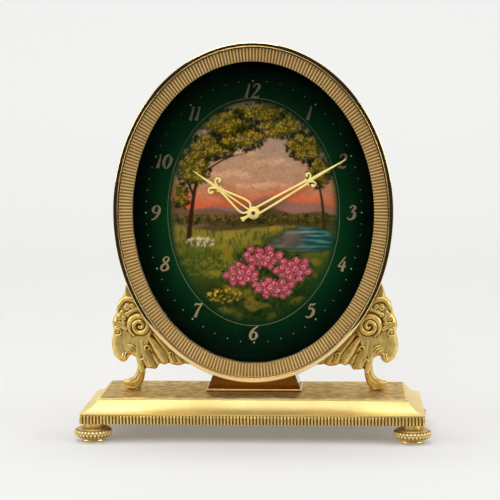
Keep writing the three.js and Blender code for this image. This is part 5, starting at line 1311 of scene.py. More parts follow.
@dataclass
class Case:
    """The drum behind the bezel, its rear cover, the sight ring, and the glass."""

    outer: float = -1.2
    wall: float = 1.6
    edge: float = 0.3
    sight_outer: float = -5.1
    sight_inner: float = -8.8
    sight_front: float = -5.7
    cover_front: float = 20.3
    key_hole: float = 3.4
    screw_radius: float = 2.3
    screw_slot: float = 0.3
    slot_edge: float = 0.131
    screw_inset: float = -8.5
    screw_angles: tuple[float, ...] = (42.0, 138.0, 222.0, 318.0)
    glass_shoulder: float = -10.0
    glass_edge: float = -7.2
    glass_front: float = -9.0
    glass_thickness: float = 1.6
    glass_dome: float = 1.4

    def drum(self) -> Surface:
        """The drum's wall with eased edges, swept round the oval.

        Returns:
            The wall.
        """
        front, rear, outer = LAYOUT.rim_back + 0.3, LAYOUT.case_rear, self.outer
        wall = [[outer - 0.2, front], [outer, front + 0.2], [outer, rear - self.edge]]
        wall += [[outer - self.edge, rear], [outer - self.wall, rear], [outer - self.wall, front]]
        return oval_sweep(np.array(wall), 240)

    def sight(self) -> Surface:
        """The slanted ring between glass and dial: its face falls inward towards the dial.

        Returns:
            The ring.
        """
        back, front, inner = LAYOUT.dial_front - self.edge, self.sight_front, self.sight_inner
        wall = [[self.sight_outer, front], [self.sight_outer, back], [inner - 0.1, back]]
        return oval_sweep(np.array([*wall, [inner, back - self.edge], [inner + 0.4, front]]), 200)

    def cover(self) -> Surface:
        """The rear cover: an eased edge, an engraved line that follows it, and the hole for the key.

        The field between the outer oval and the hole is ruled: each ring is a straight mix of the outlines.

        Returns:
            The cover, front and back.
        """
        angle = steps(200)
        oval = stacked(*on_oval(self.outer, angle))
        hole = np.array([LAYOUT.key_x, LAYOUT.key_z]) + self.key_hole * stacked(np.cos(angle), np.sin(angle))
        share = np.array([0.0, 0.006, 0.02, 0.07, 0.073, 0.082, 0.085, 0.5, 0.97, 1.0])
        depth = LAYOUT.cover_back - np.array([0.5, 0.15, 0.0, 0.0, 0.3, 0.3, 0.0, 0.0, 0.0, 0.0])
        flat = oval + (hole - oval) * share[:, None, None]
        back = stacked(flat[..., 0], depth[:, None], flat[..., 1])
        front = stacked(flat[::-1, :, 0], self.cover_front, flat[::-1, :, 1])
        return tubular(np.vstack([back, front]))

    def cover_screw(self, x: float, z: float) -> Surface:
        """A slotted screw head: a square of points bent to a disc.

        The head falls with the square of the distance out, and sinks where u lies within the slot.

        Args:
            x: Its middle along X.
            z: Its middle along Z.

        Returns:
            The head, whose edge is set in the cover.
        """
        half = np.array([self.screw_slot / self.screw_radius, self.slot_edge, 0.15, 0.4, 0.65, 0.85, 1.0])
        u, v = np.meshgrid(np.sort(np.concatenate([-half, half])), np.linspace(-1.0, 1.0, 15))
        px, pz = rounded_square(u, v)
        px, pz = self.screw_radius * px, self.screw_radius * pz
        inside = np.maximum(np.abs(u), np.abs(v)) <= 0.99
        rise = np.where(inside, 0.75 - 0.35 * (px**2 + pz**2) / self.screw_radius**2, -0.2)
        rise = np.where((np.abs(u) < self.slot_edge) & inside, 0.15, rise)
        return backed(stacked(x + px, LAYOUT.cover_back + rise, z + pz))

    def glass(self) -> Surface:
        """The crystal: a flat flange and a low dome whose height falls with the square of the distance out.

        Returns:
            The glass, front and back.
        """
        share, angle = np.linspace(0.02, 1.0, 26), steps(200)
        reach_x, reach_z = (
            np.append(share * (axis + self.glass_shoulder), axis + self.glass_edge)[:, None]
            for axis in (LAYOUT.oval_a, LAYOUT.oval_b)
        )
        swell = np.append(self.glass_dome * (1 - share**2), 0.0)[:, None]
        x, z = reach_x * np.cos(angle), LAYOUT.centre_z + reach_z * np.sin(angle)
        front = stacked(x, self.glass_front - swell, z)
        back = front[::-1] + np.array([0.0, self.glass_thickness, 0.0])
        return closed(np.vstack([front, back]))

    def build(self) -> None:
        """Makes the drum, sight ring, cover, cover screws and glass."""
        add_piece("gilt_drum", self.drum(), PALETTE.rim, Slot.GILT, replaces=["case_body"], crease=35.0)
        sight = self.sight()
        add_piece("gilt_sight_ring", sight, PALETTE.cove, Slot.GILT, replaces=["sight_ring"], crease=35.0)
        cover = self.cover()
        add_piece("brass_cover", cover, PALETTE.brass, Slot.BRASS, replaces=["rear_cover"], crease=35.0)
        places = stacked(*on_oval(self.screw_inset, np.radians(self.screw_angles)))
        screws = merged(self.cover_screw(float(x), float(z)) for x, z in places)
        add_piece("cover_screws", screws, PALETTE.steel, Slot.STEEL, crease=30.0)
        add_piece("domed_glass", self.glass(), PALETTE.glass, Slot.GLASS, replaces=["crystal"], crease=35.0)


class Canvas:
    """A painted field: layers, dabs and strokes of colour, worked out on a raster of points."""

    def __init__(self, half_width: float, half_height: float, pitch: float = 0.22) -> None:
        """Lays out the raster.

        Args:
            half_width: Half its size along X.
            half_height: Half its size along Z.
            pitch: Distance of its points.
        """
        self.x = np.arange(-half_width, half_width + pitch, pitch)
        self.z = np.arange(-half_height, half_height + pitch, pitch)
        self.pitch = pitch
        self.gx, self.gz = np.meshgrid(self.x, self.z)
        self.colour = np.zeros((*self.gx.shape, 3))

    def window(self, x: float, z: float, reach: float) -> tuple[slice, slice]:
        """The part of the raster within reach of a point."""
        rows = np.searchsorted(self.z, [z - reach, z + reach])
        return slice(*rows), slice(*np.searchsorted(self.x, [x - reach, x + reach]))

    def layer(self, share: Array, code: str) -> None:
        """Lays a screen colour over the canvas, with a share from 0 to 1 of it at each point."""
        cover = np.clip(share, 0.0, 1.0)[..., None]
        self.colour = self.colour * (1.0 - cover) + np.array(linear(code)) * cover

    def glow(self, middle: float, half: float) -> Array:
        """A bell along X about a middle."""
        return np.exp(-(((self.gx - middle) / half) ** 2))

    def blot(self, x: float, z: float, reach_x: float, reach_z: float) -> Array:
        """The square of the distance from a middle, in shares of a reach along X and along Z."""
        return ((self.gx - x) / reach_x) ** 2 + ((self.gz - z) / reach_z) ** 2

    def ripple(self, seed: int, across: float, up: float, waves: int = 14) -> Array:
        """Soft random waves: a sum of sines with seeded directions, mean 0 and about unit size.

        Args:
            seed: Seed of the waves.
            across: Typical length along X in millimetres.
            up: Typical length along Z.
            waves: Number of sines.

        Returns:
            The wave field.
        """
        rng = np.random.default_rng(seed)
        total = np.zeros(self.gx.shape)
        ways_x, ways_z = rng.normal(0, 1, waves), rng.normal(0, 1, waves)
        for kx, kz, phase in zip(ways_x, ways_z, rng.uniform(0, TURN, waves)):
            total += np.sin(self.gx * kx * TURN / across / 2 + self.gz * kz * TURN / up / 2 + phase)
        return total / np.sqrt(waves / 2)

    def dabs(
        self, seed: int, count: int, middle: Pair, reach: Pair, size: Pair, codes: str, cover: float
    ) -> None:
        """Sets brush dabs: each is a small tilted bell of one colour, gathered about a middle.

        Args:
            seed: Seed of the places, sizes and colours.
            count: Number of dabs.
            middle: Middle of the group.
            reach: Spread of the group along X and Z.
            size: Least and greatest dab radius.
            codes: Screen colours to choose from, with a space between them.
            cover: Greatest cover of a dab.
        """
        rng = np.random.default_rng(seed)
        tones = np.array([linear(code) for code in codes.split()])
        turn, far = rng.uniform(0, TURN, count), np.sqrt(rng.uniform(0, 1, count))
        px, pz = middle[0] + reach[0] * far * np.cos(turn), middle[1] + reach[1] * far * np.sin(turn)
        radius, tilt = rng.uniform(*size, count), rng.uniform(0, np.pi, count)
        tints = tones[rng.integers(0, len(tones), count)]
        for x, z, r, lean, tint in zip(px, pz, radius, tilt, tints):
            window = self.window(x, z, 2.2 * r)
            dx, dz = self.gx[window] - x, self.gz[window] - z
            u, v = dx * np.cos(lean) + dz * np.sin(lean), dz * np.cos(lean) - dx * np.sin(lean)
            share = (cover * np.exp(-((u / r) ** 2 + (v / (0.55 * r)) ** 2) ** 1.5))[..., None]
            self.colour[window] = self.colour[window] * (1 - share) + tint * share

    def stroke(self, stations: Stations, code: str) -> None:
        """Draws a soft line whose half-width changes along it.

        Args:
            stations: Control points of x, z and half-width.
            code: Screen colour.
        """
        share = np.zeros(self.gx.shape)
        for x, z, half in smoothed(stations, 60):
            window = self.window(x, z, 3 * half + 0.5)
            square = (self.gx[window] - x) ** 2 + (self.gz[window] - z) ** 2
            share[window] = np.maximum(share[window], np.clip(1.4 - square / half**2, 0.0, 1.0))
        self.layer(share, code)

    def at(self, x: Array, z: Array) -> Array:
        """Colours at any points, mixed straight between the four nearest raster points.

        Args:
            x: Places along X.
            z: Places along Z.

        Returns:
            Array of points by three, linear.
        """
        fx, fz = (x - self.x[0]) / self.pitch, (z - self.z[0]) / self.pitch
        i = np.clip(fz.astype(int), 0, len(self.z) - 2)
        j = np.clip(fx.astype(int), 0, len(self.x) - 2)
        s, t = (fz - i)[:, None], (fx - j)[:, None]
        c = self.colour
        low = c[i, j] * (1 - t) + c[i, j + 1] * t
        return low * (1 - s) + (c[i + 1, j] * (1 - t) + c[i + 1, j + 1] * t) * s


class Figure(Enum):
    """Slanted old-style figures: strokes of x, height and half-width in shares of a figure's height."""

    ZERO = [
        [(0.32, 1.0, 0.03), (0.1, 0.78, 0.08), (0.06, 0.35, 0.09), (0.26, 0.0, 0.03), (0.48, 0.22, 0.08),
         (0.54, 0.65, 0.09), (0.32, 1.0, 0.03)],
    ]
    ONE = [
        [(0.3, 1.0, 0.02), (0.27, 0.75, 0.05), (0.22, 0.35, 0.075), (0.19, 0.04, 0.1)],
        [(0.12, 0.9, 0.015), (0.3, 1.0, 0.03)],
    ]
    TWO = [
        [(0.08, 0.76, 0.05), (0.18, 0.96, 0.035), (0.4, 0.96, 0.055), (0.48, 0.75, 0.085), (0.3, 0.4, 0.05),
         (0.04, 0.05, 0.025)],
        [(0.04, 0.06, 0.02), (0.26, 0.06, 0.075), (0.5, 0.05, 0.06), (0.6, 0.2, 0.02)],
    ]
    THREE = [
        [(0.1, 0.84, 0.05), (0.28, 1.0, 0.035), (0.47, 0.84, 0.08), (0.28, 0.58, 0.025)],
        [(0.26, 0.58, 0.025), (0.5, 0.46, 0.08), (0.5, 0.15, 0.09), (0.25, 0.0, 0.04), (0.05, 0.14, 0.06)],
    ]
    FOUR = [
        [(0.42, 1.0, 0.025), (0.22, 0.65, 0.04), (0.02, 0.32, 0.04)],
        [(0.02, 0.3, 0.03), (0.3, 0.3, 0.045), (0.6, 0.3, 0.03)],
        [(0.44, 0.68, 0.05), (0.4, 0.3, 0.075), (0.36, -0.05, 0.085)],
    ]
    FIVE = [
        [(0.2, 0.98, 0.03), (0.17, 0.8, 0.035), (0.13, 0.6, 0.03)],
        [(0.2, 0.95, 0.05), (0.4, 0.94, 0.05), (0.56, 1.02, 0.03)],
        [(0.13, 0.6, 0.025), (0.35, 0.66, 0.05), (0.52, 0.44, 0.09), (0.42, 0.12, 0.07), (0.2, 0.0, 0.035),
         (0.04, 0.1, 0.06)],
    ]
    SIX = [
        [(0.52, 0.98, 0.025), (0.2, 0.72, 0.06), (0.07, 0.35, 0.09), (0.18, 0.04, 0.06), (0.4, 0.03, 0.04),
         (0.53, 0.26, 0.085), (0.42, 0.5, 0.045), (0.2, 0.5, 0.03), (0.1, 0.36, 0.025)],
    ]
    SEVEN = [
        [(0.05, 0.82, 0.03), (0.1, 0.97, 0.05), (0.34, 0.93, 0.05), (0.56, 1.0, 0.03)],
        [(0.56, 0.98, 0.025), (0.34, 0.52, 0.06), (0.22, 0.0, 0.09)],
    ]
    EIGHT = [
        [(0.3, 0.54, 0.05), (0.1, 0.76, 0.065), (0.24, 0.98, 0.035), (0.43, 0.93, 0.045), (0.46, 0.74, 0.06),
         (0.3, 0.54, 0.055), (0.06, 0.28, 0.07), (0.12, 0.04, 0.055), (0.34, 0.0, 0.035), (0.53, 0.16, 0.08),
         (0.46, 0.4, 0.06), (0.3, 0.54, 0.05)],
    ]
    NINE = [
        [(0.5, 0.64, 0.025), (0.36, 0.5, 0.03), (0.14, 0.53, 0.05), (0.06, 0.76, 0.085), (0.2, 0.97, 0.04),
         (0.42, 0.95, 0.045), (0.53, 0.68, 0.09), (0.45, 0.3, 0.07), (0.26, 0.05, 0.045), (0.06, 0.0, 0.025)],
    ]


FIGURES = list(Figure)


class Landscape:
    """The dial's picture: a country evening with two groves, a pool, a meadow and rose bushes."""

    clouds: Stations = (
        (-12.0, 19.0, 15.0, 2.6), (10.0, 25.0, 12.0, 2.4), (4.0, 13.5, 17.0, 1.9), (-4.0, 30.0, 10.0, 2.2),
    )
    branches: Sequence[tuple[Stations, str]] = (
        ([(-33.0, -16.0, 1.5), (-31.0, 2.0, 1.1), (-27.5, 18.0, 0.9), (-19.0, 31.0, 0.5)], "3a2b1d"),
        ([(-30.0, 8.0, 0.8), (-34.0, 20.0, 0.6), (-35.0, 30.0, 0.3)], "3a2b1d"),
        ([(-27.0, 19.0, 0.6), (-14.0, 27.0, 0.4), (-3.0, 30.0, 0.2)], "46331f"),
        ([(35.5, -8.0, 0.9), (34.0, 8.0, 0.7), (30.0, 22.0, 0.5), (22.0, 33.0, 0.3)], "46331f"),
    )
    drifts: Stations = (
        (-21.0, 33.0, 13.0, 7.0), (-30.0, 22.0, 9.0, 9.0), (-6.0, 38.0, 13.0, 7.5), (-14.0, 45.0, 14.0, 7.0),
        (14.0, 44.0, 13.0, 7.0), (26.0, 33.0, 10.0, 8.0), (33.0, 20.0, 6.5, 8.0), (4.0, 50.0, 14.0, 5.0),
        (-36.0, 8.0, 4.0, 7.0),
    )
    bushes: Stations = (
        (5.0, -23.0, 12.0, 6.0), (20.0, -29.0, 9.5, 7.0), (-6.0, -31.0, 9.5, 5.5), (10.0, -38.0, 11.0, 5.0),
    )
    tufts: int = 9
    blooms: int = 15
    spiral: float = 2.4

    def __init__(self) -> None:
        """Paints the picture from far to near."""
        self.canvas = Canvas(44.0, 58.0)
        self.soft = self.canvas.ripple(11, 30.0, 9.0)
        self.sky()
        self.hills()
        self.meadow()
        self.groves()
        self.flowers()

    def sky(self) -> None:
        """Lays the rosy sky with its glow and clouds."""
        c = self.canvas
        c.layer(np.ones(c.gx.shape), "a8958c")
        c.layer((36.0 - c.gz + 3 * self.soft) / 34.0, "c79c7e")
        c.layer(0.95 * np.exp(-(((c.gz - 3 - 1.5 * self.soft) / 8.0) ** 2)), "d26a48")
        for k, (x, z, rx, rz) in enumerate(self.clouds):
            puff = c.blot(x, z, rx, rz) + 0.35 * c.ripple(21 + k, 5.0, 3.0)
            c.layer(0.55 * np.clip(1.1 - puff, 0, 1), "dcb9a0")
            c.layer(0.4 * np.clip(1.0 - puff, 0, 1) * np.clip((z - c.gz) / rz, 0, 1), "9c7068")
        c.layer(0.25 * np.clip(c.ripple(15, 3.0, 2.0), 0, 1), "93705f")

    def hills(self) -> None:
        """Lays three ridges, one before the other, and a line of far trees."""
        c = self.canvas
        ridge = 3.0 + 2.4 * np.sin(c.gx / 11.0 + 0.6) + 1.2 * np.sin(c.gx / 4.3)
        c.layer((ridge + 2.5 - c.gz) / 1.8, "9a7570")
        c.layer((ridge - 1.5 - 0.12 * c.gx - c.gz) / 1.5, "7c6254")
        c.layer((ridge - 5.0 + 0.09 * c.gx - c.gz) / 1.4, "5d5337")
        for k, x in enumerate(np.linspace(-40.0, 40.0, 17)):
            z = -3.5 + 1.4 * np.sin(3.1 * k)
            c.dabs(60 + k, 44, (x, z), (3.4, 2.6), (0.4, 1.1), "3b3c1d 4a4722 2d3118 5a4b28", 0.8)
            c.dabs(90 + k, 16, (x - 0.8, z + 1.0), (2.2, 1.3), (0.3, 0.7), "7d6f30 8f7d3c 6a5f2c", 0.7)

    def meadow(self) -> None:
        """Lays the grass, darker towards the front, and the pool with its shore and lights."""
        c, soft = self.canvas, self.soft
        edge = -7.5 + 1.3 * np.sin(c.gx / 9.0)
        c.layer((edge - c.gz) / 1.2, "8a8340")
        c.layer((edge - 5.0 + 0.8 * soft - c.gz) / 9.0, "5f6a2a")
        c.layer((-21.0 + 1.5 * soft - c.gz) / 18.0, "283616")
        c.layer(0.6 * np.clip(c.ripple(17, 2.2, 5.0), 0, 1) * (edge > c.gz), "434d1f")
        c.layer(0.45 * np.clip(c.ripple(18, 12.0, 3.5) - 0.3, 0, 1) * (edge > c.gz), "a8923f")
        pool = c.blot(22.0, -14.0, 20.0, 6.6) + 0.25 * soft + 0.08 * c.ripple(16, 5.0, 3.0)
        c.layer((1.3 - pool) / 0.4, "3c4a2c")
        c.layer((1.0 - pool) / 0.3, "24525a")
        c.layer(0.8 * (1.0 - pool) * np.clip(c.ripple(13, 16.0, 1.8), 0, 1), "86b2b4")
        c.layer(0.6 * np.clip(1.0 - pool, 0, 1) * c.glow(15.0, 8.0), "d08a6c")

    def groves(self) -> None:
        """Adds the trees: strokes for the wood, and drifts of leaf dabs in three tones set in spirals."""
        c = self.canvas
        for stations, code in self.branches:
            c.stroke(stations, code)
        for k, (x, z, rx, rz) in enumerate(self.drifts):
            amount = int(rx * rz * 3.2)
            c.dabs(100 + k, amount, (x, z), (rx, rz), (0.5, 1.4), "1a2109 262a0b 131a0a", 0.8)
            for tuft in range(self.tufts):
                away, turn = 0.75 * np.sqrt((tuft + 0.5) / self.tufts), self.spiral * tuft + k
                tx, tz = x + rx * away * np.cos(turn), z + rz * away * np.sin(turn)
                shadow, light = "4b4d12 5d5714 3b4412 6e5c15", "a08c22 b79526 83802a cdb45a"
                seed = 300 + 10 * k + tuft
                c.dabs(seed, int(amount * 0.2), (tx, tz), (0.34 * rx, 0.3 * rz), (0.3, 0.8), shadow, 0.75)
                reach = (0.24 * rx, 0.2 * rz)
                c.dabs(seed + 100, int(amount * 0.14), (tx - 0.8, tz + 0.9), reach, (0.22, 0.5), light, 0.85)

    def rose(self, x: float, z: float, reach: float, turn: float) -> None:
        """Adds one rose: a dark round with petals as crescents that wind inward and grow paler.

        Args:
            x: Its middle along X.
            z: Its middle along Z.
            reach: Its radius.
            turn: Where its first petal starts, in radians.
        """
        c = self.canvas
        c.layer(5.0 * (1.0 - np.hypot((c.gx - x) / reach, (c.gz - z) / (0.86 * reach))), "84304a")
        for k, code in enumerate(("a9506a", "bb6680", "c97f92", "dba3ae")):
            arc = turn + 2.2 * k + np.radians(np.linspace(0.0, 170.0, 5))
            away, half = reach * (0.82 - 0.2 * k), reach * (0.15 - 0.015 * k)
            c.stroke([(x + away * np.cos(t), z + 0.86 * away * np.sin(t), half) for t in arc], code)

    def flowers(self) -> None:
        """Adds rose bushes, pale lilies by the water and small yellow blooms in the grass."""
        c = self.canvas
        for k, (x, z, rx, rz) in enumerate(self.bushes):
            leaf = "27401d 35501f 1c2f17 4a5f2a"
            c.dabs(200 + k, int(rx * rz * 4), (x, z - 0.6), (rx + 1.2, rz + 1.0), (0.7, 1.6), leaf, 0.85)
            for bloom in reversed(range(self.blooms)):
                away, turn = 0.95 * np.sqrt((bloom + 0.4) / self.blooms), self.spiral * bloom + k
                place = x + rx * away * np.cos(turn), z + rz * away * np.sin(turn)
                self.rose(*place, 2.8 - 0.05 * bloom, turn)
            c.dabs(240 + k, int(rx * rz * 0.5), (x, z), (rx, rz), (0.22, 0.4), "eec2c8 27401d 7c2440", 0.8)
        c.dabs(260, 46, (-27.0, -15.0), (7.5, 2.6), (0.5, 1.2), "e6d8cd d8bfb4 c7b39c", 0.85)
        c.dabs(261, 60, (-27.0, -17.0), (8.5, 2.8), (0.5, 1.2), "4a5f2a 6c7a35", 0.7)
        c.dabs(262, 70, (-15.0, -42.0), (9.0, 3.6), (0.4, 0.9), "c9a93a b08a2c dcc566", 0.85)
        c.dabs(263, 260, (0.0, -47.0), (30.0, 7.0), (0.4, 1.1), "1d3317 35502a 4c6531", 0.7)
        c.dabs(264, 160, (-22.0, -27.0), (14.0, 6.0), (0.4, 1.0), "4f6129 77803a 94914a", 0.6)


@dataclass
class Dial:
    """The enamelled dial: dark green field, painted picture, gold figures, dots and a thin oval line."""

    plate_edge: float = -3.4
    hole: float = 2.2
    thickness: float = 0.8
    rings: int = 70
    varnish: Triple = (1.0, 0.88, 0.7)
    depth: float = 1.2
    picture_a: float = 43.2
    picture_b: float = 57.2
    picture_points: int = 280
    figures_a: float = 49.2
    figures_b: float = 60.8
    dots_a: float = 54.2
    dots_b: float = 65.8
    hour_dot: float = 0.4
    minute_dot: float = 0.24
    figure_height: float = 7.0
    figure_slant: float = 0.2
    gold_lift: float = 0.05
    around: int = 200

    def ratio(self, x: Array, z: Array) -> Array:
        """How far out points lie, where the picture's edge counts as one."""
        return np.hypot(x / self.picture_a, z / self.picture_b)

    def green(self, x: Array, z: Array) -> Array:
        """The field's colour: deep green beside the picture, with painted shade falling to black at the rim and
        towards the top, and less towards the foot.

        Args:
            x: Places along X, from the dial's centre.
            z: Places along Z.

        Returns:
            Array of points by three, linear.
        """
        # painted shade: darker at the rim, towards the top and towards the foot
        fall = np.clip((self.ratio(x, z) - 0.9) / 0.4, 0.0, 1.0) ** 0.75
        top, foot = np.clip((z - 5.0) / 62.0, 0.0, 1.0), np.clip((-z - 30.0) / 34.0, 0.0, 1.0)
        share = (1.0 - fall) * (1.0 - 0.85 * top) * (1.0 - 0.6 * foot)
        deep, black = np.array(linear("09391c")), np.array(linear("020d06"))
        return black + (deep - black) * share[:, None]

    def plate(self) -> None:
        """Makes the plate: rings from the centre hole to the edge in front, and two more behind."""
        share = np.append(np.linspace(0.0, 1.0, self.rings), [1.0, 0.0])[:, None]
        depth = LAYOUT.dial_front + np.repeat([0.0, self.thickness], [self.rings, 2])[:, None]
        a, b = LAYOUT.oval_a + self.plate_edge, LAYOUT.oval_b + self.plate_edge
        angle = steps(220)
        x = (self.hole + (a - self.hole) * share) * np.cos(angle)
        z = (self.hole + (b - self.hole) * share) * np.sin(angle)
        surface = tubular(stacked(x, depth, z)).moved(z=LAYOUT.centre_z)
        piece = add_piece(
            "enamel_plate", surface, PALETTE.enamel, Slot.ENAMEL, replaces=["dial_plate"], crease=50.0
        )
        paint(piece, self.green(x.ravel(), z.ravel()))

    def picture(self) -> None:
        """Makes the painted oval: a square of points bent to the oval, with a green veil over its edge."""
        line = np.linspace(-1.0, 1.0, self.picture_points)
        u, v = np.meshgrid(line, line)
        x, z = rounded_square(u, v)
        x, z = self.picture_a * x, self.picture_b * z
        y = np.full(x.shape, LAYOUT.dial_front - 0.03)
        y[np.hypot(x, z) < self.hole + 0.4] = LAYOUT.dial_front + 0.03
        y[np.maximum(np.abs(u), np.abs(v)) == 1.0] = LAYOUT.dial_front + 0.05
        surface = backed(stacked(x, y, z)).moved(z=LAYOUT.centre_z)
        piece = add_piece("enamel_picture", surface, PALETTE.picture, Slot.ENAMEL, crease=60.0)
        x, z = x.ravel(), z.ravel()
        colours = Landscape().canvas.at(x, z) ** self.depth * np.array(self.varnish)
        ratio = self.ratio(x, z)[:, None]
        veil = np.clip((ratio - 0.88) / 0.1, 0.0, 1.0) ** 1.3
        veil = np.maximum(veil, 0.3 * np.clip((ratio - 0.7) / 0.3, 0.0, 1.0))
        paint(piece, colours * (1 - veil) + self.green(x, z) * veil)

    def figure(self, digits: Sequence[int], x: float, z: float) -> list[Surface]:
        """One hour's figures, upright and slanted, about a middle point.

        Args:
            digits: Its digits.
            x: Middle along X.
            z: Middle along Z.

        Returns:
            Their strokes, each a low raised strip.
        """
        h, slant = self.figure_height, self.figure_slant
        widths = [0.42 if digit == 1 else 0.62 for digit in digits]
        left = -sum(widths) / 2
        strokes = []
        for digit, width in zip(digits, widths):
            shift = left + (width - 0.6) / 2
            for stroke in FIGURES[digit].value:
                px, pz, half = np.array(stroke).T
                rise = pz - 0.5
                points = stacked(x + h * (shift + px + slant * rise), z + h * rise, 1.2 * h * half)
                strokes.append(strip(points, LAYOUT.dial_front, self.gold_lift, 40, 8))
            left += width
        return strokes

    @staticmethod
    def on_ray(a: float, b: float, degrees: Array) -> tuple[Array, Array]:
        """Where rays from the centre meet an oval.

        Args:
            a: The oval's half-axis along X.
            b: Its half-axis along Z.
            degrees: Angles of the rays, clockwise from the top.

        Returns:
            X and Z of the points.
        """
        angle = np.radians(degrees)
        reach = 1.0 / np.hypot(np.sin(angle) / a, np.cos(angle) / b)
        return reach * np.sin(angle), LAYOUT.centre_z + reach * np.cos(angle)

    @staticmethod
    def dimming(surface: Surface) -> Array:
        """Painted shade on the gold at each point: little at the foot of the dial, nearly all at its top."""
        return np.clip((surface.points[:, 2] - LAYOUT.centre_z + 45.0) / 90.0, 0.1, 0.92)

    def figures(self) -> None:
        """Makes the hours' figures in gold."""
        hours = np.arange(1, 13)
        strokes = []
        for hour, x, z in zip(hours, *self.on_ray(self.figures_a, self.figures_b, 30.0 * hours)):
            strokes += self.figure([int(digit) for digit in str(hour)], x, z)
        gold = merged(strokes)
        piece = add_piece("gold_figures", gold, PALETTE.numeral, Slot.GILT, crease=60.0)
        # painted shade: the figures darker towards the top of the dial
        weigh(piece, self.dimming(gold))

    def dots(self) -> None:
        """Makes a domed dot for each minute, larger at the hours."""
        x, z = self.on_ray(self.dots_a, self.dots_b, 6.0 * np.arange(60))
        cap = np.array([[0.0, 0.0], [1.0, 0.0], [0.8, 0.5], [0.45, 0.85], [0.0, 1.0]])
        dots = []
        for k in range(60):
            radius = self.minute_dot if k % 5 else self.hour_dot
            dots.append(along_y(lathe(cap * np.array([radius, -0.12]), 10), x[k], z[k]))
        beads = merged(dots).moved(y=LAYOUT.dial_front + 0.02)
        piece = add_piece("silver_dots", beads, PALETTE.silver, Slot.GILT, crease=60.0)
        # painted shade: the dots darker towards the top of the dial
        weigh(piece, 0.85 * self.dimming(beads))

    def oval_line(self) -> None:
        """Makes the thin gold line round the picture, with a section of four corners."""
        angle = steps(self.around)[:, None]
        x, z = self.picture_a * np.cos(angle), self.picture_b * np.sin(angle)
        grow = 1.0 + np.array([0.11, 0.0, -0.11, 0.0]) / np.hypot(x, z)
        y = LAYOUT.dial_front - 0.02 + np.array([0.0, -0.09, 0.0, 0.05])
        oval = tubular(stacked(x * grow, y, LAYOUT.centre_z + z * grow))
        piece = add_piece("gold_oval_line", oval, PALETTE.numeral, Slot.GILT, crease=60.0)
        # the line's own dimness, plus painted shade towards the top of the dial
        weigh(piece, 0.45 + 0.4 * self.dimming(oval))

    def build(self) -> None:
        """Makes the plate, the picture and the markings."""
        self.plate()
        self.picture()
        self.figures()
        self.dots()
        self.oval_line()


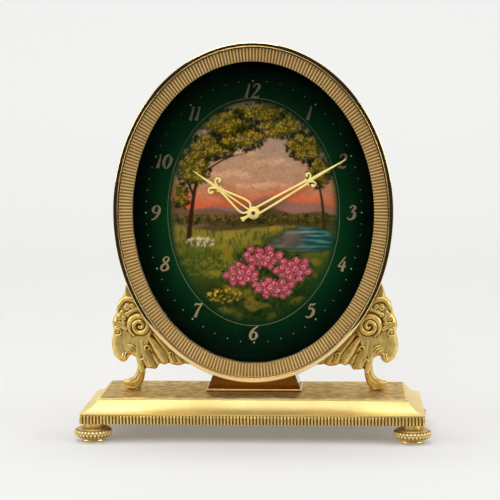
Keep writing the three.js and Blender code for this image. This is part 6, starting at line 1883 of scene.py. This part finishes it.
@dataclass
class Hands:
    """Pierced gilt hands at ten past ten, and the nut that holds them."""

    thickness: float = 0.5
    hour_middle: float = -4.35
    minute_middle: float = -5.45
    minute_length: float = 53.5
    minute_crossbar: float = 30.8
    hour_length: float = 36.9
    hour_crossbar: float = 20.9
    tail: float = 6.8
    rail: float = 0.52
    minute_turn: float = 60.0
    hour_turn: float = 305.0
    nut_front: float = -5.86
    curl: tuple[Triple, ...] = (
        (0.25, -0.5, 0.5), (0.55, 1.5, 0.5), (1.5, 3.2, 0.48), (2.9, 3.9, 0.46), (3.9, 3.0, 0.46),
        (3.7, 1.9, 0.5), (3.0, 1.75, 0.55),
    )

    def bar(self, points: Stations, middle: float, count: int = 24) -> Surface:
        """A domed bar of a hand along a smooth curve of x, distance out and half-width."""
        return strip(points, middle, self.thickness / 2, count, 14)

    def boss(self, radius: float, bore: float, middle: float) -> Surface:
        """The ring at a hand's centre, turned from a rounded section.

        Args:
            radius: Its outer radius.
            bore: Its inner radius.
            middle: Its place along Y.

        Returns:
            The ring.
        """
        half, ease = self.thickness / 2, 0.2
        ring = np.array([
            [bore, -half], [radius - ease, -half], [radius, ease - half], [radius, half - ease],
            [radius - ease, half], [bore, half],
        ])
        reach, depth, angle = ring[:, :1], ring[:, 1:], steps(48)
        return tubular(stacked(reach * np.cos(angle), middle + depth, reach * np.sin(angle)))

    def curls(self, crossbar: float, middle: float, size: float) -> list[Surface]:
        """The two curls past the crossbar: each leaves the needle, sweeps out and rolls in to a round end.

        Args:
            crossbar: Distance of the crossbar from the centre.
            middle: Place along Y.
            size: Scale of the curls.

        Returns:
            Their bars and ends.
        """
        end = lathe(np.array([[0.0, -0.25], [0.5, -0.22], [0.72, 0.0], [0.5, 0.22], [0.0, 0.25]]), 20)
        shapes = []
        for side in BOTH_SIDES:
            points = [(side * size * x, crossbar + size * z, half) for x, z, half in self.curl]
            shapes.append(self.bar(points, middle, 36))
            shapes.append(along_y(end, side * size * 3.05, crossbar + size * 1.9).moved(y=middle))
        return shapes

    def minute(self) -> Surface:
        """The minute hand towards twelve: two rails up to a crossbar, needle, flared tail and curls.

        Returns:
            The hand.
        """
        m, bar = self.minute_middle, self.minute_crossbar
        rail = ((1.6, 1.5), (1.45, 12.0), (0.75, bar))
        bars = [[(side * x, z, self.rail) for x, z in rail] for side in BOTH_SIDES]
        bars.append([(0.0, bar - 0.8, 0.8), (0.0, bar + 8.0, 0.68), (0.0, self.minute_length, 0.2)])
        bars.append([(-1.9, bar, 0.44), (0.0, bar, 0.48), (1.9, bar, 0.44)])
        bars.append([(0.0, -2.0, 0.7), (0.0, -4.6, 0.75), (0.0, -self.tail, 1.25)])
        shapes = [self.boss(2.9, 1.15, m), *(self.bar(points, m) for points in bars)]
        return merged([*shapes, *self.curls(bar, m, 0.92)])

    def hour(self) -> Surface:
        """The hour hand towards twelve: a centre bar between two bows, a needle, a crossbar and curls.

        Returns:
            The hand.
        """
        m, bar = self.hour_middle, self.hour_crossbar
        bow = [(1.2, 2.6), (3.0, 4.2), (3.2, 7.0), (2.1, 12.5), (1.1, 17.0), (0.5, bar)]
        bars = [[(0.0, 2.6, 0.42), (0.0, 10.0, 0.4), (0.0, bar, 0.45)]]
        bars.append([(0.0, bar - 0.5, 0.8), (0.0, bar + 6.0, 0.6), (0.0, self.hour_length, 0.18)])
        bars.append([(-1.8, bar, 0.44), (0.0, bar, 0.48), (1.8, bar, 0.44)])
        shapes = [self.boss(3.2, 2.05, m), *(self.bar(points, m) for points in bars)]
        shapes += [self.bar([(side * x, z, self.rail) for x, z in bow], m, 40) for side in BOTH_SIDES]
        return merged([*shapes, *self.curls(bar, m, 1.08)])

    def nut(self) -> Surface:
        """The domed nut with the arbor's dimple in its middle.

        Returns:
            The nut in its place.
        """
        profile = np.array([
            [0.0, 0.0], [2.2, 0.0], [2.2, -0.3], [2.0, -0.62], [1.6, -0.82], [1.25, -0.87], [1.05, -0.8],
            [0.95, -0.45], [0.0, -0.4],
        ])
        return along_y(lathe(profile, 40), 0.0, LAYOUT.centre_z).moved(y=self.nut_front)

    def build(self) -> None:
        """Makes both hands and the nut, each at its angle."""
        minute = self.minute().moved(z=LAYOUT.centre_z).turned(self.minute_turn)
        hour = self.hour().moved(z=LAYOUT.centre_z).turned(self.hour_turn)
        add_piece("gilt_minute_hand", minute, PALETTE.hand, Slot.GILT, Body.MINUTE, ["minute_hand"])
        add_piece("gilt_hour_hand", hour, PALETTE.hand, Slot.GILT, Body.HOUR, ["hour_hand"])
        add_piece("gilt_hand_nut", self.nut(), PALETTE.hand, Slot.GILT, Body.MINUTE, ["hand_nut"])


@dataclass
class RamBrackets:
    """The two cast brackets: a ram's head with horns and wool over acanthus, on a curled leg.

    Three cushion-edged masses give the outline, and horns, curls, lips and leaf lobes lie on their faces. All
    are fused into one skin and eased, as a casting is. Shapes are laid out in millimetres from the anchor on
    the oval, with their depth from the bracket's middle plane, and are the same on both faces.
    """

    anchor_x: float = 53.393
    anchor_z: float = 56.942
    seat_gap: float = 0.3
    drum_inset: float = 1.2
    voxel: float = 0.24
    near_reach: int = 6
    far_reach: int = 14
    leaf_eyes: tuple[Triple, ...] = ((0.9, -14.2, 1.15), (3.2, -20.6, 0.8), (-11.4, -17.3, 0.9))

    @staticmethod
    def slab(outline: Stations, half: float, ease: float, count: int = 160) -> Surface:
        """A mass with a rounded edge.

        The outline shrinks with one minus the cosine of a turn while the depth grows with its sine.

        Args:
            outline: Corners by x and z, joined by a smooth closed curve.
            half: Half the depth.
            ease: How far the outline has shrunk at the faces.
            count: Points round it.

        Returns:
            The mass, with flat faces.
        """
        ring = smoothed([*outline, outline[0]], count + 1)[:-1]
        ahead = np.roll(ring, -1, axis=0)
        if np.sum(ring[:, 0] * ahead[:, 1] - ring[:, 1] * ahead[:, 0]) < 0.0:
            ring = ring[::-1]
        along = unit(np.roll(ring, -1, axis=0) - np.roll(ring, 1, axis=0))
        turn = np.linspace(-np.pi / 2, np.pi / 2, 9)[:, None]
        shrink = ease * (1.0 - np.cos(turn))
        x, z = ring[:, 0] - along[:, 1] * shrink, ring[:, 1] + along[:, 0] * shrink
        return closed(stacked(x, half * np.sin(turn), z))

    @staticmethod
    def lobe(stations: Stations, y: float, half: float) -> Surface:
        """A flat leaf lobe through stations of x, z and half-width at one depth."""
        return strip(stations, y, half, 30, 16, 0.05)

    @staticmethod
    def cord(stations: Stations, y: float, count: int = 30) -> Surface:
        """A round cord through stations of x, z and radius at one depth."""
        return strip(stations, y, None, count, 12, 0.05)

    @staticmethod
    def coil(
        middle: Triple, radius: float, thick: float, start: float = 0.0, turns: float = 1.2, rise: float = 0.0
    ) -> Surface:
        """A coil on a face: its radius shrinks evenly with the turn while the cord swells, thins and rises.

        Args:
            middle: Middle along X and Z, and depth of the outer end.
            radius: Outer radius of the middle line.
            thick: Cord radius at the outer end.
            start: Angle of the outer end in degrees.
            turns: Number of turns.
            rise: Change of depth up to the inner end.

        Returns:
            The coil.
        """
        x, z, y = middle
        share = np.linspace(0.0, 1.0, int(34 * turns) + 8)
        angle = np.radians(start) + TURN * turns * share
        reach = radius * (1.0 - 0.82 * share)
        half = thick * (1.0 - 0.5 * share) * np.minimum(1.0, 0.3 + 5.0 * share)
        path = stacked(x + reach * np.cos(angle), y + rise * share, z + reach * np.sin(angle))
        return tube(path, stacked(half, half), 12)

    def masses(self) -> list[Surface]:
        """Head with crest, leaf, and leg with its toe, as seen from the front.

        Returns:
            The three masses.
        """
        head = [
            (10.2, 18.6), (11.6, 17.0), (13.3, 12.1), (15.6, 9.3), (16.9, 3.6), (18.3, 0.9), (19.0, -2.3),
            (18.3, -5.4), (18.5, -7.4), (19.4, -11.8), (19.1, -15.6), (18.0, -18.8), (15.7, -21.0),
            (13.2, -21.9), (11.4, -20.8), (10.0, -18.3), (7.4, -19.2), (3.0, -20.0), (-1.0, -11.0),
            (-2.2, -4.0), (2.6, 4.6), (6.2, 11.6),
        ]
        leaf = [
            (6.6, -9.0), (6.5, -20.8), (4.8, -24.6), (2.0, -24.9), (-0.2, -25.3), (-3.2, -25.4),
            (-4.3, -24.0), (-5.4, -22.6), (-7.4, -23.3), (-9.9, -22.5), (-12.5, -23.4), (-15.7, -23.6),
            (-18.0, -22.7), (-20.4, -23.0), (-23.2, -22.0), (-18.0, -18.2), (-13.0, -14.2), (-8.2, -9.8),
            (-3.6, -4.8), (1.0, -2.0),
        ]
        foot = LAYOUT.base_top - self.anchor_z
        leg = [
            (7.4, -16.0), (6.5, -21.0), (6.4, -23.4), (6.9, -26.6), (8.3, -29.0), (10.6, -30.4),
            (13.7, -31.2), (13.9, -32.2), (13.2, -33.9), (11.6, foot + 0.5), (9.4, foot - 0.2),
            (6.6, foot - 0.1), (4.3, -33.6), (2.9, -30.4), (2.2, -26.5), (2.0, -22.0), (2.6, -16.0),
        ]
        return [self.slab(head, 3.7, 2.6), self.slab(leaf, 2.6, 1.5), self.slab(leg, 2.6, 1.7)]

    def face(self) -> list[Surface]:
        """Horn, brow, cheek, muzzle, eye, lids, jaw strokes, nostril and lip.

        Returns:
            Their coils, lobes and cords.
        """
        coils = [
            ((4.5, -2.7, 3.9), 5.9, 1.65, -62.0, 1.9, 0.9),
            ((4.9, -3.6, 5.0), 0.5, 0.55, 0.0, 1.0),
            ((15.9, -6.1, 3.85), 0.3, 0.66, 0.0, 1.0),
        ]
        lobes = [
            ([(11.0, -4.4, 1.4), (14.2, -3.2, 2.0), (17.6, -4.4, 1.0)], 2.3, 1.85),
            ([(8.6, -5.4, 2.6), (11.6, -10.4, 4.2), (10.4, -15.6, 2.6)], 1.8, 2.15),
            ([(15.4, -4.6, 2.2), (15.3, -9.8, 3.5), (14.9, -14.8, 3.9), (14.0, -19.2, 2.6)], 1.6, 2.35),
        ]
        cords = [
            ([(13.9, -6.7, 0.3), (14.8, -5.0, 0.48), (16.5, -4.7, 0.5), (17.9, -5.9, 0.3)], 3.95),
            ([(13.7, -6.5, 0.25), (15.0, -7.6, 0.42), (16.6, -7.6, 0.42), (17.8, -6.5, 0.25)], 3.95),
            ([(6.8, -14.9, 0.2), (8.3, -13.3, 0.42), (11.2, -12.6, 0.2)], 3.85),
            ([(7.2, -16.2, 0.2), (9.0, -14.4, 0.42), (11.4, -13.6, 0.2)], 3.85),
            ([(8.2, -17.0, 0.2), (9.6, -15.6, 0.38), (11.4, -14.8, 0.2)], 3.85),
            ([(11.8, -16.6, 0.25), (12.1, -18.6, 0.5), (13.0, -20.6, 0.4)], 4.0),
            ([(13.1, -16.9, 0.2), (13.4, -18.6, 0.42), (14.1, -20.4, 0.3)], 4.0),
            ([(10.6, -17.6, 0.4), (11.3, -19.2, 0.8), (12.8, -20.9, 0.6)], 2.8),
        ]
        shapes = [self.coil(*coil) for coil in coils]
        shapes += [self.lobe(*lobe) for lobe in lobes]
        return shapes + [self.cord(*cord) for cord in cords]

    def wool(self) -> list[Surface]:
        """The fleece: upright tufts round the horn, ringlets along the brow, and a rolled lock above them.

        Returns:
            Their cords.
        """
        shapes = []
        for turn in np.radians(np.arange(46.0, 116.0, 7.5)):
            hair = ((7.5, 0.3), (8.3, 0.5), (9.2, 0.28))
            tuft = [(4.5 + r * np.cos(turn), -2.7 + r * np.sin(turn), half) for r, half in hair]
            shapes.append(self.cord(tuft, 3.75, 12))
        ringlets = [
            (8.3, 7.0, 0.95), (11.0, 6.6, 1.3), (10.9, 3.0, 0.95), (13.4, 3.6, 1.05), (12.6, 0.9, 0.9),
            (15.0, 1.0, 1.05), (13.0, -1.5, 0.75), (15.2, -1.6, 0.85), (16.9, -1.2, 0.75),
        ]
        for k, (x, z, r) in enumerate(ringlets):
            turn, reach = np.radians(70.0 * k + np.linspace(0.0, 470.0, 11)), r * np.linspace(1.1, 0.3, 11)
            curl = stacked(x + reach * np.cos(turn), z + reach * np.sin(turn), 0.44)
            shapes.append(self.cord(curl, 3.75, 34))
        lock = [
            (4.8, 6.2, 0.5), (6.8, 9.4, 1.0), (10.2, 10.9, 1.25), (13.0, 9.9, 1.2), (14.9, 7.4, 1.0),
            (15.9, 4.2, 0.5),
        ]
        return [*shapes, self.cord(lock, 3.3)]

    def crest(self) -> list[Surface]:
        """The folds of the leaf that rises along the oval above the head."""
        fold = self.lobe([(9.4, 11.4, 1.6), (10.6, 14.6, 1.5), (10.9, 18.0, 0.4)], 1.9, 1.7)
        return [fold, self.cord([(8.2, 11.8, 0.5), (9.6, 14.6, 0.5), (10.5, 17.6, 0.2)], 3.1)]

    def acanthus(self) -> list[Surface]:
        """The lobes that fall from the horn to the leaf's scalloped edge, its eyes, and the leg's curl.

        Returns:
            Their lobes, cords and coil.
        """
        lobes = [
            ([(-16.6, -18.6, 0.7), (-19.0, -20.6, 1.5), (-21.6, -22.2, 0.8)], 1.5),
            ([(-11.6, -14.4, 0.9), (-14.2, -18.2, 2.2), (-16.8, -22.4, 1.3)], 1.7),
            ([(-2.4, -6.6, 0.9), (-6.8, -12.0, 1.9), (-10.4, -17.2, 2.6), (-12.6, -22.2, 1.6)], 2.0),
            ([(0.2, -8.6, 1.0), (-3.4, -13.6, 2.1), (-6.6, -18.4, 2.7), (-8.4, -22.2, 1.7)], 2.4),
            ([(-1.8, -17.0, 0.5), (-3.8, -20.4, 1.4), (-5.0, -22.6, 1.0)], 2.3),
            ([(4.0, -10.6, 1.0), (2.4, -16.0, 2.2), (0.4, -20.6, 3.0), (-1.0, -24.0, 2.2)], 2.6),
            ([(6.4, -10.4, 1.1), (5.6, -16.6, 1.5), (4.4, -22.0, 1.7), (3.6, -27.0, 1.1)], 2.5),
        ]
        cords = [
            ([(3.0, -14.4, 0.2), (1.2, -19.0, 0.4), (-0.6, -23.4, 0.25)], 3.75),
            ([(3.8, -15.6, 0.2), (2.4, -19.6, 0.35), (1.2, -23.0, 0.2)], 3.75),
            ([(-2.0, -11.8, 0.2), (-5.4, -16.6, 0.4), (-7.8, -21.0, 0.2)], 3.45),
            ([(-5.6, -11.0, 0.2), (-9.4, -15.8, 0.4), (-12.0, -20.8, 0.2)], 3.45),
            ([(4.2, -24.0, 0.3), (4.8, -28.6, 0.5), (7.2, -31.8, 0.5), (12.6, -32.4, 0.3)], 2.4),
        ]
        shapes = [self.lobe(*lobe, 1.4) for lobe in lobes]
        shapes += [self.cord(*cord) for cord in cords]
        turn = np.radians(np.linspace(-40.0, 240.0, 7))
        for x, z, r in self.leaf_eyes:
            eye = stacked(x + r * np.cos(turn), z + r * np.sin(turn), 0.42)
            shapes.append(self.cord(eye, 3.8, 26))
        return [*shapes, self.coil((7.6, -33.2, 2.3), 0.8, 0.45, 30.0, 1.1)]

    def laid_out(self) -> Surface:
        """All the shapes of the right bracket, overlapping.

        Returns:
            The shapes in their place.
        """
        carving = merged([*self.face(), *self.wool(), *self.crest(), *self.acanthus()])
        whole = merged([*self.masses(), carving, carving.mirrored(1)])
        return whole.moved(x=self.anchor_x, z=self.anchor_z)

    def fused(self) -> Surface:
        """The shapes as one skin: remeshed in small cells, eased, and kept clear of case and base.

        Returns:
            The casting's skin, one closed mesh.
        """
        laid = self.laid_out()
        mesh = bpy.data.meshes.new("bracket_layout")
        faces = [tuple(face) for group in laid.faces for face in group.tolist()]
        mesh.from_pydata((laid.points * METRE).tolist(), [], faces)
        turned_out(mesh)
        work = in_scene("bracket_layout", mesh)
        remesh = work.modifiers.new("fuse", "REMESH")
        remesh.mode = "VOXEL"
        remesh.voxel_size = self.voxel * METRE
        ease = work.modifiers.new("ease", "SMOOTH")
        ease.factor, ease.iterations = 0.5, 2
        skin = bpy.data.meshes.new_from_object(work.evaluated_get(bpy.context.evaluated_depsgraph_get()))
        bpy.data.objects.remove(work)
        corners = read_out(skin.loops, "vertex_index", np.int64)
        counts = read_out(skin.polygons, "loop_total", np.int64)
        starts = np.concatenate([[0], np.cumsum(counts)[:-1]])
        groups = [corners[starts[counts == n][:, None] + np.arange(n)] for n in np.unique(counts)]
        return Surface(self.cleared(read_out(skin.vertices, "co", float, 3) / METRE), groups)

    def cleared(self, points: Array) -> Array:
        """Pushes points out of the case's seat and up off the base plate.

        A point inside the oval goes straight out from its centre to the oval with the seat's offset, which is
        larger beside the bezel than beside the drum.

        Args:
            points: The skin's points in millimetres.

        Returns:
            The points, cleared.
        """
        x, y, z = points.T
        offset = np.where(y < LAYOUT.rim_back + 0.3, self.seat_gap, self.seat_gap - self.drum_inset)
        dz = z - LAYOUT.centre_z
        ratio = np.hypot(x / (LAYOUT.oval_a + offset), dz / (LAYOUT.oval_b + offset))
        grow = np.where(ratio < 1.0, 1.0 / np.maximum(ratio, 0.5), 1.0)
        return stacked(x * grow, y, np.maximum(LAYOUT.centre_z + dz * grow, LAYOUT.base_top + 0.02))

    def hollows(self, mesh: bpy.types.Mesh) -> Array:
        """How deep each point lies in a hollow, which darkens it as painted shade.

        A point's depth below the mean of its neighbours, along its normal, is taken at a near and a far
        reach. The eyes of the leaf count as hollow too and, in part, so does the strip beside the oval, as
        painted shade next to the case.

        Args:
            mesh: The bracket's mesh.

        Returns:
            A number from 0 to 1 for each point.
        """
        points = read_out(mesh.vertices, "co", float, 3) / METRE
        normals = read_out(mesh.vertices, "normal", float, 3)
        a, b = read_out(mesh.edges, "vertices", np.int64, 2).T
        degree = np.maximum(np.bincount(np.concatenate([a, b]), minlength=len(points)), 1)[:, None]
        around, levels = points, []
        for _ in range(self.near_reach + self.far_reach):
            total = np.zeros_like(around)
            np.add.at(total, a, around[b])
            np.add.at(total, b, around[a])
            around = total / degree
            levels.append(np.sum((around - points) * normals, axis=1))
        # painted shade in the hollows, from the near and far depths
        hollow = np.clip(levels[self.near_reach - 1] * 6.6 + levels[-1] * 3.6, 0.0, 1.0)
        x, _, z = points.T
        for eye_x, eye_z, reach in self.leaf_eyes:
            away = np.hypot(np.abs(x) - self.anchor_x - eye_x, z - self.anchor_z - eye_z)
            hollow = np.maximum(hollow, np.exp(-((away / (0.55 * reach)) ** 4)))
        # painted shade along the oval, next to the case
        ratio = np.hypot(x / LAYOUT.oval_a, (z - LAYOUT.centre_z) / LAYOUT.oval_b)
        return np.maximum(hollow, 0.6 * np.exp(-((LAYOUT.oval_b * (ratio - 1.0) / 3.2) ** 2)))

    def build(self) -> None:
        """Makes the right bracket and its mirror image."""
        skin = self.fused()
        for name, surface in (("right", skin), ("left", skin.mirrored())):
            node = f"ram_bracket_{name}"
            piece = add_piece(
                f"cast_bracket_{name}", surface, PALETTE.cast, Slot.MATT_GILT, replaces=[node], crease=80.0
            )
            weigh(piece, self.hollows(piece.data))


@dataclass
class BackFittings:
    """What a hand takes hold of behind the clock: the butterfly key and the setting knob."""

    pipe: float = 3.1
    pipe_front: float = 17.9
    wing: float = 5.0
    wing_lap: float = 0.9
    wing_middle: float = 29.9
    wing_half: float = 0.8
    wing_edge: float = 1.15
    knob_front: float = 22.3
    grips: int = 28
    grip_depth: float = 0.3

    def key(self) -> Surface:
        """The key: a turned pipe with a collar, and two rounded rings as its wings.

        Returns:
            The key in its place.
        """
        profile = np.array([
            [0.0, 0.0], [self.pipe - 0.3, 0.0], [self.pipe, 0.3], [self.pipe, 7.0], [2.7, 7.4], [2.7, 8.2],
            [self.pipe, 8.6], [2.2, 9.5], [0.0, 9.5],
        ])
        pipe = along_y(lathe(profile, 40), LAYOUT.key_x, LAYOUT.key_z).moved(y=self.pipe_front)
        angle, around = steps(56)[:, None], steps(16)
        reach = self.wing - self.wing_edge + self.wing_edge * np.cos(around)
        ring = tubular(stacked(np.cos(angle) * reach, np.sin(angle) * reach, self.wing_half * np.sin(around)))
        wings = []
        for side in BOTH_SIDES:
            middle = LAYOUT.key_x + side * (self.wing - self.wing_lap)
            wings.append(ring.moved(middle, self.wing_middle, LAYOUT.key_z))
        return merged([pipe, *wings])

    def set_knob(self) -> Surface:
        """The knob: a turned barrel whose side is cut by grips, a cosine of the angle in its radius.

        Returns:
            The knob in its place.
        """
        profile = np.array([
            [0.0, 0.0], [4.3, 0.0], [4.8, 0.4], [5.0, 0.8], [5.0, 3.9], [4.7, 4.5], [4.0, 4.9], [2.0, 5.0],
            [1.6, 4.8], [0.0, 4.75],
        ])
        angle = steps(self.grips * 8)
        share = np.clip((profile[:, :1] - 4.2) / 0.6, 0.0, 1.0)
        radius = profile[:, :1] - self.grip_depth * share * (0.5 + 0.5 * np.cos(self.grips * angle))
        turned = turned_rings(radius, profile[:, 1:], angle)
        return along_y(turned, 0.0, LAYOUT.centre_z).moved(y=self.knob_front)

    def build(self) -> None:
        """Makes the key and the knob."""
        add_piece("butterfly_key", self.key(), PALETTE.wheel, Slot.BRASS, Body.WINDING, ["winding_key"])
        add_piece("grip_knob", self.set_knob(), PALETTE.wheel, Slot.BRASS, Body.MINUTE, ["set_knob"])


@dataclass
class InnerWorks:
    """The CAD nodes that keep their own shape: the movement, screws, gasket and bottom plate."""

    blued: tuple[str, ...] = ("mainspring", "hairspring", "click_spring")
    plates: tuple[str, ...] = ("front_plate", "back_plate", "base_bottom_plate", "balance_cock")

    def finish(self, node: str, slot: str) -> Material:
        """The material of one node.

        Args:
            node: Its name.
            slot: Its slot in the record.

        Returns:
            The material.
        """
        if node in self.blued:
            return PALETTE.blued
        if node in self.plates:
            return PALETTE.brass
        return {"steel": PALETTE.steel, "rubber": PALETTE.rubber}.get(slot, PALETTE.wheel)

    def build(self) -> None:
        """Gives every CAD node its material; those that a dressed piece stands for stay hidden."""
        slots = {row["node"]: row["material_slot"] for row in frame["record"]["subparts"]}
        for node, piece in frame["nodes"].items():
            piece.data.materials.clear()
            piece.data.materials.append(self.finish(node, slots.get(node, "brass")))
        LOG.info("materials set on %d CAD nodes", len(frame["nodes"]))


@dataclass
class Studio:
    """Pale floor and backdrop, soft lamps and the camera."""

    focal: float = 122.4
    sensor: float = 36.0
    eye: Triple = (43.71, -852.29, 178.98)
    yaw: float = 0.0536
    pitch: float = 0.1012
    roll: float = -0.0049
    floor_colour: Triple = (0.6, 0.596, 0.584)
    paper_white: Triple = (0.925, 0.925, 0.91)
    floor_front: float = -185.0
    floor_back: float = 900.0
    floor_drop: float = 0.02
    bend: float = 600.0
    wall_top: float = 2600.0
    half_width: float = 3200.0
    floor_glow: float = 0.2
    wall_glow: float = 0.82
    dark_side: float = 0.025
    bright_side: float = 0.85

    def camera(self) -> None:
        """Places the camera from its yaw, pitch and roll."""
        cy, sy, cp, sp = np.cos(self.yaw), np.sin(self.yaw), np.cos(self.pitch), np.sin(self.pitch)
        ahead = Vector((-sy * cp, cy * cp, -sp))
        right = Vector((cy, sy, 0.0))
        tilted = right * np.cos(self.roll) + right.cross(ahead) * np.sin(self.roll)
        turn = Matrix((tilted, tilted.cross(ahead), -ahead)).transposed()
        data = bpy.data.cameras.new("camera")
        data.lens = self.focal
        data.sensor_width = self.sensor
        data.clip_start, data.clip_end = 0.05, 20.0
        camera = in_scene("camera", data)
        camera.matrix_world = Matrix.Translation(Vector(self.eye) * METRE) @ turn.to_4x4()
        bpy.context.scene.camera = camera

    def paper(self) -> Material:
        """The sheet's material.

        Returns:
            Paper with a fibre in its roughness, which also glows, more so far back, for all but diffuse rays.
        """
        material = bpy.data.materials.new("studio paper")
        material.use_nodes = True
        wiring = Wiring(material.node_tree)
        shader = material.node_tree.nodes["Principled BSDF"]
        place = wiring.place()
        fibre = wiring.spread(wiring.noise(place, 900.0, 3.0), 0.3, 0.7, 0.85, 0.95)
        wiring.feed(shader.inputs["Roughness"], fibre)
        wiring.feed(shader.inputs["Base Color"], self.floor_colour)
        wiring.feed(shader.inputs["Specular IOR Level"], 0.2)
        far = wiring.node("SeparateXYZ", Vector=place).outputs["Y"]
        light = wiring.node("LightPath").outputs
        seen = wiring.math("MAXIMUM", light["Is Camera Ray"], light["Is Glossy Ray"])
        seen = wiring.math("MAXIMUM", seen, light["Is Transmission Ray"])
        glow = wiring.node("Emission", Color=self.paper_white, Strength=1.0)
        share = wiring.spread(far, 0.2, 1.3, self.floor_glow, self.wall_glow)
        wiring.either(wiring.math("MULTIPLY", seen, share), shader.outputs["BSDF"], glow.outputs["Emission"])
        return material

    def sweep(self) -> None:
        """Makes the floor and backdrop as one sheet: flat, then a quarter circle up, then a straight wall."""
        turn = np.linspace(0.0, np.pi / 2, 16)
        wall = self.floor_back + self.bend
        y = np.concatenate([[self.floor_front], self.floor_back + self.bend * np.sin(turn), [wall]])
        z = np.concatenate([[0.0], self.bend * (1 - np.cos(turn)), [self.wall_top]]) - self.floor_drop
        x = np.linspace(-self.half_width, self.half_width, 9)
        surface = grid(stacked(x, y[:, None], z[:, None]))
        mesh = bpy.data.meshes.new("studio_sweep")
        mesh.from_pydata((surface.points * METRE).tolist(), [], surface.faces[0].tolist())
        mesh.shade_smooth()
        mesh.materials.append(self.paper())
        sheet = in_scene("studio_sweep", mesh)

    @staticmethod
    def lamp(name: str, place: Triple, aim: Triple, size: Pair, power: float) -> None:
        """Adds one soft rectangular lamp.

        Args:
            name: Name of the lamp.
            place: Where it hangs, in millimetres.
            aim: Where it points.
            size: Its width and height in millimetres.
            power: Its power in watts.
        """
        data = bpy.data.lights.new(name, "AREA")
        data.shape = "RECTANGLE"
        data.size, data.size_y = size[0] * METRE, size[1] * METRE
        data.energy = power
        away = (Vector(aim) - Vector(place)) * METRE
        turn = away.to_track_quat("-Z", "Y").to_matrix().to_4x4()
        in_scene(name, data).matrix_world = Matrix.Translation(Vector(place) * METRE) @ turn

    def world(self) -> None:
        """Makes a room, bright overhead and behind, dark on the camera's side, and white to the camera."""
        world = bpy.data.worlds.new("studio room")
        world.use_nodes = True
        bpy.context.scene.world = world
        wiring = Wiring(world.node_tree)
        way = wiring.node("TexCoord").outputs["Generated"]
        parts = wiring.node("SeparateXYZ", Vector=way).outputs
        above = wiring.spread(parts["Z"], 0.5, 0.9, 0.0, 1.0)
        behind = wiring.spread(parts["Y"], 0.1, 0.5, 0.0, 1.0)
        light = wiring.math("MAXIMUM", above, behind)
        shade = wiring.grey(wiring.spread(light, 0.0, 1.0, self.dark_side, self.bright_side))
        seen = wiring.node("LightPath").outputs["Is Camera Ray"]
        background = world.node_tree.nodes["Background"].inputs
        wiring.feed(background["Color"], wiring.mix(seen, shade, self.paper_white))
        wiring.feed(background["Strength"], 1.0)

    def build(self) -> None:
        """Sets up the view, the sheet, the lamps and the room."""
        bpy.context.scene.view_settings.view_transform = "Standard"
        self.camera()
        self.sweep()
        self.lamp("overhead", (-100.0, -200.0, 1100.0), (0.0, 0.0, 60.0), (1500.0, 1200.0), 4.6)
        self.lamp("front", (-150.0, -950.0, 760.0), (0.0, 0.0, 100.0), (500.0, 300.0), 3.0)
        self.lamp("left", (-900.0, -320.0, 430.0), (0.0, 0.0, 70.0), (600.0, 500.0), 4.5)
        self.lamp("right", (900.0, -280.0, 430.0), (0.0, 0.0, 70.0), (600.0, 500.0), 4.5)
        self.lamp("backdrop", (0.0, 500.0, 1700.0), (0.0, 1500.0, 250.0), (2400.0, 500.0), 22.0)
        self.world()


def main() -> None:
    """Builds every sub-assembly in order, then the studio, and logs each as done."""
    logging.basicConfig(level=logging.INFO, format="%(name)s: %(message)s")
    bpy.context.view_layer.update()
    assemblies = [Plinth(), FlutedBand(), BunFeet(), Pedestal(), Bezel(), Case(), Dial(), Hands()]
    assemblies += [RamBrackets(), BackFittings(), InnerWorks(), Studio()]
    for assembly in assemblies:
        assembly.build()
        LOG.info("%s done", type(assembly).__name__)


if __name__ == "__main__":
    main()
